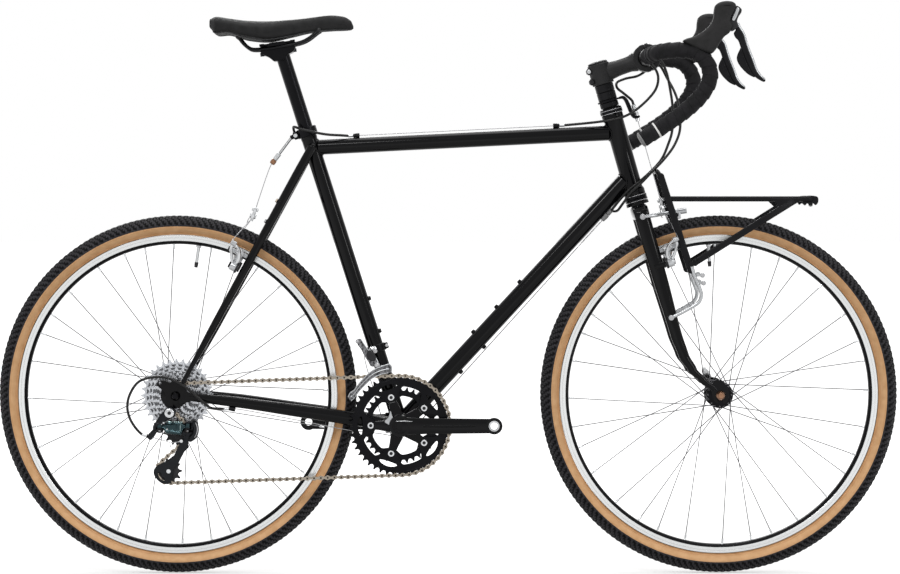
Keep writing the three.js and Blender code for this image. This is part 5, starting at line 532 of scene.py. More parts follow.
def make_looks():
    made = {
        "paint": gloss("gloss black paint", (0.0025, 0.0025, 0.003), 0.09),
        "satin": metal("satin black alloy", (0.014, 0.014, 0.015), 0.42),
        "black_alloy": metal("black anodised alloy", (0.01, 0.01, 0.011), 0.32),
        "silver": metal("polished silver alloy", (0.56, 0.57, 0.58), 0.2),
        "cast": metal("dull silver alloy", (0.4, 0.41, 0.42), 0.32),
        "steel": metal("stainless steel", (0.42, 0.42, 0.43), 0.26),
        "spoke": metal("stainless spoke", (0.1, 0.1, 0.105), 0.3),
        "chain": metal("nickel chain", (0.3, 0.265, 0.22), 0.28),
        "pin": metal("dark chain pin", (0.03, 0.026, 0.022), 0.35),
        "sprocket": stamped("sprocket steel", (0.22, 0.225, 0.24), (0.66, 0.68, 0.71), 0.24, 700),
        # A dark look used as painted shade between the sprockets
        "gap": stamped("sprocket painted gap shade", (0.03, 0.03, 0.032), (0.2, 0.205, 0.215), 0.4, 500),
        # Dark steel, which also serves as painted shade on some bolts and sockets
        "shade": metal("dark steel and painted shade", (0.035, 0.035, 0.037), 0.5),
        "chrome": stamped("chromed cage", (0.02, 0.02, 0.021), (0.2, 0.2, 0.21), 0.14, 260),
        "copper": metal("copper brown bolt", (0.28, 0.15, 0.09), 0.3),
        "beige": metal("sand blasted boss", (0.5, 0.43, 0.35), 0.4),
        "dark": metal("dark grey derailleur", (0.018, 0.019, 0.021), 0.3),
        "teal": metal("blue grey derailleur", (0.03, 0.05, 0.055), 0.2),
        "highlight_streak": metal("derailleur highlight", (0.22, 0.3, 0.3), 0.24),
        "plastic": soft("black plastic", (0.012, 0.012, 0.013), (0.022, 0.022, 0.024), 0.42, 1800, 0.00004),
        "grey": soft("grey plastic", (0.16, 0.16, 0.16), (0.22, 0.22, 0.22), 0.45, 1800, 0.00004),
        "white": soft("white band", (0.62, 0.62, 0.6), (0.72, 0.72, 0.7), 0.4, 1500, 0.00003),
        "rubber": soft("hood rubber", (0.009, 0.009, 0.009), (0.015, 0.0145, 0.015), 0.62, 1400, 0.0001),
        "tape": soft(
            "handlebar tape", (0.006, 0.006, 0.0065), (0.012, 0.0115, 0.013), 0.7, 700, 0.0002, 0.13
        ),
        "cover": soft(
            "saddle cover", (0.012, 0.012, 0.0122), (0.0185, 0.0185, 0.019), 0.7, 900, 0.00012, 0.12
        ),
        "edge": soft("saddle edge", (0.006, 0.006, 0.0065), (0.01, 0.01, 0.0105), 0.5, 1300, 0.00006, 0.17),
        "stem": soft(
            "matte black alloy", (0.008, 0.008, 0.0084), (0.0125, 0.0125, 0.013), 0.5, 2600, 0.00002, 0.22
        ),
        "pad": soft("brake pad", (0.012, 0.012, 0.012), (0.024, 0.023, 0.023), 0.7, 1100, 0.0001),
        "housing": soft("cable housing", (0.008, 0.008, 0.008), (0.015, 0.015, 0.015), 0.34, 1600, 0.00003),
        "wire": metal("cable wire", (0.36, 0.36, 0.37), 0.28),
        "tread": soft(
            "tyre tread rubber", (0.011, 0.01, 0.012), (0.02, 0.019, 0.022), 0.6, 1200, 0.00012, 0.22
        ),
        # A darker tone that the tread's groove bands take as painted shade
        "groove": soft(
            "tyre groove painted shade", (0.0035, 0.0035, 0.004), (0.006, 0.006, 0.0065), 0.8, 1200, 0.00005, 0.08
        ),
        "rim": metal("black rim", (0.014, 0.014, 0.015), 0.34),
        "wall": soft("tan tyre wall", (0.57, 0.325, 0.155), (0.65, 0.39, 0.2), 0.62, 2200, 0.00006),
        "track": machined_track(),
    }
    return {key: look.material for key, look in made.items()}


LOOKS = make_looks()


def looks(*names):
    return [LOOKS[name] for name in names]


def dress(node, shape, body, names, slot, **more):
    """The piece that takes the place of one node of the model."""
    return piece(node + "_looks", shape, body, looks(*names), [node], slot, **more)


# The frame


def boss(shape, place, direction, radius=4.5, height=2.8, bolt_look=1):
    """A threaded boss with its screw."""
    top = place + direction * height
    rod(shape, place - direction * 2, top, radius, sides=28)
    bolt(shape, top, direction, radius * 0.86, 2.2, bolt_look)


def cable_stop(shape, place, along, look, radius, length=12):
    """A stepped sleeve that takes the end of a housing."""
    bore = 2.9
    start = place - along * length / 2
    profile = [
        (bore, 0), (radius - 0.5, 0), (radius, 0.6), (radius, length * 0.45), (radius * 0.78, length),
        (bore * 0.5, length), (bore * 0.5, length * 0.6), (bore, length * 0.55), (bore, 0),
    ]
    lathe(shape, profile, start, along, 28, look)


def braze(shape, place, along, down, length, width, height):
    """The foot that carries a cable stop on a tube."""
    side = along.cross(down)
    rings = []
    for share, grow in ((0, 0.9), (0.4, 0.95), (0.8, 1.3), (1, 1.75)):
        rings.append(
            oval(place + down * height * share, along, length / 2 * grow, side, width / 2 * grow, 20, 0.8)
        )
    loft(shape, rings)


TOP_REAR, TOP_FRONT = on_seat(TOP_TUBE_ON_SEAT), on_steer(0, 0, TOP_TUBE_ON_STEER)
DOWN_FRONT = on_steer(0, 0, DOWN_TUBE_ON_STEER)
TOP_ALONG = (TOP_FRONT - TOP_REAR).normalized()
DOWN_ALONG = (DOWN_FRONT - BRACKET).normalized()
DOWN_OVER = Vector((-DOWN_ALONG.z, 0, DOWN_ALONG.x))
TOP_OVER = Vector((-TOP_ALONG.z, 0, TOP_ALONG.x))
TOP_STOPS = (84, (TOP_FRONT - TOP_REAR).length - 113.6)
TOP_STOP_RISE, DOWN_STOP_DROP = 18.5, 18.7
DOWN_STOP_PLACE, DOWN_STOP_SPREAD = 545, 7
UPPER_BOTTLE_BOSSES, LOWER_BOTTLE_BOSSES, SEAT_BOTTLE_BOSSES = (220, 284, 348), (149, 213), (179, 243)


def head_tube():
    s = Shape()
    length = HEAD_TOP - HEAD_BOTTOM
    end = [(15.2, 0), (19.6, 0), (20.2, 0.8), (20.2, 9), (19.5, 11), (HEAD_TUBE_RADIUS, 14)]
    flare = end + [(r, length - h) for r, h in end[::-1]] + end[:1]
    lathe(s, flare, on_steer(0, 0, HEAD_BOTTOM), STEER_UP, 72)
    dress("head_tube", s, "frame", ["paint"], "frame_paint")


def top_tube():
    s = Shape()
    tube(s, [mix(TOP_REAR, TOP_FRONT, t) for t in (0.02, 0.5, 0.972)], TOP_TUBE_RADIUS, 48)
    weld(s, TOP_FRONT, -TOP_ALONG, TOP_TUBE_RADIUS, STEER_BASE, STEER_UP, HEAD_TUBE_RADIUS)
    weld(s, TOP_REAR, TOP_ALONG, TOP_TUBE_RADIUS, BRACKET, SEAT_UP, SEAT_TUBE_RADIUS)
    for along, facing in zip(TOP_STOPS, (-1, 1)):
        place = TOP_REAR + TOP_ALONG * along + TOP_OVER * TOP_STOP_RISE
        cable_stop(s, place, TOP_ALONG * facing, 0, 4.4)
        braze(s, place - TOP_OVER * 2.5, TOP_ALONG, -TOP_OVER, 11, 3.6, 3.4)
    dress("top_tube", s, "frame", ["paint"], "frame_paint")


def down_tube():
    s = Shape()
    line = [BRACKET + DOWN_ALONG * 16, mix(BRACKET, DOWN_FRONT, 0.5), DOWN_FRONT - DOWN_ALONG * 14]
    tube(s, line, DOWN_TUBE_RADIUS, 56)
    weld(s, DOWN_FRONT, -DOWN_ALONG, DOWN_TUBE_RADIUS, STEER_BASE, STEER_UP, HEAD_TUBE_RADIUS)
    weld(s, BRACKET, DOWN_ALONG, DOWN_TUBE_RADIUS, BRACKET, SIDE, SHELL_RADIUS)
    root = DOWN_TUBE_RADIUS - 0.5
    for places, over in ((UPPER_BOTTLE_BOSSES, DOWN_OVER), (LOWER_BOTTLE_BOSSES, -DOWN_OVER)):
        for along in places:
            boss(s, BRACKET + DOWN_ALONG * along + over * root, over)
    for y in (-DOWN_STOP_SPREAD, DOWN_STOP_SPREAD):
        place = BRACKET + DOWN_ALONG * DOWN_STOP_PLACE - DOWN_OVER * DOWN_STOP_DROP + SIDE * y
        cable_stop(s, place, -DOWN_ALONG, 2, 4.6, 14)
        braze(s, place + DOWN_OVER * 1.5, DOWN_ALONG, DOWN_OVER, 9, 3.4, 3.6)
    dress("down_tube", s, "frame", ["paint", "satin", "grey"], "frame_paint")


def seat_tube():
    s = Shape()
    tube(s, [on_seat(14), on_seat(300), on_seat(566)], SEAT_TUBE_RADIUS, 48)
    sleeve = [(13.6, 0), (14.8, 0), (15.4, 3), (15.4, 22.4), (15, 23), (13.6, 23), (13.6, 0)]
    lathe(s, sleeve, on_seat(560), SEAT_UP, 56)
    end = [(17.6, SHELL_HALF), (19.4, SHELL_HALF), (SHELL_RADIUS, SHELL_HALF - 0.7)]
    shell = [(r, -h) for r, h in end] + end[::-1]
    lathe(s, shell + shell[:1], BRACKET, SIDE, 72)
    weld(s, BRACKET, SEAT_UP, SEAT_TUBE_RADIUS, BRACKET, SIDE, SHELL_RADIUS)
    for along in SEAT_BOTTLE_BOSSES:
        boss(s, on_seat(along, SEAT_TUBE_RADIUS - 0.5), SEAT_FORWARD)
    # The guide that turns the shift wires under the bottom bracket
    under = BRACKET - Vector((0.35, 0, 0.94)).normalized() * (SHELL_RADIUS + 0.6)
    block(s, under, FORWARD, 20, SIDE, 24, UP, 2.6, 2)
    for y in (-7, 7):
        tube(s, [under + Vector((x, y, rise)) for x, rise in ((-12, 0.6), (0, -1.4), (12, 0.4))], 2.1, 12, 2)
    bolt(s, under - UP, -UP, 3.4, 1.8, 1)
    dress("seat_tube", s, "frame", ["paint", "satin", "plastic"], "frame_paint")


STAY_SHARES = [0.04, 0.21, 0.4, 0.7, 0.94]
STAY_RISE = [-2, 0, 1.2, 2.8, 1.6]
STAY_SPREAD = [22, 31.5, 41, 58, 68.5]
STAY_HEIGHT = [22, 26, 24, 20, 15.5]
STAY_WIDTH = [18, 15, 18, 17, 9]
DROPOUT_Y, DROPOUT_THICK = 67.8, 5
EYELET_X, EYELET_Z = -29, 24
HANGER_X, HANGER_Z = -10.5, -31
STAY_STOP = Vector((-403, -60, 311.2))


def blended(places, values, place):
    for a, b, u, v in zip(places, places[1:], values, values[1:]):
        if place <= b:
            t = max((place - a) / (b - a), 0)
            return mix(u, v, t * t * (3 - 2 * t))
    return values[-1]


def dropout_outline(side):
    """The dropout round the rear axle, with its eyelet and, on the right, the hanger."""
    top = [
        (34, -9), (34, 4), (19, 9), (15, 22), (3, 31), (-6, 31), (-8, 24), (-20, 29), (-34, 28), (-35, 19),
        (-21, 8), (-19, -4), (-12, -15),
    ]
    if side == RIGHT:
        slot = [
            (-18, -26), (-18.5, -35), (-12, -39.5), (-4, -37), (-2, -28), (-4, -23), (-4.4, -14), (-4.4, 1),
            (4.4, 1), (4.4, -14),
        ]
    else:
        slot = [(-6, -19), (-4.6, -14), (-4.6, 1), (4.6, 1), (4.6, -14)]
    return rounded(shifted(top + slot + [(8, -17), (18, -13)], REAR_AXLE.x, REAR_AXLE.z), 4)


def chainstays():
    s = Shape()
    # The round boss of the right dropout behind the nut of the quick release
    ring = [(6, 68.5), (6, 72.4), (23, 72.4), (25, 71.4), (25, 69.6), (23, 68.5), (6, 68.5)]
    lathe(s, ring, REAR_AXLE + Vector((-3, 0, 1)), -SIDE, 56)
    heading = (REAR_AXLE - BRACKET).normalized()
    over = SIDE.cross(heading)
    for side in (RIGHT, LEFT):
        rings = []
        for i in range(33):
            share = mix(STAY_SHARES[0], STAY_SHARES[-1], i / 32)
            lists = (STAY_SPREAD, STAY_RISE, STAY_HEIGHT, STAY_WIDTH)
            spread, rise, height, width = (blended(STAY_SHARES, values, share) for values in lists)
            centre = mix(BRACKET, REAR_AXLE, share) + SIDE * side * spread + UP * rise
            rings.append(oval(centre, SIDE, width / 2, over, height / 2, 32))
        end = rings[-1]
        middle = sum(end, Vector()) / len(end)
        for grow, step in ((0.85, 3), (0.55, 5)):
            rings.append([middle + (p - middle) * grow + heading * step for p in end])
        loft(s, rings)
        holes = [circle(REAR_AXLE.x + EYELET_X, REAR_AXLE.z + EYELET_Z, 2.6, 20)]
        if side == RIGHT:
            holes.append(circle(REAR_AXLE.x + HANGER_X, REAR_AXLE.z + HANGER_Z, 4.6, 24))
        y = side * (DROPOUT_Y + DROPOUT_THICK / 2)
        plate(s, [dropout_outline(side)] + holes, (0, y, 0), DROPOUT_THICK, 0, 0.7)
    bridge = mix(BRACKET, REAR_AXLE, 0.15)
    tube(s, [bridge - SIDE * 22, bridge + SIDE * 22], 6.5, 24)
    cable_stop(s, STAY_STOP, heading, 1, 4.4)
    braze(s, STAY_STOP + UP * 0.6, heading, UP, 10, 3.4, 2.4)
    dress("chainstays", s, "frame", ["paint", "satin"], "frame_paint")


SEATSTAY_SHARES = [0, 0.12, 0.35, 0.7, 0.93]
SEATSTAY_SPREAD = [19, 24, 38, 58, 69.5]
SEATSTAY_RADII = [8, 8.5, 8, 7, 4.2]
REAR_BRAKE_BACK = Vector((-0.8783, 0, 0.478))
STAY_BACK = Vector((-0.882, 0, 0.471))
BRAKE_BOSS_X, BRAKE_BOSS_Z = 109.5, 239
STAY_RACK_BOSSES = (0.225, 0.307)
STAY_BRIDGE = 0.27


def seatstay(share, side):
    return mix(TOP_REAR, REAR_AXLE, share) + SIDE * side * blended(SEATSTAY_SHARES, SEATSTAY_SPREAD, share)


def seatstays():
    s = Shape()
    for side in (RIGHT, LEFT):
        shares = [i / 32 * 0.95 for i in range(33)]
        points = [seatstay(t, side) for t in shares]
        tube(s, points, [blended(SEATSTAY_SHARES, SEATSTAY_RADII, t) for t in shares], 32)
        ball(s, points[0], SEATSTAY_RADII[0], 0, 10, 24)
        root = REAR_AXLE + Vector((BRAKE_BOSS_X, side * 46, BRAKE_BOSS_Z))
        rod(s, root - REAR_BRAKE_BACK * 3, root + REAR_BRAKE_BACK * 13, 7.2, 6.4, 32)
        # Two rack bosses on the rear of each stay, with their screws
        for share, tone in zip(STAY_RACK_BOSSES, (1, 2)):
            place = seatstay(share, side)
            boss(s, place + STAY_BACK * 6.6, STAY_BACK, 4.4, 2.4, tone)
            rod(s, place + STAY_BACK * 8, place + STAY_BACK * 11.6, 3.6, look=tone)
    bridge = seatstay(STAY_BRIDGE, 0)
    reach = blended(SEATSTAY_SHARES, SEATSTAY_SPREAD, STAY_BRIDGE)
    tube(s, [bridge - SIDE * reach, bridge + SIDE * reach], 6.4, 24)
    rod(s, bridge - FORWARD * 8, bridge + FORWARD * 8, 4.6, sides=24)
    dress("seatstays", s, "frame", ["paint", "beige", "cast"], "frame_paint")


def bottom_bracket():
    s = Shape()
    cup = [
        (12.4, 0), (20.4, 0), (21.4, 0.9), (21.4, 5.2), (19.5, 7.2), (14.5, 7.5), (14.2, 6.6), (12.4, 6.6),
        (12.4, 0),
    ]
    for side in (RIGHT, LEFT):
        face = BRACKET + SIDE * side * (SHELL_HALF + 0.2)
        lathe(s, cup, face, SIDE * side, 64)
        for angle in turns(16):
            out = outward(angle)
            block(s, face + SIDE * side * 3 + out * 21.2, out, 1, out.cross(SIDE), 4.6, SIDE, 4.2, 0, 0.3)
    hollow_rod(s, BRACKET - SIDE * SHELL_HALF, BRACKET + SIDE * SHELL_HALF, 17.2, 13)
    dress("bottom_bracket", s, "frame", ["black_alloy"], "black_alloy")


LOWER_CUP = [
    (15, 0), (20.6, 0), (21.3, 0.7), (21.3, 4.2), (20.4, 4.8), (20.9, 5.4), (21.3, 11), (20.3, 11.9),
    (15, 11.9), (15, 0),
]
UPPER_CUP = [
    (15, 0), (20.3, 0), (21.2, 0.8), (21.3, 6.4), (20.4, 7.2), (20.9, 7.9), (20.6, 10.4), (17.4, 12.6),
    (15, 12.6), (15, 0),
]


def headset():
    cups = (
        ("lower", LOWER_CUP, HEAD_BOTTOM - 12.2, (0.4, 10.6)),
        ("upper", UPPER_CUP, HEAD_TOP + 0.2, (0.5, 6.9))
    )
    for word, profile, foot, bright_rings in cups:
        s = Shape()
        lathe(s, profile, on_steer(0, 0, foot), STEER_UP, 72)
        for rise in bright_rings:
            place = foot + rise
            hollow_rod(s, on_steer(0, 0, place), on_steer(0, 0, place + 0.9), 21.45, 19, 72, 1, 0.2)
        dress(f"headset_{word}_cup", s, "frame", ["black_alloy", "steel"], "black_alloy")


# Fork, stem, handlebar


STEERER_FOOT, STEERER_TOP, CROWN_RACE = 384, 655, 386
HANGER_REACH, HANGER_PLACE = 43.4, 585.8
FORK_END_Y = 52.8
BOSS_Y, BRAKE_BOSS, RACK_BOSS = 46, 264, 165
BLADE_PLACE = [382, 250, 130, 90, 59, 35, 12]
BLADE_SWEEP = [0, 0, 0, 3, 11.4, 25, 41]
BLADE_SPREAD = [38, 42.5, 48, 50, 51.5, 52.8, 53]
BLADE_DEPTH = [29, 28, 22, 19.5, 17, 15, 13]
BLADE_WIDTH = [19, 19, 17, 15.5, 13.5, 10, 6]


def fork_crown(s):
    rings = []
    for i in range(25):
        share = i / 12 - 1
        y, drop = 47 * share, 9 * abs(share) ** 3
        low = on_steer(0, y, 350 + drop * 0.2 + 4 * (1 - share * share))
        high = on_steer(0, y, 385 - drop - 2.5 * share * share)
        depth = 17 - 3.2 * share * share
        rings.append(oval((low + high) / 2, STEER_FORWARD, depth, STEER_UP, (high - low).length / 2, 36, 0.7))
    for grow in (0.82, 0.5):
        end, start = rings[-1], rings[0]
        middle, other = sum(end, Vector()) / 36, sum(start, Vector()) / 36
        rings.append([middle + (p - middle) * grow + SIDE * 1.6 for p in end])
        rings.insert(0, [other + (p - other) * grow - SIDE * 1.6 for p in start])
    loft(s, rings)


def fork():
    s = Shape()
    hollow_rod(s, on_steer(0, 0, STEERER_FOOT), on_steer(0, 0, STEERER_TOP), 14.3, 12.4, 48)
    race = [(13.5, -3), (21.6, -3), (21.4, 1.2), (20.8, 3.2), (14, 3.6), (13.5, -3)]
    lathe(s, race, on_steer(0, 0, CROWN_RACE), STEER_UP, 64)
    fork_crown(s)
    falling = [-p for p in BLADE_PLACE]
    end = [
        (-10, 30), (4, 27), (14, 12), (16, -3), (10, -14), (4.6, -15), (4.6, 1), (-4.6, 1), (-4.6, -15),
        (-12, -11), (-16, 2), (-19, 18),
    ]
    for side in (RIGHT, LEFT):
        rings = []
        for i in range(49):
            place = mix(378, BLADE_PLACE[-1], i / 48)
            lists = (BLADE_SWEEP, BLADE_SPREAD, BLADE_DEPTH, BLADE_WIDTH)
            sweep, spread, depth, width = (blended(falling, values, -place) for values in lists)
            rings.append(
                oval(on_steer(sweep, side * spread, place), STEER_FORWARD, depth / 2, SIDE, width / 2, 32)
            )
        loft(s, rings)
        plate(s, [rounded(shifted(end, FRONT_AXLE.x, FRONT_AXLE.z), 4)], (0, side * FORK_END_Y, 0), 5, 0, 0.7)
        root = on_steer(0, side * BOSS_Y, BRAKE_BOSS)
        rod(s, root - STEER_FORWARD * 4, root + STEER_FORWARD * 16, 7.4, 6.4, 32)
        rod(
            s, on_steer(0, side * BOSS_Y, RACK_BOSS), on_steer(0, side * (BOSS_Y + 9.5), RACK_BOSS), 6,
            sides=28
        )
    dress("fork", s, "steering", ["paint"], "frame_paint")


SPACER_EDGES = [573.8, 583.2, 588.3, 603.2, 618.2]
HANGER_LINE = [(19, 585.8), (28, 585), (32, 579), (37, 547), (40, 543), (49, 542)]


def spacers():
    s = Shape()
    for a, b in zip(SPACER_EDGES, SPACER_EDGES[1:]):
        hollow_rod(s, on_steer(0, 0, a + 0.15), on_steer(0, 0, b), 17.6, 14.6, 64, 0, 0.8)
    # The hanger of the front brake cable: a strap that is narrow and thick in its middle, a ring and a stop
    line = spline([on_steer(reach, 0, place) for reach, place in HANGER_LINE], 2)
    rings = []
    for i, (heading, _, _) in enumerate(frames(line)):
        middle = sin(pi * i / (len(line) - 1))
        rings.append(
            oval(line[i], SIDE, 9 - 1.6 * middle, heading.cross(SIDE), 1.7 + 2.2 * middle**0.5, 20, 0.45)
        )
    loft(s, rings, 1)
    ring = [(14.8, -1.7), (20, -1.7), (20, 1.7), (14.8, 1.7), (14.8, -1.7)]
    lathe(s, ring, on_steer(0, 0, HANGER_PLACE), STEER_UP, 48, 1)
    for low, high, radius, sides in ((534, 556, 4.2, 28), (546, 550.5, 6, 6)):
        hollow_rod(s, on_steer(HANGER_REACH, 0, low), on_steer(HANGER_REACH, 0, high), radius, 1.4, sides, 2)
    dress("headset_spacers", s, "steering", ["satin", "black_alloy", "silver"], "satin_black")


BAR = Vector((371.3, 0, 966.4))


STEM_FOOT, STEM_HEIGHT, STEM_HALF_WIDTH = 618.6, 39, 20.5
CLAMP_HALF, CLAMP_RADIUS, BAR_CLAMP_RADIUS = 21, 26, 16.2


def stem():
    s = Shape()
    edge = STEM_HALF_WIDTH - 0.8
    sleeve = [
        (14.5, 0), (edge, 0), (STEM_HALF_WIDTH, 0.9), (STEM_HALF_WIDTH, STEM_HEIGHT - 0.9),
        (edge, STEM_HEIGHT),
    ]
    lathe(s, sleeve + [(14.5, STEM_HEIGHT), (14.5, 0)], on_steer(0, 0, STEM_FOOT), STEER_UP, 64)
    start = on_steer(0, 0, 638)
    heading = (BAR - start).normalized()
    up = SIDE.cross(-heading)
    rings = []
    reach = (BAR - start).length - 22
    for i in range(17):
        share = i / 16
        flare = 5 * max(share - 0.8, 0)
        wide = mix(16.5, 15, min(share * 2, 1)) + 4 * flare
        tall = mix(18, 14.8, min(share * 2.2, 1)) + 3.5 * flare
        rings.append(oval(start + heading * mix(8, reach, share), SIDE, wide, up, tall, 40, 0.9))
    loft(s, rings)
    # The bar clamp, in two halves with a slit between them, and its four bolts
    for a, b in ((pi * 0.53, pi * 1.47), (-pi * 0.45, pi * 0.45)):
        line = arc(0, 0, CLAMP_RADIUS, a, b, 28) + arc(0, 0, BAR_CLAMP_RADIUS, b, a, 28)
        plate(s, [line], BAR, CLAMP_HALF * 2, 0, 0.9, heading, up)
    for y in (-14.5, 14.5):
        for sign in (1, -1):
            place = BAR + up * sign * 21.3 + SIDE * y
            for offset, length in ((-2.4, 8.2), (7, 6.6)):
                block(s, place + heading * offset, SIDE, 11, up, 9.4, heading, length, 0, 1.2)
            bolt(s, place + heading * 9.6, heading, 3.9, 3.4, 1)
    # The pinch bolts at the back of the steerer clamp; the lower one is painted dark as shade
    for place, tone in ((628, 3), (648, 1)):
        back = on_steer(-19, 0, place)
        block(s, back, STEER_FORWARD, 12, STEER_UP, 12, SIDE, 26, 0, 3.4)
        bolt(s, back - SIDE * 12.8 - STEER_FORWARD * 1.5, -SIDE, 3.9, 3, tone)
        rod(s, back + SIDE * 13, back + SIDE * 14.4, 3.4, sides=6, look=1)
    cap = [(0, 0), (17.8, 0), (18.6, 0.8), (18.4, 2.8), (15, 4.4), (9, 4.9), (5.2, 4.9), (5, 3.2), (0, 3.2)]
    lathe(s, cap, on_steer(0, 0, STEM_FOOT + STEM_HEIGHT + 0.2), STEER_UP, 64)
    bolt(s, on_steer(0, 0, 661), STEER_UP, 4.1, 2.2, 1)
    dress("stem", s, "steering", ["stem", "silver", "cast", "shade"], "black_alloy")


BAR_SHARES = [
    (0, 0, 0), (0, 0.34, 0), (0, 0.62, 0), (0.015, 0.78, 0.003), (0.1, 0.915, 0.015), (0.3, 0.985, 0.033),
    (0.52, 1, 0.035), (0.74, 1, 0.012), (0.91, 1, -0.08), (0.99, 1, -0.2), (0.985, 1, -0.31),
    (0.88, 1, -0.45), (0.69, 1, -0.59), (0.42, 1, -0.735), (0.1, 1, -0.875), (-0.2, 1, -1),
]


def bar_place(share, side):
    x, y, z = share
    return BAR + Vector((BAR_REACH * x, BAR_HALF * y * side, BAR_DROP * z))


def bar_line(side, step=3):
    return spline([bar_place(p, side) for p in BAR_SHARES], step)


def handlebar():
    s = Shape()
    line = bar_line(RIGHT)[::-1] + bar_line(LEFT)[1:]
    tube(s, line, [mix(15.9, 12, min(max((abs(p.y) - 36) / 26, 0), 1)) for p in line], 40)
    plug = [(0, -2), (12, -2), (14.6, -1.4), (14.6, 0.6), (12.6, 2.6), (9, 3.8), (0, 4.2)]
    for side in (RIGHT, LEFT):
        before, _, end = bar_line(side)[-3:]
        lathe(s, plug, end, end - before, 40, 1)
    dress("handlebar", s, "steering", ["black_alloy", "grey"], "black_alloy")


TAPE_START, TAPE_PITCH, TAPE_RADIUS = 66, 17, 13.7
TAPE_SIDES, TAPE_RISE = 64, 0.86


def bar_tape(side, name):
    """Overlapping turns of tape: each rises and then steps down to the next."""
    s = Shape()
    line = bar_line(side, 0.7)
    start = next(i for i, p in enumerate(line) if abs(p.y) > TAPE_START)
    line = line[start:-3]
    along = [0.0]
    for a, b in zip(line, line[1:]):
        along.append(along[-1] + (b - a).length)
    total = along[-1]
    rings = []
    for i, (_, across, up) in enumerate(frames(line)):
        ring = []
        end_taper = min(1, along[i] / 2.5, (total - along[i]) / 1.2)
        for k, angle in enumerate(turns(TAPE_SIDES)):
            turn = (along[i] / TAPE_PITCH - k / TAPE_SIDES * side) % 1
            step = min(turn / TAPE_RISE, 1) if turn < TAPE_RISE else (1 - turn) / (1 - TAPE_RISE)
            wave = 0.16 * noise.noise(line[i] * 0.08 + Vector((k * 0.15, 0, 0)))
            r = TAPE_RADIUS + (1.5 * step**0.8 + wave) * end_taper
            ring.append(line[i] + across * (r * cos(angle)) + up * (r * sin(angle)))
        rings.append(ring)
    loft(s, rings, 0, False)
    loft(s, [rings[0], [line[0] + (p - line[0]) * 0.88 for p in rings[0]]], 0, False)
    # The finishing band beside the stem and the pale band by the bar end
    band = [(13.6, -2), (14.7, -2), (15, -1.4), (15.1, 9.5), (14.9, 10), (13.6, 10), (13.6, -2)]
    lathe(s, band, line[0], line[4] - line[0], 48, 1)
    at = next(i for i, d in enumerate(along) if total - d < 31)
    pale = [(14.2, -1.8), (15.3, -1.5), (15.3, 1.5), (14.2, 1.8), (14.2, -1.8)]
    lathe(s, pale, line[at], line[at + 8] - line[at], 48, 2)
    dress(name, s, "steering", ["tape", "edge", "white"], "tape", angle=30)


# Brake and shift levers

HOOD_LINE = [
    (483.9, 1052.8), (490.1, 1057.9), (502.8, 1060.8), (516.1, 1058.9), (521.0, 1053.5), (517.4, 1043.6),
    (511.2, 1028.2), (514.5, 1016.3), (509.2, 1003.6), (500.1, 996.3), (491.9, 985.4), (483.7, 971.8),
    (477.3, 965.8), (469.1, 967.3), (457.3, 971.3), (439.1, 979.7), (425.1, 988.8), (429.1, 991.8),
    (446.4, 997.4), (462.8, 1007.3), (474.6, 1018.6), (480.2, 1030.1), (481.3, 1041.9),
]
BLOCK_LINE = [
    (521.4, 1052.4), (531.2, 1046.2), (531.0, 1040.7), (525.4, 1031.6), (523.2, 1023.6), (525.0, 1015.4),
    (519.9, 1009.4), (513.7, 1006.3), (508.3, 1013.6), (511.2, 1027.3),
]
CAP_LINE = [
    (522.8, 1050.5), (527.9, 1047.3), (525.8, 1039.6), (517.7, 1024.3), (512.6, 1026.5), (517.4, 1038.9)
]
BLADE_LINE = [
    (522.7, 1024.7), (527.2, 1014.5), (535.2, 1002.4), (539.2, 989.0), (544.7, 972.6), (552.9, 952.0),
    (559.3, 935.0), (566.6, 924.8), (575.5, 917.9), (573.3, 914.4), (565.8, 917.2), (557.4, 922.6),
    (550.2, 931.4), (541.1, 949.8), (532.0, 971.7), (525.4, 989.7), (520.3, 995.2), (517.6, 1002.8),
    (521.0, 1009.4), (518.5, 1017.4), (518.5, 1024.0),
]
BLADE_EDGE = [
    (523.2, 1021.0), (526.5, 1013.4), (534.1, 1001.4), (538.1, 988.2), (543.6, 972.2), (551.8, 951.4),
    (557.8, 935.0), (565.5, 924.1), (572.7, 917.9),
]
PADDLE_LINE = [
    (532.3, 977.7), (526.9, 970.0), (523.0, 956.9), (527.6, 945.3), (536.9, 934.3), (546.0, 926.7),
    (556.0, 923.0), (550.2, 935.0), (541.8, 952.9),
]


def depth_inside(curve, index, heading):
    """How far a flat outline reaches from one of its points along a heading."""
    count, start, best = len(curve), curve[index], 1e9
    for i in range(count):
        if min((i - index) % count, (index - i) % count) < 2 or (i + 1) % count == index:
            continue
        edge, gap = curve[(i + 1) % count] - curve[i], curve[i] - start
        cross = heading.x * edge.z - heading.z * edge.x
        if abs(cross) < 1e-9:
            continue
        reach = (gap.x * edge.z - gap.z * edge.x) / cross
        share = (gap.x * heading.z - gap.z * heading.x) / cross
        if 0 <= share <= 1 and 0.2 < reach < best:
            best = reach
    return best


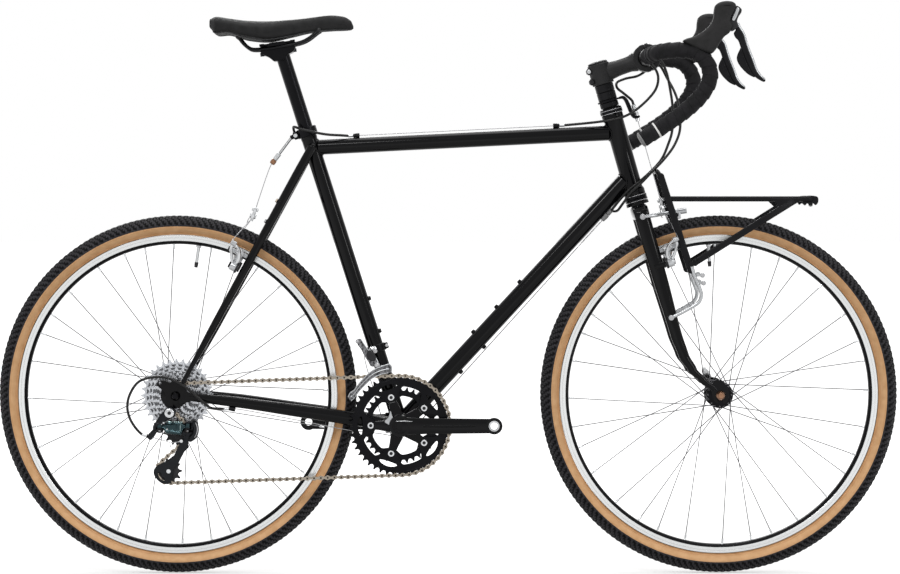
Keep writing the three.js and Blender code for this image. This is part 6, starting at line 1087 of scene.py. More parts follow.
def pillow(shape, outline, y, width, look=0, steps=5, edge=7):
    """An outline given a thickness across the bicycle, with its edge rounded in towards both faces."""
    curve = [Vector((x, 0, z)) for x, z in outline]
    count = len(curve)
    area = sum(curve[i - 1].x * curve[i].z - curve[i].x * curve[i - 1].z for i in range(count))
    inward = []
    for i in range(count):
        heading = (curve[(i + 1) % count] - curve[i - 1]).normalized()
        inward.append(Vector((-heading.z, 0, heading.x)) * (1 if area > 0 else -1))
    # A thin tip is rounded less, so that its two sides don't cross
    limits = [min(edge, 0.42 * depth_inside(curve, i, inward[i])) for i in range(count)]
    even_limits = [min(limits[(i + k) % count] for k in range(-3, 4)) for i in range(count)]
    insets = [sum(even_limits[(i + k) % count] for k in range(-3, 4)) / 7 for i in range(count)]
    rings = []
    for half in (-1, 1):
        for k in range(steps + 1):
            angle = pi / 2 * (k / steps - (1 if half < 0 else 0))
            height = y + half * (width / 2 - edge) + edge * sin(angle)
            shrink = 1 - cos(angle)
            rings.append([curve[i] + inward[i] * (insets[i] * shrink) + SIDE * height for i in range(count)])
    loft(shape, rings, look, "cut")


LEVER_Y, NOSE_PIN = BAR_HALF, (511, 1012)


def lever_bracket(side, name):
    """The rubber hood over the lever's bracket."""
    s = Shape()
    pillow(s, smooth_outline(HOOD_LINE, 1.8), side * (LEVER_Y + 0.5), 32.4, 0, 6, 8)
    dress(name, s, "steering", ["rubber"], "hood_rubber", angle=50)


def lever_pivot(side, tag):
    """The block that carries the blade, with its silver nose cap and pivot pin."""
    s = Shape()
    y = side * LEVER_Y
    pillow(s, smooth_outline(BLOCK_LINE, 1.6), y, 17, 0, 3, 2.4)
    pillow(s, smooth_outline(CAP_LINE, 1.6), y, 19, 1, 4, 3)
    x, z = NOSE_PIN
    rod(s, (x, y - 9.3, z), (x, y + 9.3, z), 3.4, look=2)
    dress(tag + "_lever_pivot", s, tag + "_lever_block", ["plastic", "cast", "black_alloy"], "black_alloy")


def brake_lever(side, tag):
    s = Shape()
    y = side * LEVER_Y
    pillow(s, smooth_outline(BLADE_LINE, 1.8), y, 9.4, 0, 5, 3.6)
    tube(s, spline([(x + 1.2, y, z + 0.4) for x, z in BLADE_EDGE], 3), 2.9, 18, 1)
    dress(tag + "_brake_lever", s, tag + "_lever", ["satin", "cast"], "satin_black", angle=50)


def shift_paddle(side, tag):
    s = Shape()
    y = side * LEVER_Y
    pillow(s, smooth_outline(PADDLE_LINE, 2), y, 5.4, 0, 4, 2)
    ridge = (PADDLE_LINE[0], PADDLE_LINE[8], PADDLE_LINE[7])
    tube(s, spline([(x - 3, y - 2.6, z - 2) for x, z in ridge], 3), 0.7, 8)
    dress(tag + "_shift_paddle", s, tag + "_paddle", ["satin"], "satin_black")


# Seat

SADDLE_BACK, SADDLE_LENGTH, SADDLE_TOP, SADDLE_DEPTH, SADDLE_HALF = -446, 268, 1047, 51, 75
RAIL_Y = 22


def saddle_place(share, y, high):
    """A place by its share of the saddle's length and height."""
    return Vector((SADDLE_BACK + SADDLE_LENGTH * share, y, SADDLE_TOP - SADDLE_DEPTH * (1 - high)))


SADDLE_SHARES = [0, 0.04, 0.13, 0.25, 0.4, 0.55, 0.7, 0.84, 0.94, 0.985, 1]
SADDLE_WIDTHS = [0.5, 0.78, 0.97, 1, 0.76, 0.48, 0.33, 0.28, 0.25, 0.17, 0.06]
SADDLE_TOPS = [0.84, 0.925, 0.86, 0.78, 0.762, 0.82, 0.9, 0.985, 0.93, 0.78, 0.6]
SADDLE_BOTTOMS = [0.5, 0.26, 0.28, 0.1, 0.02, 0.16, 0.33, 0.4, 0.42, 0.44, 0.5]


def even(places, values, place):
    """A smooth value between listed ones."""
    count = len(places)
    i = max(j for j in range(count - 1) if places[j] <= place)
    p0, p1, p2, p3 = (values[min(max(j, 0), count - 1)] for j in (i - 1, i, i + 1, i + 2))
    t = (place - places[i]) / (places[i + 1] - places[i])
    m1, m2 = (p2 - p0) / 2, (p3 - p1) / 2
    rise = 3 * t**2 - 2 * t**3
    return (1 - rise) * p1 + rise * p2 + (t**3 - 2 * t**2 + t) * m1 + (t**3 - t**2) * m2


def saddle_section(share):
    """The half width, the crown, the skirt and the edge between top and side, at a share of the length."""
    half = SADDLE_HALF * even(SADDLE_SHARES, SADDLE_WIDTHS, share)
    crown = saddle_place(share, 0, even(SADDLE_SHARES, SADDLE_TOPS, share)).z
    skirt = min(saddle_place(share, 0, even(SADDLE_SHARES, SADDLE_BOTTOMS, share)).z, crown - 6)
    edge = mix(crown, skirt, 0.55 + 0.1 * (1 - min(half / SADDLE_HALF, 1)))
    return half, crown, skirt, edge


def saddle():
    s = Shape()
    rings = []
    for i in range(64):
        share = 0.5 - 0.5 * cos(pi * (i + 0.3) / 63.6)
        half, crown, skirt, edge = saddle_section(share)
        groove = 2.4 * max(0, sin(pi * min(max((share - 0.1) / 0.6, 0), 1)))
        ring = []
        for angle in turns(48):
            c, q = cos(angle), sin(angle)
            y = half * abs(c) ** 0.8 * (1 if c > 0 else -1)
            if q >= 0:
                # A shallow groove runs along the middle of the cushion
                z = edge + (crown - edge) * q**0.72 - groove * max(0, 1 - (y / 12) ** 2)
            else:
                z = edge - (edge - skirt) * abs(q) ** 0.35
                y *= 1 - 0.14 * q * q
            ring.append(Vector((saddle_place(share, 0, 0).x, y, z)))
        rings.append(ring)
    loft(s, rings)
    cover = dress("saddle", s, "saddle", ["cover", "edge"], "saddle_cover", angle=60, sub=1)


def saddle_seams():
    """The piping and stitching where the cover's panels meet, and the shell's rim below them."""
    s = Shape()
    for side in (RIGHT, LEFT):
        seam, low = [], []
        for i in range(61):
            share = 0.03 + 0.93 * i / 60
            half, _, skirt, edge = saddle_section(share)
            x = saddle_place(share, 0, 0).x
            seam.append(Vector((x, side * (half * 0.985 + 0.1), edge + 2)))
            low.append(Vector((x, side * half * 0.9, skirt + 1.8)))
        tube(s, seam, 0.5, 8)
        tube(s, low, 1.4, 8, 1)
        lift = UP * 2.4 - SIDE * side * 0.45
        for i in range(2, 58):
            for k in range(3):
                stitch = [mix(seam[i], seam[i + 1], k / 3 + share) + lift for share in (0, 0.2)]
                tube(s, stitch, 0.28, 6)
    piece("saddle_seams", s, "saddle", looks("edge", "plastic"))


RAIL_SHARES = [
    (0.2, 0.19), (0.225, 0), (0.265, -0.2), (0.2985, -0.28), (0.627, -0.035), (0.685, 0.1), (0.735, 0.3),
    (0.76, 0.4),
]


def saddle_rails():
    s = Shape()
    for side in (RIGHT, LEFT):
        tube(s, spline([saddle_place(share, side * RAIL_Y, high) for share, high in RAIL_SHARES], 3), 3.5, 24)
        for share, high, size in ((0.2, 0.2, 6), (0.76, 0.42, 5)):
            ball(s, saddle_place(share, side * RAIL_Y, high), size, 1, 8, 18)
    dress("saddle_rails", s, "saddle", ["satin", "plastic"], "satin_black")


POST_TOP, POST_RADIUS, NECK_RADIUS = 738, 13.3, 12.6
RAIL_ALONG = Vector((0.99008, 0, 0.14052))
RAIL_OVER = Vector((-RAIL_ALONG.z, 0, RAIL_ALONG.x))
CRADLE_LINE = [
    (-33, -8), (-30, 1.6), (30, 1.6), (34, -6), (28, -13), (14, -18), (8, -26), (-10, -26), (-18, -17)
]
CLAMP_LINE = [(-19, 1.6), (-19, 5), (-14, 9.6), (14, 9.6), (19, 5), (19, 1.6)]


def seatpost():
    s = Shape()
    centre, top = saddle_place(0.47, 0, -0.19), on_seat(POST_TOP)
    tube(s, [on_seat(430), on_seat(600), top - SEAT_UP * 14], POST_RADIUS, 56)
    neck = spline([top - SEAT_UP * 15, top - SEAT_UP * 6, mix(top, centre, 0.35), mix(top, centre, 0.8)], 3)
    tube(s, neck, [POST_RADIUS] * 2 + [NECK_RADIUS] * (len(neck) - 2), 48)
    # The cradle, the two clamp shells that grip the rails, and the bolts through them
    rail, over = RAIL_ALONG, RAIL_OVER
    plate(s, [rounded(CRADLE_LINE, 3)], centre, 46, 0, 1.2, rail, over)
    for side in (RIGHT, LEFT):
        plate(s, [rounded(CLAMP_LINE, 2)], centre + SIDE * side * RAIL_Y * 0.72, 14, 0, 1, rail, over)
    for sign in (-1, 1):
        place = centre + rail * sign * 29
        for low, high, radius in ((-12, 9, 3), (6, 10.4, 4.8), (-13, -6, 5.4)):
            rod(s, place + over * low, place + over * high, radius, look=1)
        block(s, place - over * 3 - rail * sign * 6, rail, 17, SIDE, 13, over, 7, 0, 1.5)
    block(s, centre + over * 6.6, rail, 66, SIDE, 11, over, 5.4, 0, 1.4)
    dress("seatpost", s, "seatpost", ["black_alloy", "dark"], "black_alloy")


HANGER_BACK = Vector((-0.602, 0, -0.799))
COLLAR_FOOT, COLLAR_HEIGHT = 567, 17
STIRRUP_ROOT = on_seat(574.5, -31)
STIRRUP_STOP = STIRRUP_ROOT + HANGER_BACK * 57


def seat_collar():
    s = Shape()
    high = COLLAR_HEIGHT
    ring = [(14.95, 0), (18.2, 0), (19, 0.9), (19, high - 0.9), (18.2, high), (14.95, high), (14.95, 0)]
    lathe(s, ring, on_seat(COLLAR_FOOT), SEAT_UP, 56)
    back = on_seat(COLLAR_FOOT + high / 2, -21)
    block(s, back, SEAT_FORWARD, 11, SEAT_UP, 15, SIDE, 17, 0, 1.6)
    bolt(s, back - SIDE * 8.4 - SEAT_FORWARD * 1.5, -SIDE, 4, 4.4, 1)
    rod(s, back + SIDE * 8, back + SIDE * 12, 4, look=1)
    # The two-wire stirrup that holds the stop of the rear brake housing
    end, stop, along = STIRRUP_ROOT, STIRRUP_STOP, HANGER_BACK
    block(s, mix(back, end, 0.75), SEAT_FORWARD, 9, SEAT_UP, 8, SIDE, 18, 0, 1.4)
    for y in (-7, 7):
        wires = [end + SIDE * y, mix(end, stop, 0.5) + SIDE * y, stop + SIDE * y * 0.55 - along * 4]
        tube(s, spline(wires, 3), 1.3, 12, 1)
    block(s, stop, along, 10, SIDE, 13, along.cross(SIDE), 10, 2, 1.5)
    hollow_rod(s, stop - along * 19, stop - along * 4, 4.6, 1.4, 24, 1)
    rod(s, stop - SIDE * 7.6, stop + SIDE * 7.6, 3, look=2)
    dress("seat_collar", s, "frame", ["black_alloy", "silver", "copper"], "black_alloy")


# Drivetrain

PITCH = 12.7
RING_BOLTS = [pi + 2 * pi * i / 5 for i in range(5)]
GUIDE, TENSION = (-506, 268), (-521, 195.5)
BOLT_CIRCLE, FIRST_SPROCKET, SPROCKET_STEP = 55, 11, 3.95
SPROCKETS = [11, 12, 14, 16, 18, 20, 22, 25, 28, 32]


def pitch_radius(teeth):
    return PITCH / (2 * sin(pi / teeth))


TOOTH = [
    (-5.3, None), (-4.2, None), (-3.1, None), (-1.9, 0.5), (-1, "tip"), (1, "tip"), (1.9, 0.5), (3.1, None),
    (4.2, None), (5.3, None), (PITCH / 2, None),
]
ROLLER_SEAT = 3.95


def toothed(teeth, cx, cz, phase, tip):
    """A toothed outline with round roller seats between its teeth."""
    points = []
    for i in range(teeth):
        for x, rise in TOOTH:
            if rise is None:
                rise = -sqrt(max(ROLLER_SEAT**2 - (PITCH / 2 - abs(x)) ** 2, 0))
            radius = pitch_radius(teeth) + (tip if rise == "tip" else rise)
            angle = phase + (i + 0.5 + x / PITCH) * 2 * pi / teeth
            points.append((cx + radius * cos(angle), cz + radius * sin(angle)))
    return points


def ring_window(angle):
    """A curved window of the outer chainring, behind the foot of one arm."""
    x, z = BRACKET.x, BRACKET.z
    window = []
    for turn in turns(28):
        across = 17 * cos(turn)
        radial = sqrt(75**2 - across**2) + 4.6 * sin(turn) * (1 - 0.15 * cos(turn) ** 2)
        window.append(
            (x + radial * cos(angle) - across * sin(angle), z + radial * sin(angle) + across * cos(angle))
        )
    return window


def chainring(name, teeth, plane, outer):
    s = Shape()
    x, z = BRACKET.x, BRACKET.z
    inner = []
    for angle in turns(180):
        # The inner edge comes in to a rounded foot at each bolt
        off = min(abs((angle - b + pi) % (2 * pi) - pi) for b in RING_BOLTS) / (pi / 5)
        reach = min(max(off - 0.24, 0) / 0.4, 1)
        radius = 47.5 + (25.5 if outer else 7.5) * (3 * reach**2 - 2 * reach**3)
        inner.append((x + radius * cos(angle), z + radius * sin(angle)))
    holes = [inner]
    for angle in RING_BOLTS:
        holes.append(circle(x + BOLT_CIRCLE * cos(angle), z + BOLT_CIRCLE * sin(angle), 4.9, 24))
        if outer:
            holes.append(ring_window(angle))
    plate(s, [toothed(teeth, x, z, 0, 3)] + holes, (0, plane, 0), 2.6, 0, 0.35)
    if outer:
        # The raised step below the teeth, and the pins that lift the chain
        step = [(85.1, 1.1), (85.7, 1.55), (86.7, 1.55), (87.3, 1.1), (85.1, 1.1)]
        lathe(s, step, (x, plane, z), -SIDE, 144)
        for angle in turns(8):
            pin = Vector((x, plane, z)) + outward(angle + 0.35) * 83
            rod(s, pin - SIDE * 1.2, pin + SIDE * 2.4, 1.9, look=1)
    dress(name, s, "cranks", ["black_alloy", "silver" if outer else "black_alloy"], "black_alloy")


CRANK_INNER, CRANK_OUTER = 56, 71


def crank_arm(s, side, reach):
    """The arm from the spindle to the pedal eye: a rounded bar with a shallow groove on its face."""
    cx, cz = BRACKET.x, BRACKET.z
    rings = []
    for i in range(25):
        share = i / 24
        tall = mix(17, 14.6, min(share * 3, 1)) - 1.6 * max(share - 0.4, 0)
        low = mix(CRANK_INNER, 63, min(share * 1.5, 1))
        high = CRANK_OUTER - 0.6 * sin(pi * min(share * 1.1, 1))
        centre = Vector((cx + reach * mix(0.02, 0.955, share), side * (low + high) / 2, cz))
        rings.append(oval(centre, SIDE, (high - low) / 2, UP, tall, 32, 0.55))
    loft(s, rings)
    groove = [(cx + reach * share, side * y, cz) for share, y in ((0.24, 70.6), (0.52, 70.3), (0.8, 70.6))]
    tube(s, groove, [1.6, 2.4, 1.6], 12)
    # The pedal eye, its thread and the washer face round it
    eye = [
        (7.2, 63.5), (14.6, 63.5), (15.5, 64.4), (15.5, 70.1), (14.6, 71), (9.2, 71), (8.6, 70.4), (7.2, 70.4)
    ]
    washer = [(7.3, 70.5), (9, 71.1), (9.9, 71.1), (9.9, 70.2), (7.3, 70.5)]
    place = (cx + reach, 0, cz)
    lathe(s, [(r, h * side) for r, h in eye + eye[:1]], place, SIDE, 56)
    for k in range(5):
        h = 64.2 + k * 1.25
        lathe(s, [(7.3, h * side), (6.9, (h + 0.5) * side), (7.3, (h + 1) * side)], place, SIDE, 40, 1)
    lathe(s, [(r, h * side) for r, h in washer], place, SIDE, 48, 1)


RIGHT_HUB = [
    (0, 43), (17, 43), (21, 44), (21.6, 50), (21.6, 62), (20.4, 69.4), (18.6, 71), (14.2, 71), (13.8, 69.2),
    (11.6, 69.2), (11.2, 70.2), (8, 70.2), (7.6, 68), (0, 68),
]
CHAINRING_BOLT = [
    (3.1, 38.2), (6.4, 38.2), (6.4, 39.4), (4.6, 39.4), (4.6, 48.4), (5.9, 48.4), (5.9, 49.8), (5.2, 50.4),
    (3.1, 50.4), (3.1, 46),
]
HUB_HIGHLIGHT = [(-18, 28), (-14, 17), (-9, 9), (-7, -8), (-10, -17), (-16, -12), (-19, 0), (-29, 8), (-22, 16)]


def spider_arm(s, angle):
    """One arm of the spider, with its chainring bolt."""
    out = outward(angle)
    across = out.cross(SIDE)
    rings = []
    for i in range(17):
        share = i / 16
        half = mix(13, 8.2, min(share * 1.7, 1))
        if share >= 0.9:
            half *= sqrt(max(1 - ((share - 0.9) / 0.115) ** 2, 0.05))
        low = mix(47, 43.4, min(share * 1.4, 1))
        high = mix(60, 48.6 if share < 0.72 else 45.5, min(share * 1.25, 1)) if share < 0.78 else 45.6
        centre = BRACKET + out * mix(14, 62, share) - SIDE * (low + high) / 2
        rings.append(oval(centre, across, half, SIDE, (high - low) / 2, 24, 0.5))
    loft(s, rings)
    place = BRACKET + out * BOLT_CIRCLE
    lathe(s, CHAINRING_BOLT, place, -SIDE, 32, 1)
    bolt(s, place - SIDE * 49.2, -SIDE, 3.4, 1.4, 3, 2)


def right_crank():
    s = Shape()
    crank_arm(s, RIGHT, CRANK_LENGTH)
    lathe(s, [(r, -h) for r, h in RIGHT_HUB], BRACKET, SIDE, 72)
    for angle in turns(12):
        notch = BRACKET + outward(angle) * 9.7
        rod(s, notch - SIDE * 69.6, notch - SIDE * 70.5, 0.9, sides=10)
    rod(s, BRACKET - SIDE * 52, BRACKET + SIDE * 70, 11.9, sides=40, look=2)
    for angle in RING_BOLTS:
        spider_arm(s, angle)
    # Painted highlights: a pale patch on the hub and a pale line along the arm
    cx, cz = BRACKET.x, BRACKET.z
    pillow(s, smooth_outline(shifted(HUB_HIGHLIGHT, cx, cz), 2), -62.6, 3, 4, 3, 1.2)
    tube(
        s, [(cx - 8, -70.4, cz + 9.4), (cx + 8, -70.6, cz + 9.8), (cx + 24, -70.2, cz + 8.6)],
        [0.4, 1.1, 0.3], 10, 1
    )
    dress("right_crank", s, "cranks", ["paint", "silver", "steel", "shade", "cast"], "black_alloy")


def left_crank():
    s = Shape()
    crank_arm(s, LEFT, -CRANK_LENGTH)
    hub = [(12.2, 42.4), (19.4, 42.4), (21, 44), (21, 66), (19.6, 70.2), (17.6, 71), (12.2, 71), (12.2, 42.4)]
    lathe(s, hub, BRACKET, SIDE, 64)
    lathe(
        s, [(0, 70.2), (6, 70.2), (7, 69.4), (11.4, 69.4), (12.1, 70), (12.1, 66), (0, 66)], BRACKET, SIDE,
        48, 1
    )
    for x in (-26, -19):
        pinch = BRACKET + Vector((x, 57, 0))
        bolt(s, pinch - UP * 17.4, -UP, 3.4, 3, 1)
        rod(s, pinch + UP * 12, pinch + UP * 18.4, 3.6)
    dress("left_crank", s, "cranks", ["paint", "steel"], "black_alloy")


LOCK_RING = [(5.6, 66), (11, 66), (12.4, 65.4), (16.6, 65), (17, 63.2), (15, 62.8), (5.6, 62.8), (5.6, 66)]
SMALL_BORE, LARGE_BORE, WINDOW_INNER = 15.2, 18.5, 21.5


def hole_round_axle(radius, angle, size):
    return circle(REAR_AXLE.x + radius * cos(angle), REAR_AXLE.z + radius * sin(angle), size, 20)


def sprocket_windows(radius, turned):
    """Windows between the arms of a larger sprocket, in one or two rows."""
    x, z = REAR_AXLE.x, REAR_AXLE.z
    count = 10 if radius < 55 else 12
    inner, outer = WINDOW_INNER, radius - 9.5
    spread, offset = 2 * pi / count * 0.32, pi / count * 0.5
    made = []
    for k in range(count):
        middle = 2 * pi * (k + turned) / count
        if outer - inner <= 18:
            made.append(hole_round_axle(mix(inner, outer, 0.5), middle, min((outer - inner) * 0.45, 6)))
            continue
        split = mix(inner, outer, 0.5)
        window = arc(x, z, split - 1.6, middle - spread, middle + spread, 6)
        window += arc(x, z, inner, middle + spread * 0.9, middle - spread * 0.9, 6)
        made.append(rounded(window, 2))
        for side in (-1, 1):
            size = min((outer - split) * 0.4, 5.2)
            made.append(hole_round_axle(mix(split, outer, 0.55), middle + side * offset, size))
    return made


def cassette():
    s = Shape()
    x, z = REAR_AXLE.x, REAR_AXLE.z
    last = len(SPROCKETS) - 1
    for i, teeth in enumerate(SPROCKETS):
        plane = SPROCKET_PLANE + i * SPROCKET_STEP
        radius = pitch_radius(teeth)
        holes = [circle(x, z, SMALL_BORE if radius < 36 else LARGE_BORE, 40)]
        if radius > 38:
            holes += sprocket_windows(radius, 0.5 * (i % 2))
        plate(s, [toothed(teeth, x, z, i * 0.21, 2.7)] + holes, (0, plane, 0), 1.6, 0, 0.25)
        if i < last:
            # A dark disc painted as the shade in the gap round the foot of the next sprocket's teeth
            gap = min(radius + 0.6, pitch_radius(SPROCKETS[i + 1]) - 2)
            hollow_rod(s, (x, plane + 2.8, z), (x, plane + 3.1, z), gap, 15.4, 64, 3, 0.05)
        if 0 < i < last:
            hollow_rod(s, (x, plane + 0.8, z), (x, plane + 3.15, z), 18.4, 15.5, 40, 2)
    lathe(s, [(r, -h) for r, h in LOCK_RING], REAR_AXLE, SIDE, 48, 1)
    for angle in turns(12):
        notch = REAR_AXLE + outward(angle) * 12
        rod(s, notch - SIDE * 65.2, notch - SIDE * 66.2, 1.2, sides=10, look=2)
    hollow_rod(s, (x, -62.5, z), (x, -23, z), 15.4, 5.6, 48, 2)
    dress("cassette", s, "sprockets", ["sprocket", "steel", "black_alloy", "gap"], "silver_alloy")


CHAIN_LEAVES, CHAIN_MEETS = 38.1, 20.3
LINK_RADIUS, LINK_WAIST = 4.3, 1.9
OUTER_LINK, INNER_LINK = (2.3, 3.1), (1.45, 2.2)


def touch(start, end):
    """Where the straight run between two wheels of the chain leaves the first and meets the second."""
    (ax, az, ar, aturn), (bx, bz, br, bturn) = start, end
    dx, dz = bx - ax, bz - az
    heading = atan2(dz, dx) + asin((bturn * br - aturn * ar) / hypot(dx, dz))
    nx, nz = cos(heading + pi / 2), sin(heading + pi / 2)
    return (ax + aturn * ar * nx, az + aturn * ar * nz), (bx + bturn * br * nx, bz + bturn * br * nz)


def chain_plane(x):
    """The chain's place across the bicycle: in the plane of the ring, of the sprocket, or between them."""
    front, rear = BRACKET.x - CHAIN_LEAVES, REAR_AXLE.x + CHAIN_MEETS
    return mix(OUTER_PLANE, SPROCKET_PLANE, min(max((front - x) / (front - rear), 0), 1))


def chain_path():
    """The loop of the chain in the bicycle's plane, over the ring, both pulleys and the smallest sprocket."""
    small = pitch_radius(FIRST_SPROCKET)
    ring = (BRACKET.x, BRACKET.z, pitch_radius(OUTER_TEETH), 1)
    sprocket = (REAR_AXLE.x, REAR_AXLE.z, small, 1)
    wheels = [ring, (*TENSION, small, 1), (*GUIDE, small, -1), sprocket]
    points = []
    for i, wheel in enumerate(wheels):
        x, z, radius, turn = wheel
        arrive = touch(wheels[i - 1], wheel)[1]
        leave, following = touch(wheel, wheels[(i + 1) % 4])
        start, end = atan2(arrive[1] - z, arrive[0] - x), atan2(leave[1] - z, leave[0] - x)
        while (end - start) * -turn < 0:
            end += -turn * 2 * pi
        points += arc(x, z, radius, start, end, max(int(abs(end - start) * radius), 4))
        points += [
            (mix(leave[0], following[0], k / 60), mix(leave[1], following[1], k / 60)) for k in range(1, 60)
        ]
    return points


def chain_pins():
    """The places of the chain's pins, one pitch apart round the loop."""
    points = chain_path()
    points.append(points[0])
    along = [0.0]
    for a, b in zip(points, points[1:]):
        along.append(along[-1] + hypot(b[0] - a[0], b[1] - a[1]))
    count = 2 * round(along[-1] / PITCH / 2)
    pins, at = [], 0
    for k in range(count):
        goal = along[-1] * k / count
        while along[at + 1] < goal:
            at += 1
        share = (goal - along[at]) / max(along[at + 1] - along[at], 1e-9)
        x, z = mix(points[at][0], points[at + 1][0], share), mix(points[at][1], points[at + 1][1], share)
        pins.append(Vector((x, chain_plane(x), z)))
    return pins


def chain():
    s = Shape()
    pins = chain_pins()
    for k, a in enumerate(pins):
        b = pins[(k + 1) % len(pins)]
        heading = (b - a).normalized()
        over = heading.cross(SIDE).normalized()
        length = (b - a).length
        outline = []
        for end, base in ((length, -pi / 2), (0, pi / 2)):
            outline += arc(end, 0, LINK_RADIUS, base, base + pi, 8)
            outline.append((length / 2, LINK_WAIST if end else -LINK_WAIST))
        low, high = OUTER_LINK if k % 2 else INNER_LINK
        for side in (-1, 1):
            rings = []
            for h, grow in ((low, 1), (high - 0.25, 1), (high, 0.93)):
                middle = a + heading * length / 2 + SIDE * side * h
                rings.append(
                    [middle + heading * ((u - length / 2) * grow) + over * (v * grow) for u, v in outline]
                )
            loft(s, rings)
        rod(s, a - SIDE * 1.5, a + SIDE * 1.5, 3.85, sides=16, chamfer=0.2)
        rod(s, a - SIDE * 3.4, a + SIDE * 3.4, 1.8, sides=12, look=1, chamfer=0.3)
    dress("chain", s, "frame", ["chain", "pin"], "chain_steel")


def pulley(name, body, centre, phase):
    s = Shape()
    x, z = centre
    plate(
        s, [toothed(FIRST_SPROCKET, x, z, phase, 2.4), circle(x, z, 3.2, 20)], (0, SPROCKET_PLANE, 0), 2.2, 0,
        0.3
    )
    for half, outer, inner, sides, tone in ((2, 6.4, 3.2, 32, 1), (1.6, 17, 14.4, 48, 0)):
        hollow_rod(s, (x, SPROCKET_PLANE - half, z), (x, SPROCKET_PLANE + half, z), outer, inner, sides, tone)
    dress(name, s, body, ["plastic", "black_alloy"], "black_plastic")


# Rear derailleur

LINK_TILT, CABLE_TILT = radians(37.7), radians(15)
PIVOT_AXIS = Vector((0, sin(LINK_TILT), cos(LINK_TILT)))
LINK_INWARD = Vector((0, cos(LINK_TILT), -sin(LINK_TILT)))
KNUCKLE_PIVOT, BRACKET_PIVOT = Vector((-484, -84.3, 278)), Vector((-536, -84.3, 278))
CAGE_PIVOT = (-480.5, 272.5)
BARREL = Vector((-554, -84.3, 260.7))
CABLE_AIM = Vector((cos(CABLE_TILT), 0, -sin(CABLE_TILT)))
BRACKET_LINE = [
    (-9, 5), (-3, 10.5), (6, 10), (11.5, 3), (10, -6), (1, -11), (-9, -17), (-17, -25), (-23, -32.5),
    (-29, -33), (-31, -26), (-24, -14), (-18, -4),
]
BRACKET_BOLT = [(0, -1), (7.4, -1), (8.6, 0.2), (8.6, 2.2), (7.4, 3.2), (4.8, 3.4), (4.6, 1.4), (0, 1.4)]


def link_eyes(s, pivot, toward):
    """The two eyes and the web that hold one end of the link, on the side that a direction gives."""
    for sign in (-1, 1):
        centre = pivot + PIVOT_AXIS * sign * 6.4
        rod(s, centre - PIVOT_AXIS * 1.5, centre + PIVOT_AXIS * 1.5, 7, sides=32)
        rod(s, centre + PIVOT_AXIS * sign * 1.2, centre + PIVOT_AXIS * sign * 2.2, 2.4, look=1)
    block(
        s, pivot + toward * 8.6, FORWARD, 4.6, LINK_INWARD, 12.6, PIVOT_AXIS, 15.6, 0,
        1.2 if toward.x < 0 else 1.6
    )


def rear_derailleur_bracket():
    s = Shape()
    x, z = REAR_AXLE.x + HANGER_X, REAR_AXLE.z + HANGER_Z
    pillow(s, smooth_outline(shifted(BRACKET_LINE, x, z), 1.6), -81.6, 13, 0, 4, 3.2)
    lathe(s, BRACKET_BOLT, (x, -88, z), -SIDE, 40, 1)
    leg = shifted([(-9, 8), (1, 9), (-2, -2)], BRACKET_PIVOT.x, BRACKET_PIVOT.z)
    leg += shifted([(6, -2), (1, -6), (-4, -3), (-3.6, 4)], BARREL.x, BARREL.z)
    leg += shifted([(-12, -2)], BRACKET_PIVOT.x, BRACKET_PIVOT.z)
    pillow(s, smooth_outline(leg, 1.6), -84.6, 8.6, 0, 4, 2.6)
    # A dark disc over the hanger bolt's socket, painted as the shade inside it
    rod(s, (x, -91.2, z), (x, -91.8, z), 3.4, look=3)
    link_eyes(s, BRACKET_PIVOT, -FORWARD)
    # The adjuster barrel with its finger grooves, and the silver socket that it turns in
    for k in range(5):
        start = BARREL - CABLE_AIM * (6.2 - k * 1.7)
        hollow_rod(s, start, start + CABLE_AIM * 1.25, 4, 1.2, 24, 2, 0.3)
    hollow_rod(s, BARREL - CABLE_AIM * 6, BARREL + CABLE_AIM * 6.4, 3.3, 1.2, 24, 2)
    block(s, BARREL + CABLE_AIM * 4.5, CABLE_AIM, 4, UP, 6, SIDE, 7.6, 1, 0.8)
    for dx, dz in ((-15.5, -21), (-11, -18)):
        bolt(s, (x + dx, -86.6, z + dz), -SIDE, 1.9, 1.1, 1, 0.9)
    names = ["dark", "silver", "black_alloy", "shade"]
    dress("rear_derailleur_bracket", s, "rear_derailleur_mount", names, "satin_black")


def on_link(share, high=0, outer=0):
    """A place along the link, above its middle line and out from it."""
    return mix(BRACKET_PIVOT, KNUCKLE_PIVOT, share) + PIVOT_AXIS * high - LINK_INWARD * outer


def rear_derailleur_link():
    s = Shape()
    rings = []
    for i in range(25):
        share = i / 24
        rise = min(max(min(share, 1 - share) - 0.15, 0) / 0.07, 1)
        centre = on_link(share, -mix(0.6, 3.6, share) * rise)
        tall = mix(4.2, mix(10.5, 14.5, share), rise)
        rings.append(oval(centre, LINK_INWARD, 4.4, PIVOT_AXIS, tall, 32, 0.55))
    loft(s, rings)
    # Long ribs, two short ones across them, and the stop screw; one long and one short rib take a pale tone as
    # painted highlights
    for first, last, high, tone in ((0.2, 0.8, 9.6, 1), (0.24, 0.78, 6.6, 0), (0.3, 0.76, -9.6, 0)):
        line = spline([on_link(mix(first, last, t), high, 4.1) for t in (0, 0.35, 0.7, 1)], 3)
        tube(s, line, [0.5, 1.3, 1.6, 1.2] + [0.5] * (len(line) - 4), 8, tone)
    for share, low, high, tone in ((0.74, -13, 9, 1), (0.6, -9, 6, 0)):
        places = ((low, 4), (mix(low, high, 0.5), 4.5), (high, 4))
        tube(s, [on_link(share, rise, outer) for rise, outer in places], [0.4, 1.5, 0.5], 8, tone)
    rod(s, on_link(0.27, -7, 4), on_link(0.27, -7, 4.9), 1.7, look=2)
    for pivot in (BRACKET_PIVOT, KNUCKLE_PIVOT):
        rod(s, pivot - PIVOT_AXIS * 4.4, pivot + PIVOT_AXIS * 4.4, 6.9, sides=32)
    dress("rear_derailleur_link", s, "rear_derailleur_arm", ["teal", "highlight_streak", "silver"], "satin_black")


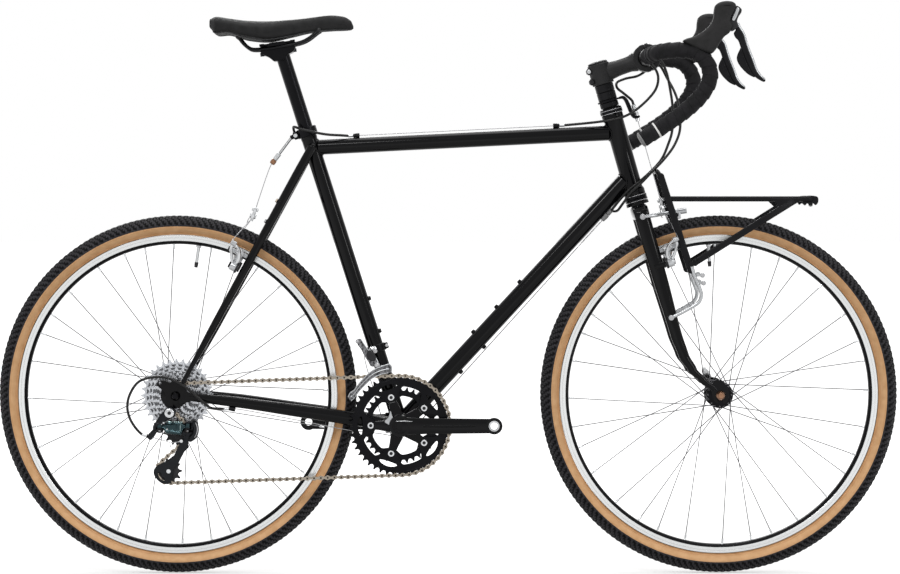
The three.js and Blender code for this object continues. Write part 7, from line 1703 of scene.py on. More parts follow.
KNUCKLE_LINE = [
    (8.6, 10), (11, 14.5), (17, 11), (20, 3), (20.4, -8), (17, -18), (11, -24), (4, -27), (0, -24), (4, -16),
    (8.6, -10),
]


CAGE_CAP = [
    (0, 69), (15.6, 69), (16.8, 70.2), (16.6, 73.6), (14, 75.8), (9.4, 77.4), (4.4, 77.8), (4.2, 76.4),
    (0, 76.4),
]


def rear_derailleur_knuckle():
    s = Shape()
    x, z = CAGE_PIVOT
    lathe(s, CAGE_CAP, (x, 0, z), -SIDE, 56)
    link_eyes(s, KNUCKLE_PIVOT, FORWARD)
    x, z = KNUCKLE_PIVOT.x, KNUCKLE_PIVOT.z
    pillow(s, smooth_outline(shifted(KNUCKLE_LINE, x, z), 1.8), -83, 18, 0, 5, 6)
    ridge = shifted([(15, 9), (18, 1), (17, -10), (13, -18)], x, z)
    tube(s, spline([(u, -91, v) for u, v in ridge], 3), 0.9, 8, 1)
    dress("rear_derailleur_knuckle", s, "rear_derailleur_head", ["dark", "steel"], "satin_black")


OUTER_PLATE = [
    (-498.3, 254.1), (-484.5, 248.5), (-483.0, 240.7), (-490.1, 233.6), (-495.3, 224.3), (-500.1, 215.0),
    (-503.8, 207.6), (-510.5, 202.0), (-512.8, 193.4), (-514.3, 183.0), (-518.4, 173.0), (-532.2, 172.6),
    (-543.0, 180.5), (-548.9, 191.7), (-547.1, 201.0), (-537.7, 208.4), (-522.6, 214.5), (-512.5, 222.8),
    (-507.2, 233.5), (-503.4, 244.8),
]
PLATE_SLOT = [
    (-541.1, 191.3), (-537.7, 194.2), (-534.8, 190.9), (-534.4, 186.0), (-528.8, 182.3), (-528.4, 178.6),
    (-532.9, 178.2), (-538.5, 182.3),
]


def rear_derailleur_cage():
    s = Shape()
    (px, pz), (gx, gz), (tx, tz) = CAGE_PIVOT, GUIDE, TENSION
    outer = OUTER_PLATE[1:-1] + [(px - 8, pz - 2), (px - 4, pz + 8), (px + 6, pz + 8), (px + 9, pz)]
    inner = shifted([(7, 2), (2, 8), (-6, 6), (-9, -3), (-5, -14), (-0.5, -28), (-3, -40)], gx, gz)
    inner += shifted([(-2, 20), (-8, 10), (-8, -2), (-2, -8), (6, -6), (9, 4)], tx, tz)
    inner += [(gx + 9, gz - 30), (gx + 9, gz - 12)]
    plate(s, [smooth_outline(outer, 2.2), rounded(PLATE_SLOT, 3)], (0, -67.5, 0), 1.8, 0, 0.4)
    plate(s, [smooth_outline(inner, 2.2)], (0, -56.5, 0), 1.8, 0, 0.4)
    for x, z in (GUIDE, TENSION):
        rod(s, (x, -69, z), (x, -55.2, z), 2.5, look=1)
        bolt(s, (x, -68.4, z), -SIDE, 4, 1.4, 1, 1.8)
    rod(s, (gx - 12, -68, gz - 26), (gx - 12, -56, gz - 26), 1.6, look=1)
    dress("rear_derailleur_cage", s, "rear_derailleur_frame", ["dark", "silver"], "satin_black")


# Front derailleur


CAGE_PLANES = (-52.4, -41.8)
CAGE_TOP = [
    (-186.8, 332.7), (-183.1, 341.0), (-176.7, 344.7), (-169.3, 354.9), (-156.9, 368.9), (-141.3, 382.7),
    (-122.6, 390.8), (-109.1, 393.8), (-105.8, 387.5), (-106.5, 378.9),
]
CAGE_LOW = [
    (-112.1, 378.1), (-128.2, 374.4), (-143.9, 366.3), (-156.6, 354.6), (-167.8, 342.4), (-176.4, 330.4),
    (-181.6, 326),
]
CAGE_ARM = [
    (-172.2, 439.3), (-164.0, 441.2), (-159.5, 433.7), (-150.9, 421.7), (-142.3, 413.8), (-135.2, 404.4),
    (-131.1, 396.6), (-134.8, 390.6), (-144.5, 389.5), (-149.8, 398.1), (-157.2, 409.4), (-163.2, 421.3),
    (-168.8, 428.8),
]
CAGE_SPRING = [
    (-149.0, 419.8), (-140.4, 414.6), (-135.2, 405.9), (-138.5, 399.2), (-147.9, 401.1), (-153.5, 410.1)
]


def front_derailleur_clamp():
    s = Shape()
    hollow_rod(s, on_seat(142), on_seat(156), 18.2, 15, 56, 2, 0.8)
    middle = on_seat(149, -6, -19)
    block(s, middle, SEAT_FORWARD, 13, SEAT_UP, 13, SIDE, 12, 0, 2)
    bolt(s, middle + Vector((4, -5.8, -2)), -SIDE, 4.1, 2.6, 1, 2.2)
    block(s, on_seat(149, 19.5), SEAT_FORWARD, 8, SEAT_UP, 11.5, SIDE, 9, 2, 1.6)
    bolt(s, on_seat(149, 20.5, -4.2), -SIDE, 3.2, 2.4, 1, 1.6)
    dress("front_derailleur_clamp", s, "frame", ["silver", "steel", "black_alloy"], "silver_alloy")


def front_derailleur_cage():
    """Two chromed plates joined over the chain, with pale lines painted as highlights along both edges, a
    crease and the arm, and the links that carry them.
    """
    s = Shape()
    for y in CAGE_PLANES:
        plate(s, [smooth_outline(CAGE_TOP + CAGE_LOW, 2)], (0, y, 0), 1.2, 0, 0.3)
    # Pale tubes along the edges and down the crease are painted highlights
    for edge, radius in ((CAGE_TOP, 1.1), (CAGE_LOW, 0.9)):
        tube(s, spline([(x, CAGE_PLANES[0] - 0.6, z) for x, z in edge], 3), radius, 10, 2)
    pairs = zip(CAGE_TOP[1:8], CAGE_LOW[::-1])
    crease = [((a[0] + b[0]) / 2, CAGE_PLANES[0] - 0.7, (a[1] + b[1]) / 2) for a, b in pairs]
    tube(s, spline(crease, 3), 0.7, 8, 2)
    for first in (1, 5, 8):
        (xa, za), (xb, zb) = CAGE_TOP[first], CAGE_TOP[first + 1]
        bridge = [(xa, za), (xb, zb), (xb + 0.8, zb - 1.4), (xa + 0.8, za - 1.4)]
        plate(s, [bridge], (0, sum(CAGE_PLANES) / 2, 0), 11.6, 0, 0.1)
    # The link from the clamp down to the cage, and the cable arm that stands up behind the seat tube
    pillow(s, smooth_outline(CAGE_ARM, 2), -37, 6.4, 0, 3, 2)
    tube(s, spline([(x, -40.4, z) for x, z in CAGE_ARM[1:7]], 3), 0.9, 8, 2)
    pillow(s, smooth_outline(CAGE_SPRING, 2), -38, 9, 3, 3, 2)
    for (x, z), radius in ((CAGE_ARM[0], 3.4), ((CAGE_ARM[6][0] - 4, CAGE_ARM[6][1] - 2), 5)):
        rod(s, (x + 2, -41.6, z - 3), (x + 2, -33.6, z - 3), radius, look=1)
        bolt(s, (x + 2, -41.4, z - 3), -SIDE, radius * 0.7, 1.8, 1, radius * 0.35)
    rod(s, (-125, -43, 388), (-125, -34.8, 388), 3.6, look=1)
    dress(
        "front_derailleur_cage", s, "front_derailleur", ["chrome", "steel", "cast", "shade"], "silver_alloy"
    )


# Wheels

TYRE_WALL = [(299.1, 9.2), (300.2, 11.4), (301.6, 10.4), (303, 12), (307, 17.4), (311.5, 20.4), (314.2, 21.6)]
TYRE_SHOULDER = [
    (314.9, 22), (319, 21.9), (323.6, 20.2), (327.4, 17.5), (330.6, 13.6), (333, 9.2), (334.8, 4.6)
]
TYRE_CROWN, WALL_LINES = 335.5, ((303.6, 12.6, 13.6, 13.1), (312.9, 20.9, 21.7, 21.3))
TREAD_SEGMENTS, TREAD_BLOCK, TREAD_SLANT = 1080, 6, 0.6
RIM_TRACK = [
    (298.2, 10.4), (298.5, 11.2), (298.2, 12), (294.2, 12), (293.9, 11.7), (293.3, 11.7), (293, 12),
    (288.4, 12), (287.8, 11.6),
]
RIM_BOX = [(285.8, 9.4), (283.2, 7.4), (281.9, 4.6), (281.5, 0)]
RIM_WELL = [(296, -10.4), (292, -10), (291, -8), (291, 8), (292, 10), (296, 10.4)]
SPOKES_PER_SIDE, SPOKE_CROSSING, SPOKE_RADIUS = 16, radians(66), 1
SPOKE_CIRCLE, NIPPLE_SEAT, EYELET_SEAT, FLANGE_RADIUS = 22, 283.5, 281.9, 25
NIPPLE = [(0, 0), (1.5, 0), (1.95, 0.6), (1.95, 9), (2.4, 10), (2.4, 13), (0, 13)]
EYELET = [(2.4, -1.2), (3.6, -0.6), (3.6, 0.4), (2.4, 0.7), (2.4, -1.2)]
VALVE_ANGLES = {"rear": radians(82), "front": radians(94)}


def tyre(tag, centre):
    """Tan walls, and a black tread cut by slanted grooves, with darker colour painted over the grooves as
    shade.
    """
    s = Shape()
    half = TYRE_WALL + TYRE_SHOULDER
    profile = half + [(TYRE_CROWN, 0)] + [(r, -h) for r, h in half[::-1]]
    count = len(profile)
    first, last = len(TYRE_WALL), count - len(TYRE_WALL) - 1
    points, faces, marks = [], [], []
    for i, angle in enumerate(turns(TREAD_SEGMENTS)):
        for j, (r, h) in enumerate(profile):
            if first < j < last:
                # Slanted side blocks, and a chevron with two rain grooves in the middle
                in_groove = (i + abs(h) * TREAD_SLANT) / TREAD_BLOCK % 1 < 0.45
                deep = 1.5 if abs(h) > 6 else 0.7
                r -= 0.55 if abs(abs(h) - 4.6) < 0.1 else deep if in_groove else 0
            points.append(centre + outward(angle) * r + SIDE * h)
        n = (i + 1) % TREAD_SEGMENTS
        for j in range(count):
            k = (j + 1) % count
            faces.append((i * count + j, n * count + j, n * count + k, i * count + k))
            middle = abs(profile[j][1] + profile[k][1]) / 2
            # A band a little wider than each groove takes a darker look as painted shade
            shaded_band = first < j < last - 1 and (i + 0.5 + middle * TREAD_SLANT) / TREAD_BLOCK % 1 < 0.62
            marks.append(1 if j < first or j >= last else 2 if shaded_band else 0)
    s.add(points, faces, marks)
    for side in (RIGHT, LEFT):
        for radius, low, middle, high in WALL_LINES:
            line = [(radius - 0.5, low), (radius, middle), (radius + 0.5, high), (radius, 12)]
            lathe(s, [(r, side * h) for r, h in line], centre, SIDE, 240, 1)
    dress(tag + "_tyre", s, tag + "_wheel", ["tread", "wall", "groove"], "tyre_rubber", angle=35)


def spoke(s, centre, flange, angle, direction):
    """One spoke with its head and nipple, from the flange to the rim. The holes of the rim lie evenly."""
    out = outward(angle + direction * SPOKE_CROSSING)
    start = centre + outward(angle) * SPOKE_CIRCLE + SIDE * (flange + direction * 2.1)
    stop = centre + out * NIPPLE_SEAT + SIDE * (1.6 if flange > 0 else -1.6)
    heading = (stop - start).normalized()
    inward = -SIDE * direction
    elbow = start + inward * 3.4
    line = [elbow, start + inward * 1.1] + [
        start + heading * d for d in (1.4, 14, 34)
    ] + [stop - heading * 34, stop]
    tube(s, line, [SPOKE_RADIUS * grow for grow in (1, 1, 1, 1, 0.82, 0.82, 0.95)], 10)
    ball(s, elbow, 1.9, 0, 6, 12, 0.6, SIDE)
    lathe(s, NIPPLE, stop - heading * 11.5, heading, 12, 1)


def rim(tag, centre, flanges):
    """Machined brake tracks with a wear groove, a black box section, eyelets and the valve."""
    s = Shape()
    half = RIM_TRACK + RIM_BOX
    profile = half + [(r, -h) for r, h in half[-2::-1]] + RIM_WELL + half[:1]
    tones = [0] * len(RIM_TRACK) + [1] * (2 * len(RIM_BOX) - 1) + [0] * len(RIM_TRACK) + [1] * 7
    lathe(s, profile, centre, SIDE, 288, tones[: len(profile) - 1])
    for flange, angle, direction in spoke_places(flanges):
        out = outward(angle + direction * SPOKE_CROSSING)
        lathe(s, EYELET, centre + out * EYELET_SEAT + SIDE * (1.6 if flange > 0 else -1.6), -out, 18, 2)
    out = outward(VALVE_ANGLES[tag])
    rod(s, centre + out * 283, centre + out * 243, 3, look=2)
    hollow_rod(s, centre + out * 281.4, centre + out * 277.6, 5.4, 3, 6, 2)
    rod(s, centre + out * 250, centre + out * 240, 3.9, 3.2, look=3)
    dress(tag + "_rim", s, tag + "_wheel", ["track", "rim", "silver", "plastic"], "black_alloy", angle=28)


def spoke_places(flanges):
    """The flange, the angle and the leaning side of each spoke of a wheel."""
    places = []
    for k, flange in enumerate(flanges):
        for i in range(SPOKES_PER_SIDE):
            places.append((flange, (i + k / 2) / SPOKES_PER_SIDE * 2 * pi, 1 if i % 2 == 0 else -1))
    return places


def hub(tag, centre, flanges, ends, shell):
    """A turned shell with two flanges, and the wheel's spokes."""
    s = Shape()
    for flange, angle, direction in spoke_places(flanges):
        spoke(s, centre, flange, angle, direction)
    edge, (low, high) = FLANGE_RADIUS - 1.4, flanges
    lip = [(edge, -1.6), (FLANGE_RADIUS, -0.6), (FLANGE_RADIUS, 0.6), (edge, 1.6)]
    line = [(5.6, ends[0]), (shell * 0.92, ends[0]), (shell, ends[0] + 0.8), (shell, low - 2.6)]
    line += [(r, low + h) for r, h in lip] + [(shell + 2.5, low + 3)]
    line += [(shell * 0.86, mix(low, high, share)) for share in (0.3, 0.7)] + [(shell + 2.5, high - 3)]
    line += [(r, high + h) for r, h in lip]
    line += [
        (shell, high + 2.6), (shell, ends[1] - 0.8), (shell * 0.92, ends[1]), (5.6, ends[1]), (5.6, ends[0])
    ]
    lathe(s, line, centre, SIDE, 64, 2)
    dress(tag + "_hub", s, tag + "_wheel", ["spoke", "silver", "black_alloy"], "silver_alloy", angle=35)


def wheel(tag, centre, flanges, ends, shell):
    tyre(tag, centre)
    rim(tag, centre, flanges)
    hub(tag, centre, flanges, ends, shell)


AXLE_NUT = [(4.4, 0), (8.4, 0), (9, 0.8), (8.6, 4), (7, 6), (6.2, 11), (4.6, 12.6), (0, 13)]
AXLE_CAP = [(4.4, 0), (8.4, 0), (9, 0.8), (9, 9), (8, 12.4), (4, 13), (0, 13)]


def axle(tag, centre, half, rides, locknut, nut_look):
    s = Shape()
    outer = half + 5.9
    rod(s, centre - SIDE * (outer + 8), centre + SIDE * (outer + 8), 4.5, sides=28)
    for side in (RIGHT, LEFT):
        hollow_rod(
            s, centre + SIDE * side * (half - locknut), centre + SIDE * side * half, 8.5, 4.6, 6, 0, 0.8
        )
    lathe(s, [(r, -(outer + h)) for r, h in AXLE_NUT], centre, SIDE, 40, 1)
    lathe(s, [(r, outer + h) for r, h in AXLE_CAP], centre, SIDE, 40, 2)
    dress(tag + "_axle", s, rides, ["steel", nut_look, "silver"], "steel")


def quick_release(tag, place, aim):
    s = Shape()
    place, aim = Vector(place), Vector(aim).normalized()
    across = Vector((-aim.z, 0, aim.x))
    rod(s, place - across * 6.9, place + across * 6.9, 5.4, sides=32, look=1)
    rings = []
    for i in range(25):
        share = i / 24
        inward = -4 * min(max((share - 0.3) / 0.45, 0), 1)
        half = mix(5.4, 7, min(share / 0.7, 1))
        if share >= 0.8:
            half = 7 * sqrt(max(1 - ((share - 0.8) / 0.205) ** 2, 0.04))
        rings.append(
            oval(place + aim * (52 * share) + SIDE * (inward + 0.4), across, half, SIDE, 1.9, 28, 0.7)
        )
    loft(s, rings)
    name = tag + "_quick_release"
    piece(name + "_looks", s, name, looks("silver", "steel"), [name + "_lever"], "silver_alloy")


# Brakes


ARM_HUB = [(4.9, 15.7), (8.4, 15.7), (9, 16.4), (9, 27.4), (8.3, 28.3), (4.9, 28.3), (4.9, 15.7)]
ARM_COLLAR = [(4.9, 13.2), (9.6, 13.2), (10, 13.8), (10, 16.6), (9.2, 17.2), (4.9, 17.2), (4.9, 13.2)]
PAD_Y, PAD_RISE, PAD_HALF = 20.5, 27, 26


def arm_loop(s, middle, out, up, across, tip):
    """The arm as an open loop: two curved bars that part above the pivot and meet at the tip."""
    apart = (out * 27 - up * 16).normalized()
    for bend in (7.5, -7.5):
        line = [
            middle + up * 2, middle + up * 11 + across * 7 + out * 2 + apart * bend * 0.75,
            middle + up * 24 + across * 15 + out * 8 + apart * bend,
            middle + up * 34 + across * 25 + out * 15 + apart * bend * 0.7, tip,
        ]
        path = spline(line, 2)
        rings = []
        for i, (heading, _, _) in enumerate(frames(path)):
            share = i / (len(path) - 1)
            flat = heading.cross(out).normalized()
            rings.append(oval(path[i], flat, mix(3.4, 2.2, share), out, mix(3.6, 2.6, share), 20, 0.75))
        loft(s, rings, 4)


def brake_pad(s, centre, across, radial, bend_radius):
    """The pad and its metal holder, bent along the rim."""
    along = Vector((-radial.z, 0, radial.x))
    rings = []
    for i in range(17):
        x = mix(-PAD_HALF, PAD_HALF, i / 16)
        drop = bend_radius - sqrt(bend_radius**2 - x * x)
        taper = 0.82 if i in (0, 16) else 1
        place = centre - across * 1.2 + along * x - radial * drop
        rings.append(oval(place, SIDE, 4.2 * taper, radial, 4.9 * taper, 20, 0.4))
    loft(s, rings, 1)
    for x in range(-18, 19, 6):
        block(s, centre - across * 5 + along * x, along, 1, SIDE, 1.2, radial, 8.6, 2, 0.2)
    rings = []
    for x, taper in ((-23, 0.7), (-21, 1), (0, 1), (21, 1), (23, 0.7)):
        place = centre + across * 3.4 + along * x - radial * (x * x / 2 / bend_radius)
        rings.append(oval(place, SIDE, 1.9, radial, 4.2 * taper, 20, 0.45))
    loft(s, rings)


def cantilever(name, body, side, foot, out, up, axle_centre):
    """A cantilever arm: a pivot on the boss, a looped arm out to the straddle wire and a pad on a post."""
    s = Shape()
    across = SIDE * side
    middle = foot + out * 22
    lathe(s, ARM_HUB, foot, out, 40)
    lathe(s, ARM_COLLAR, foot, out, 40, 2)
    bolt(s, foot + out * 28.2, out, 5.6, 3.6, 3, 2.6)
    tip = middle + up * 39 + across * 28 + out * 18
    arm_loop(s, middle, out, up, across, tip)
    # The wire anchor at the tip
    rod(s, tip - out * 4.2, tip + out * 4.6, 4.9, sides=32)
    bolt(s, tip + out * 4.4, out, 3.6, 2.4, 3, 1.9)
    # The pad, the post that the arm grips, its washers and the carrier of the post
    pad = middle + up * PAD_RISE
    pad.y = side * PAD_Y
    radial = pad - axle_centre
    radial.y = 0
    bend_radius = radial.length
    brake_pad(s, pad, across, radial.normalized(), bend_radius)
    post_end = Vector((pad.x, side * (abs(middle.y) + 7), pad.z))
    rod(s, pad + across * 4, post_end, 3.4, sides=28, look=3)
    for offset, radius, width in ((-7.5, 6.4, 2.2), (-10.5, 5.6, 2.4), (-1.5, 6.6, 1.6)):
        rod(s, post_end + across * offset, post_end + across * (offset + width), radius, sides=32, look=3)
    carrier = post_end - across * 4.6
    rings = []
    for share in (0, 0.3, 0.6, 0.85, 1):
        half, deep = 3.6 + 1.4 * sin(pi * share), mix(4.2, 6.2, share)
        rings.append(oval(mix(middle, carrier, share), across, half, out, deep, 24, 0.7))
    loft(s, rings)
    rod(s, carrier - out * 6.4, carrier + out * 7.6, 5.2, sides=32)
    bolt(s, carrier + out * 7.4, out, 4.1, 2.8, 3, 2.2)
    dress(name, s, body, ["cast", "pad", "plastic", "steel", "silver"], "silver_alloy")


SEATSTAY_ALONG = (REAR_AXLE - TOP_REAR).normalized()
SEATSTAY_BACK = Vector((SEATSTAY_ALONG.z, 0, -SEATSTAY_ALONG.x))
ARM_RISE, ARM_REACH = 39.6, 28.6


def front_foot(side):
    return on_steer(5.4, side * 42.02, BRAKE_BOSS)


def rear_foot(side):
    place = REAR_AXLE + Vector((BRAKE_BOSS_X, 0, BRAKE_BOSS_Z))
    share = (place - TOP_REAR).dot(SEATSTAY_ALONG) / (REAR_AXLE - TOP_REAR).length
    return seatstay(share, side) - SEATSTAY_BACK * 0.6


def arm_tip(side, foot, out, up):
    return foot + out * 28.5 + up * ARM_RISE + out * 18 + SIDE * side * ARM_REACH


def brakes():
    for side, word in ((RIGHT, "right"), (LEFT, "left")):
        front, rear = f"front_{word}", f"rear_{word}"
        cantilever(
            front + "_brake_arm", front + "_arm", side, front_foot(side), STEER_FORWARD, STEER_UP, FRONT_AXLE
        )
        cantilever(
            rear + "_brake_arm", rear + "_arm", side, rear_foot(side), SEATSTAY_BACK, -SEATSTAY_ALONG,
            REAR_AXLE
        )


# Front rack


def bar_between(s, a, b, width, thick):
    """A flat bar with softened ends."""
    a, b = Vector(a), Vector(b)
    along = (b - a).normalized()
    rings = []
    for place, grow in ((0, 0.8), (0.8, 1), ((b - a).length - 0.8, 1), ((b - a).length, 0.8)):
        half, deep = width / 2 * grow, thick / 2 * grow
        rings.append(oval(a + along * place, along.cross(SIDE), half, SIDE, deep, 24, 0.55))
    loft(s, rings)


RACK_END = [
    (660.7, 706.1), (687.8, 706.0), (688.9, 695.6), (684.1, 690.7), (679.2, 694.1), (674.0, 690.0),
    (668.4, 694.1), (663.5, 691.2), (659.8, 697.5),
]


RACK_REAR, RACK_FRONT, RACK_TOP, RAIL_DROP = 413, 681, 707, 4.6
RACK_Y, UPRIGHT_Y, FOOT_Y = 52, 56, 60
UPRIGHT_TOP, UPRIGHT_FOOT, STRUT_TOP, STRUT_FOOT = (395, 745), (451, 571), (644, 699), (458, 583)
LOWER_STRUT = [
    (0, 0), (0.08, -0.26), (0.2, -0.52), (0.25, -0.68), (0.2, -0.83), (-0.06, -0.99), (-0.49, -1.19)
]
RACK_WEB = [(600, 703), (660, 703), (648, 694), (628, 683), (618, 686)]
RACK_WAVE = [
    (-28, 0), (28, 0), (28, -8), (20, -10.5), (12, -8), (4, -11), (-4, -11), (-12, -8), (-20, -10.5),
    (-28, -8),
]


def rack_side(s, side):
    """One side rail with its upright, diagonal strut, lower strut and stay to the fork."""
    out = SIDE * side
    y, level = side * RACK_Y, RACK_TOP - RAIL_DROP
    line = [
        (RACK_REAR, y), (RACK_REAR + 60, y), (RACK_FRONT - 26, y), (RACK_FRONT - 6, y * 0.985),
        (RACK_FRONT - 4, y * 0.8),
    ]
    tube(s, spline([(x, across, level) for x, across in line], 4), 4.9, 20)

    def eye(x, z, radius, sides, head):
        rod(s, (x, side * UPRIGHT_Y - 3.8, z), (x, side * UPRIGHT_Y + 3.8, z), radius, sides=sides)
        if head:
            rise, size, height, socket = head
            bolt(s, (x, side * (UPRIGHT_Y + 3.8), z + rise), out, size, height, 0, socket)

    def between(a, b, width, thick):
        bar_between(s, (a[0], side * UPRIGHT_Y, a[1]), (b[0], side * UPRIGHT_Y, b[1]), width, thick)

    between(UPRIGHT_TOP, UPRIGHT_FOOT, 13, 7.6)
    eye(395, 744, 6.5, 32, None)
    eye(451.6, 570, 6.8, 32, (0, 4.8, 2.4, 2.4))
    bolt(s, (395, side * (UPRIGHT_Y + 3.8), 744), out, 3.8, 2.6, 0, 2)
    between(STRUT_TOP, STRUT_FOOT, 12.4, 6)
    eye(459, 583, 6, 28, (1.5, 4, 2.2, 2))
    # The silver foot of the strut and its two bolts
    for x, z in ((473, 560), (475, 545.5)):
        rod(s, (x - 12, side * FOOT_Y, z + 1), (x - 3, side * FOOT_Y, z), 2.4, look=2)
        rod(s, (x, side * 57.4, z), (x, side * 62.6, z), 4.6, sides=28, look=2)
        bolt(s, (x, side * 62.4, z), out, 3.2, 2.4, 1, 1.7)
    plate(s, [rounded(RACK_WEB, 3)], (0, side * UPRIGHT_Y, 0), 4, 0, 0.5)
    rod(s, (640, y, level), (640, side * UPRIGHT_Y, level - 1), 4.4, sides=28)
    path = [Vector((452 + 75.6 * x, side * FOOT_Y, 581 + 84 * z)) for x, z in LOWER_STRUT]
    tube(s, spline(path, 3), 3.5, 24, 2)
    rod(s, path[-1] - SIDE * 4, path[-1] + SIDE * 4, 5, sides=32, look=2)
    bolt(s, path[-1] + out * 3.8, out, 3.4, 2.8, 1, 1.8)
    rod(s, path[0] - SIDE * 4, path[0] + SIDE * 4, 5, sides=28)
    # The silver stay from the eyelet on the fork's crown to the rack's rear
    stay = [(362, side * 54, 669), (385, side * 47, 671.6), (404, side * 35, 675), (444, side * 30, 680.4)]
    tube(s, spline(stay, 3), 3.4, 20, 2)
    rod(s, (362, side * 50, 669), (362, side * 57.6, 669), 5.4, sides=28, look=2)
    bolt(s, (362, side * 57.4, 669), out, 3.6, 2.6, 1, 1.8)
    hollow_rod(s, (428, side * 29.6, 678.4), (445, side * 30, 680.6), 5, 3.2, 24, 2)
    block(s, (431, side * 30, 672), FORWARD, 6, UP, 12, SIDE, 8, 2, 1)
    bolt(s, (431, side * 34, 668), out, 3.4, 2, 1, 1.8)
    plate(s, [smooth_outline(RACK_END, 1.6)], (0, side * 50, 0), 3, 0, 0.5)


def rack():
    s = Shape()
    level = RACK_TOP - RAIL_DROP
    for side in (RIGHT, LEFT):
        rack_side(s, side)
    crossbars = [(424, 54, 672, 3.6)]
    crossbars += [
        (x, RACK_Y, level, 3.9) for x in (RACK_REAR + 8, RACK_REAR + 80, RACK_REAR + 166, RACK_FRONT - 5)
    ]
    for x, half, z, radius in crossbars:
        tube(s, [(x, -half, z), (x, 0, z + 0.01), (x, half, z)], radius, 20)
    bar_between(s, (RACK_REAR + 8, 0, level), (RACK_FRONT - 4, 0, level), 7.6, 7.6)
    hoop = [(393, -56, 747), (390, -48, 752), (390, 0, 753.5), (390, 48, 752), (393, 56, 747)]
    tube(s, spline(hoop, 4), 4.4, 20)
    # The plate at the front with a wavy lower edge and two holes
    holes = [circle(y, -4.6, 1.9, 16) for y in (-20, 20)]
    plate(s, [smooth_outline(RACK_WAVE, 2)] + holes, (RACK_FRONT - 1, 0, RACK_TOP - 8), 2.4, 0, 0.4, SIDE, UP)
    dress("front_rack", s, "steering", ["satin", "steel", "cast"], "satin_black")


# Cables that the bicycle holds all the way

REAR_BRAKE_FRONT = [
    (376.6, -57, 952.3), (384, -50, 946), (391, -42, 930), (387, -33, 907), (356, -29, 873),
    (330, -26.5, 857), (304, -25.5, 850), (280, -18, 846.5), (250, -5, 843.5),
]
REAR_BRAKE_REAR = [(-200, -6, 821.5), (-228, -21, 823), (-256, -25, 828), (-279, -22, 834), (-290, -12, 837)]
FRONT_BRAKE = [
    (376.6, 57, 952.3), (372, 49, 944), (356, 38, 934), (334, 29, 929), (317, 20, 921), (317, 10, 911),
    (327, 4, 902), (338, 1, 893),
]
REAR_SHIFT_FRONT = [
    (386.7, -57, 966), (397, -54, 957), (406, -49, 938), (413, -46, 907), (418, -44, 871), (417, -42, 828),
    (410, -38, 804), (397, -34, 775), (360, -27.5, 737), (341, -25.5, 722), (322, -21, 702),
    (309, -13, 685.5),
]
FRONT_SHIFT_FRONT = [
    (386.7, 57, 966), (401, 52, 953), (413, 42, 930), (425, 22, 905), (432, 2, 880), (434, -18, 850),
    (431, -33, 825), (420, -41, 800), (402, -42, 776), (378, -39, 751), (360, -34, 732), (341, -31.5, 714),
    (325, -25, 692), (316, -9, 680),
]
REAR_SHIFT_WIRE = [
    (-72.6, -8, 262.8), (-84, -8.5, 255.6), (-98, -10, 256.2), (-125, -18, 262), (-180, -32, 269),
    (-290, -46, 291),
]
REAR_SHIFT_REAR = [
    (-427, -64, 312), (-442, -74, 314), (-457, -80.5, 326), (-490, -82, 354), (-518, -82, 368.5),
    (-540, -83, 372), (-574, -84, 363.6), (-592, -85, 338), (-596, -85, 315), (-591, -85, 294),
    (-578, -85.5, 274),
]
FRONT_SHIFT_WIRE = [
    (-72.6, 8, 262.8), (-84, 7.5, 255.6), (-98, 6, 256.2), (-113, 1, 266), (-125, -8, 292), (-137, -20, 336),
    (-152, -31.5, 384), (-158, -32.7, 409),
]


def housing(s, points, ends=(1, 1)):
    """A housing along the points, with a ferrule at each end that asks for one."""
    line = spline(points, 3)
    tube(s, line, 2.45, 18)
    for end, near, wanted in ((line[0], line[2], ends[0]), (line[-1], line[-3], ends[1])):
        if wanted:
            hollow_rod(s, end, end + (near - end).normalized() * 9, 2.85, 2.3, 24, 1)


def wire(s, points):
    tube(s, spline(points, 6), 0.75, 10, 2)


YOKE_LINE = [(-8, -8), (-5, 5), (-4, 17), (4, 17), (5, 5), (8, -8), (3, -10), (-3, -10)]


def straddle(s, yoke, up, tips):
    """The yoke with its two bolts, the straddle wire and the loose end of the inner wire."""
    out = up.cross(SIDE)
    plate(s, [smooth_outline(YOKE_LINE, 1.5)], yoke, 6, 1, 0.8, SIDE, up)
    for place, radius in ((0, 4.6), (13, 3.8)):
        bolt(s, yoke + up * place + out * 2.8, out, radius, 3.4, 1, 2)
        bolt(s, yoke + up * place - out * 2.8, -out, radius - 0.5, 3, 1, 1.7)
    tube(s, [yoke - SIDE * 10 - up * 7, yoke - up * 8.4, yoke + SIDE * 10 - up * 7], 2.2, 12, 1)
    tube(s, [yoke + up * 4 + out * 4, yoke - up * 12 + out * 7, yoke - up * 20 + out * 6], 0.7, 8, 2)
    for tip in tips:
        hand = 1 if tip.y > 0 else -1
        wire(s, [yoke + SIDE * hand * 4 - up * 2, mix(yoke, tip, 0.5) - up * 0.6, tip])


def bend_with_steering(cable):
    """Bakes the cable's placement into its mesh."""
    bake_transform(cable)


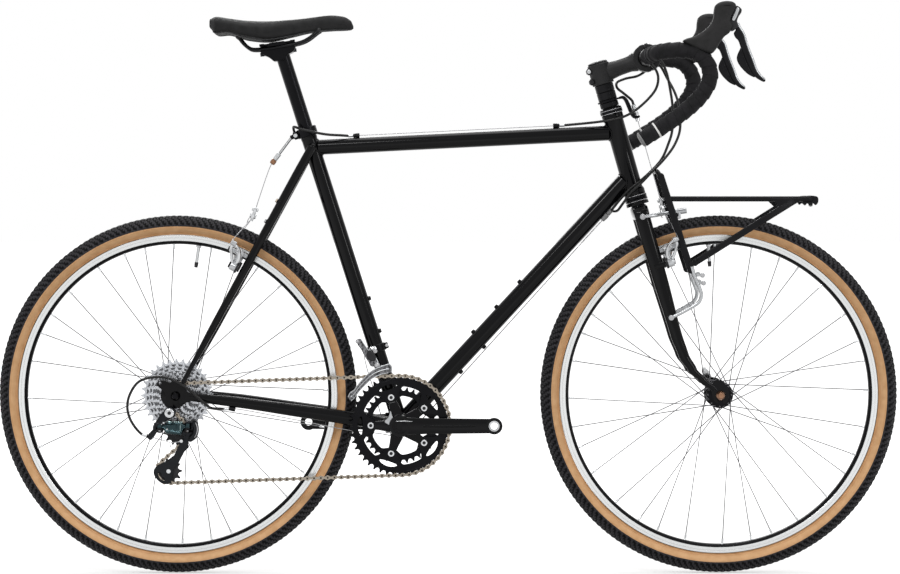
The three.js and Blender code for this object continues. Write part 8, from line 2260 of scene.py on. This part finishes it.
def rear_brake_cable():
    s = Shape()
    rear, front = (TOP_REAR + TOP_ALONG * along + TOP_OVER * TOP_STOP_RISE for along in TOP_STOPS)
    front, rear = front + TOP_ALONG * 6.3, rear - TOP_ALONG * 6.3
    housing(s, REAR_BRAKE_FRONT + [front + TOP_ALONG * 7, front], (0, 1))
    wire(s, [front, mix(front, rear, 0.5), rear])
    end, stop, along = STIRRUP_ROOT, STIRRUP_STOP, HANGER_BACK
    housing(
        s, [rear, rear - TOP_ALONG * 7] + REAR_BRAKE_REAR + [end - along * 8.4, end, stop - along * 4], (1, 0)
    )
    hollow_rod(s, stop - along * 14, stop - along * 4, 3.3, 1.2, 24, 1)
    yoke = REAR_AXLE + Vector((141, 0, 334))
    below = stop + along * 7
    wire(s, [stop, below, yoke])
    tips = [arm_tip(side, rear_foot(side), SEATSTAY_BACK, -SEATSTAY_ALONG) for side in (RIGHT, LEFT)]
    straddle(s, yoke, (below - yoke).normalized(), tips)
    cable = dress("rear_brake_cable", s, None, ["housing", "silver", "wire"], "cable_housing")
    bend_with_steering(cable)


def front_brake_cable():
    s = Shape()
    bottom = on_steer(HANGER_REACH, 0, 546.5)
    top = bottom + STEER_UP * 20
    housing(s, FRONT_BRAKE + [top + STEER_UP * 7, top - STEER_UP * 2], (0, 0))
    hollow_rod(s, bottom + STEER_UP * 2, top, 3.7, 1.2, 28, 1)
    for k in range(6):
        low = 10 + k * 1.5
        hollow_rod(s, bottom + STEER_UP * low, bottom + STEER_UP * (low + 1.1), 4.2, 3.4, 20, 1, 0.2)
    yoke = on_steer(HANGER_REACH, 0, 367)
    wire(s, [top, mix(top, yoke, 0.5), yoke])
    tips = [arm_tip(side, front_foot(side), STEER_FORWARD, STEER_UP) for side in (RIGHT, LEFT)]
    straddle(s, yoke, STEER_UP, tips)
    dress("front_brake_cable", s, "steering", ["housing", "silver", "wire"], "cable_housing")


def shift_cable(name, side, first, second):
    s = Shape()
    along, aside = DOWN_ALONG, SIDE * side * DOWN_STOP_SPREAD
    face = BRACKET + along * (DOWN_STOP_PLACE + 7.3) - DOWN_OVER * DOWN_STOP_DROP + aside
    housing(s, first + [face + along * 8, face], (0, 0))
    # The adjuster in front of the stop
    for k in range(6):
        low = 1 + k * 1.9
        hollow_rod(s, face + along * low, face + along * (low + 1.4), 4.2, 2.5, 20, 3, 0.3)
    hollow_rod(s, face + along * 0.6, face + along * 13, 3.6, 2.4, 20, 3)
    meets = Vector(second[0])
    wire(s, [face, mix(face, meets, 0.5), meets])
    if side == RIGHT:
        # The last housing, its bare end below the barrel and the anchor bolt
        wire(s, second + [STAY_STOP + FORWARD * 7, STAY_STOP])
        start, final = STAY_STOP - FORWARD * 6.4, BARREL - CABLE_AIM * 6.8
        housing(s, [start, start - FORWARD * 7] + REAR_SHIFT_REAR + [final - CABLE_AIM * 7, final])
        wire(s, [BARREL + CABLE_AIM * 6, BARREL + CABLE_AIM * 22, (-512, -86, 250), (-496, -86.5, 253)])
        rod(s, (-496, -88, 253), (-496, -84.5, 253), 3.2, look=1)
    else:
        wire(s, second)
    cable = dress(name, s, None, ["housing", "silver", "wire", "grey"], "cable_housing")
    bend_with_steering(cable)


# The studio


def ray_gate(tree):
    """1 for rays from the camera, from mirror-like surfaces and through glass; 0 for soft light."""
    path = tree.nodes.new("ShaderNodeLightPath")
    total = None
    for name in ("Is Camera Ray", "Is Glossy Ray", "Is Transmission Ray"):
        if total is None:
            total = path.outputs[name]
            continue
        add = tree.nodes.new("ShaderNodeMath")
        add.operation, add.use_clamp = "ADD", True
        tree.links.new(total, add.inputs[0])
        tree.links.new(path.outputs[name], add.inputs[1])
        total = add.outputs[0]
    return total


WHITE = (1, 1, 1, 1)
LAMPS = (
    ("key", (-1.6, -3.2, 3.6), (0, 0, 0.5), 2.8, 0.5, 80),
    ("fill", (3.0, -2.6, 2.4), (0.2, 0, 0.5), 0.5, 1.8, 32),
    ("top", (0.2, 0.6, 4.2), (0, 0, 0.4), 2.4, 2.4, 75), ("rim", (-0.6, 3.4, 2.6), (0, 0, 0.6), 2.4, 0.7, 38)
)


def white_world():
    """Soft white light, and plain white behind the bicycle."""
    world = bpy.data.worlds.new("studio")
    world.use_nodes = True
    tree = world.node_tree
    tree.nodes.clear()
    blend, out = tree.nodes.new("ShaderNodeMixShader"), tree.nodes.new("ShaderNodeOutputWorld")
    tree.links.new(ray_gate(tree), blend.inputs[0])
    for socket, strength in ((1, 0.62), (2, 1)):
        light = tree.nodes.new("ShaderNodeBackground")
        light.inputs[0].default_value, light.inputs[1].default_value = WHITE, strength
        tree.links.new(light.outputs[0], blend.inputs[socket])
    tree.links.new(blend.outputs[0], out.inputs[0])
    return world


def studio_floor():
    """A floor that takes soft shadows and pales to the white of the background away from the bicycle."""
    mesh = bpy.data.meshes.new("floor")
    mesh.from_pydata([(-30, -30, 0), (30, -30, 0), (30, 60, 0), (-30, 60, 0)], [], [(0, 1, 2, 3)])
    look = bpy.data.materials.new("studio floor")
    look.use_nodes = True
    tree = look.node_tree
    shader = tree.nodes["Principled BSDF"]
    shader.inputs["Base Color"].default_value = (0.5, 0.5, 0.5, 1)
    shader.inputs["Roughness"].default_value = 1.0
    shader.inputs["Specular IOR Level"].default_value = 0.0
    place, away = tree.nodes.new("ShaderNodeTexCoord"), tree.nodes.new("ShaderNodeVectorMath")
    away.operation = "LENGTH"
    tree.links.new(place.outputs["Object"], away.inputs[0])
    pale, gated = tree.nodes.new("ShaderNodeMapRange"), tree.nodes.new("ShaderNodeMath")
    for index, value in ((1, 0.9), (2, 2.6), (3, 0.52), (4, 1.0)):
        pale.inputs[index].default_value = value
    gated.operation = "MULTIPLY"
    tree.links.new(away.outputs["Value"], pale.inputs[0])
    tree.links.new(pale.outputs[0], gated.inputs[0])
    tree.links.new(ray_gate(tree), gated.inputs[1])
    shader.inputs["Emission Color"].default_value = WHITE
    tree.links.new(gated.outputs[0], shader.inputs["Emission Strength"])
    mesh.materials.append(look)
    return bpy.data.objects.new("floor", mesh)


def aimed(name, data, place, aim):
    thing = bpy.data.objects.new(name, data)
    thing.location = place
    thing.rotation_euler = (Vector(aim) - Vector(place)).to_track_quat("-Z", "Y").to_euler()
    return thing


def studio():
    scene = bpy.context.scene
    scene.world = white_world()
    staged = [studio_floor()]
    for name, place, aim, wide, tall, power in LAMPS:
        data = bpy.data.lights.new(name, "AREA")
        data.shape, data.size, data.size_y, data.energy = "RECTANGLE", wide, tall, power
        staged.append(aimed(name, data, place, aim))
    data = bpy.data.cameras.new("camera")
    data.lens, data.sensor_width = 147, 36
    scene.camera = aimed("camera", data, (-0.016, -6.9, 0.691), (0.003, 0, 0.537))
    staged.append(scene.camera)
    for thing in staged:
        scene.collection.objects.link(thing)
    scene.view_settings.view_transform = "Standard"


# Assembly

head_tube()
top_tube()
down_tube()
seat_tube()
chainstays()
seatstays()
bottom_bracket()
headset()
fork()
spacers()
stem()
handlebar()
for hand, word in ((RIGHT, "right"), (LEFT, "left")):
    bar_tape(hand, word + "_bar_tape")
    lever_bracket(hand, word + "_lever_bracket")
    lever_pivot(hand, word)
    brake_lever(hand, word)
    shift_paddle(hand, word)
saddle()
saddle_seams()
saddle_rails()
seatpost()
seat_collar()
right_crank()
left_crank()
chainring("outer_chainring", OUTER_TEETH, OUTER_PLANE, True)
chainring("inner_chainring", INNER_TEETH, INNER_PLANE, False)
cassette()
chain()
pulley("guide_pulley", "guide_wheel", GUIDE, 0.1)
pulley("tension_pulley", "tension_wheel", TENSION, 0.3)
rear_derailleur_bracket()
rear_derailleur_link()
rear_derailleur_knuckle()
rear_derailleur_cage()
front_derailleur_clamp()
front_derailleur_cage()
wheel("rear", REAR_AXLE, (-20, 34), (-23, 62), 15)
wheel("front", FRONT_AXLE, (-35, 35), (-44, 44), 11)
axle("rear", REAR_AXLE, 67.5, "frame", 6, "black_alloy")
axle("front", FRONT_AXLE, 50, "steering", 4.2, "copper")
quick_release("rear", REAR_AXLE + SIDE * 92.2, (-0.6, 0, 0.8))
quick_release("front", FRONT_AXLE + SIDE * 74.7, (-0.45, 0, 0.89))
brakes()
rack()
rear_brake_cable()
front_brake_cable()
shift_cable("rear_shift_cable", RIGHT, REAR_SHIFT_FRONT, REAR_SHIFT_WIRE)
shift_cable("front_shift_cable", LEFT, FRONT_SHIFT_FRONT, FRONT_SHIFT_WIRE)
studio()
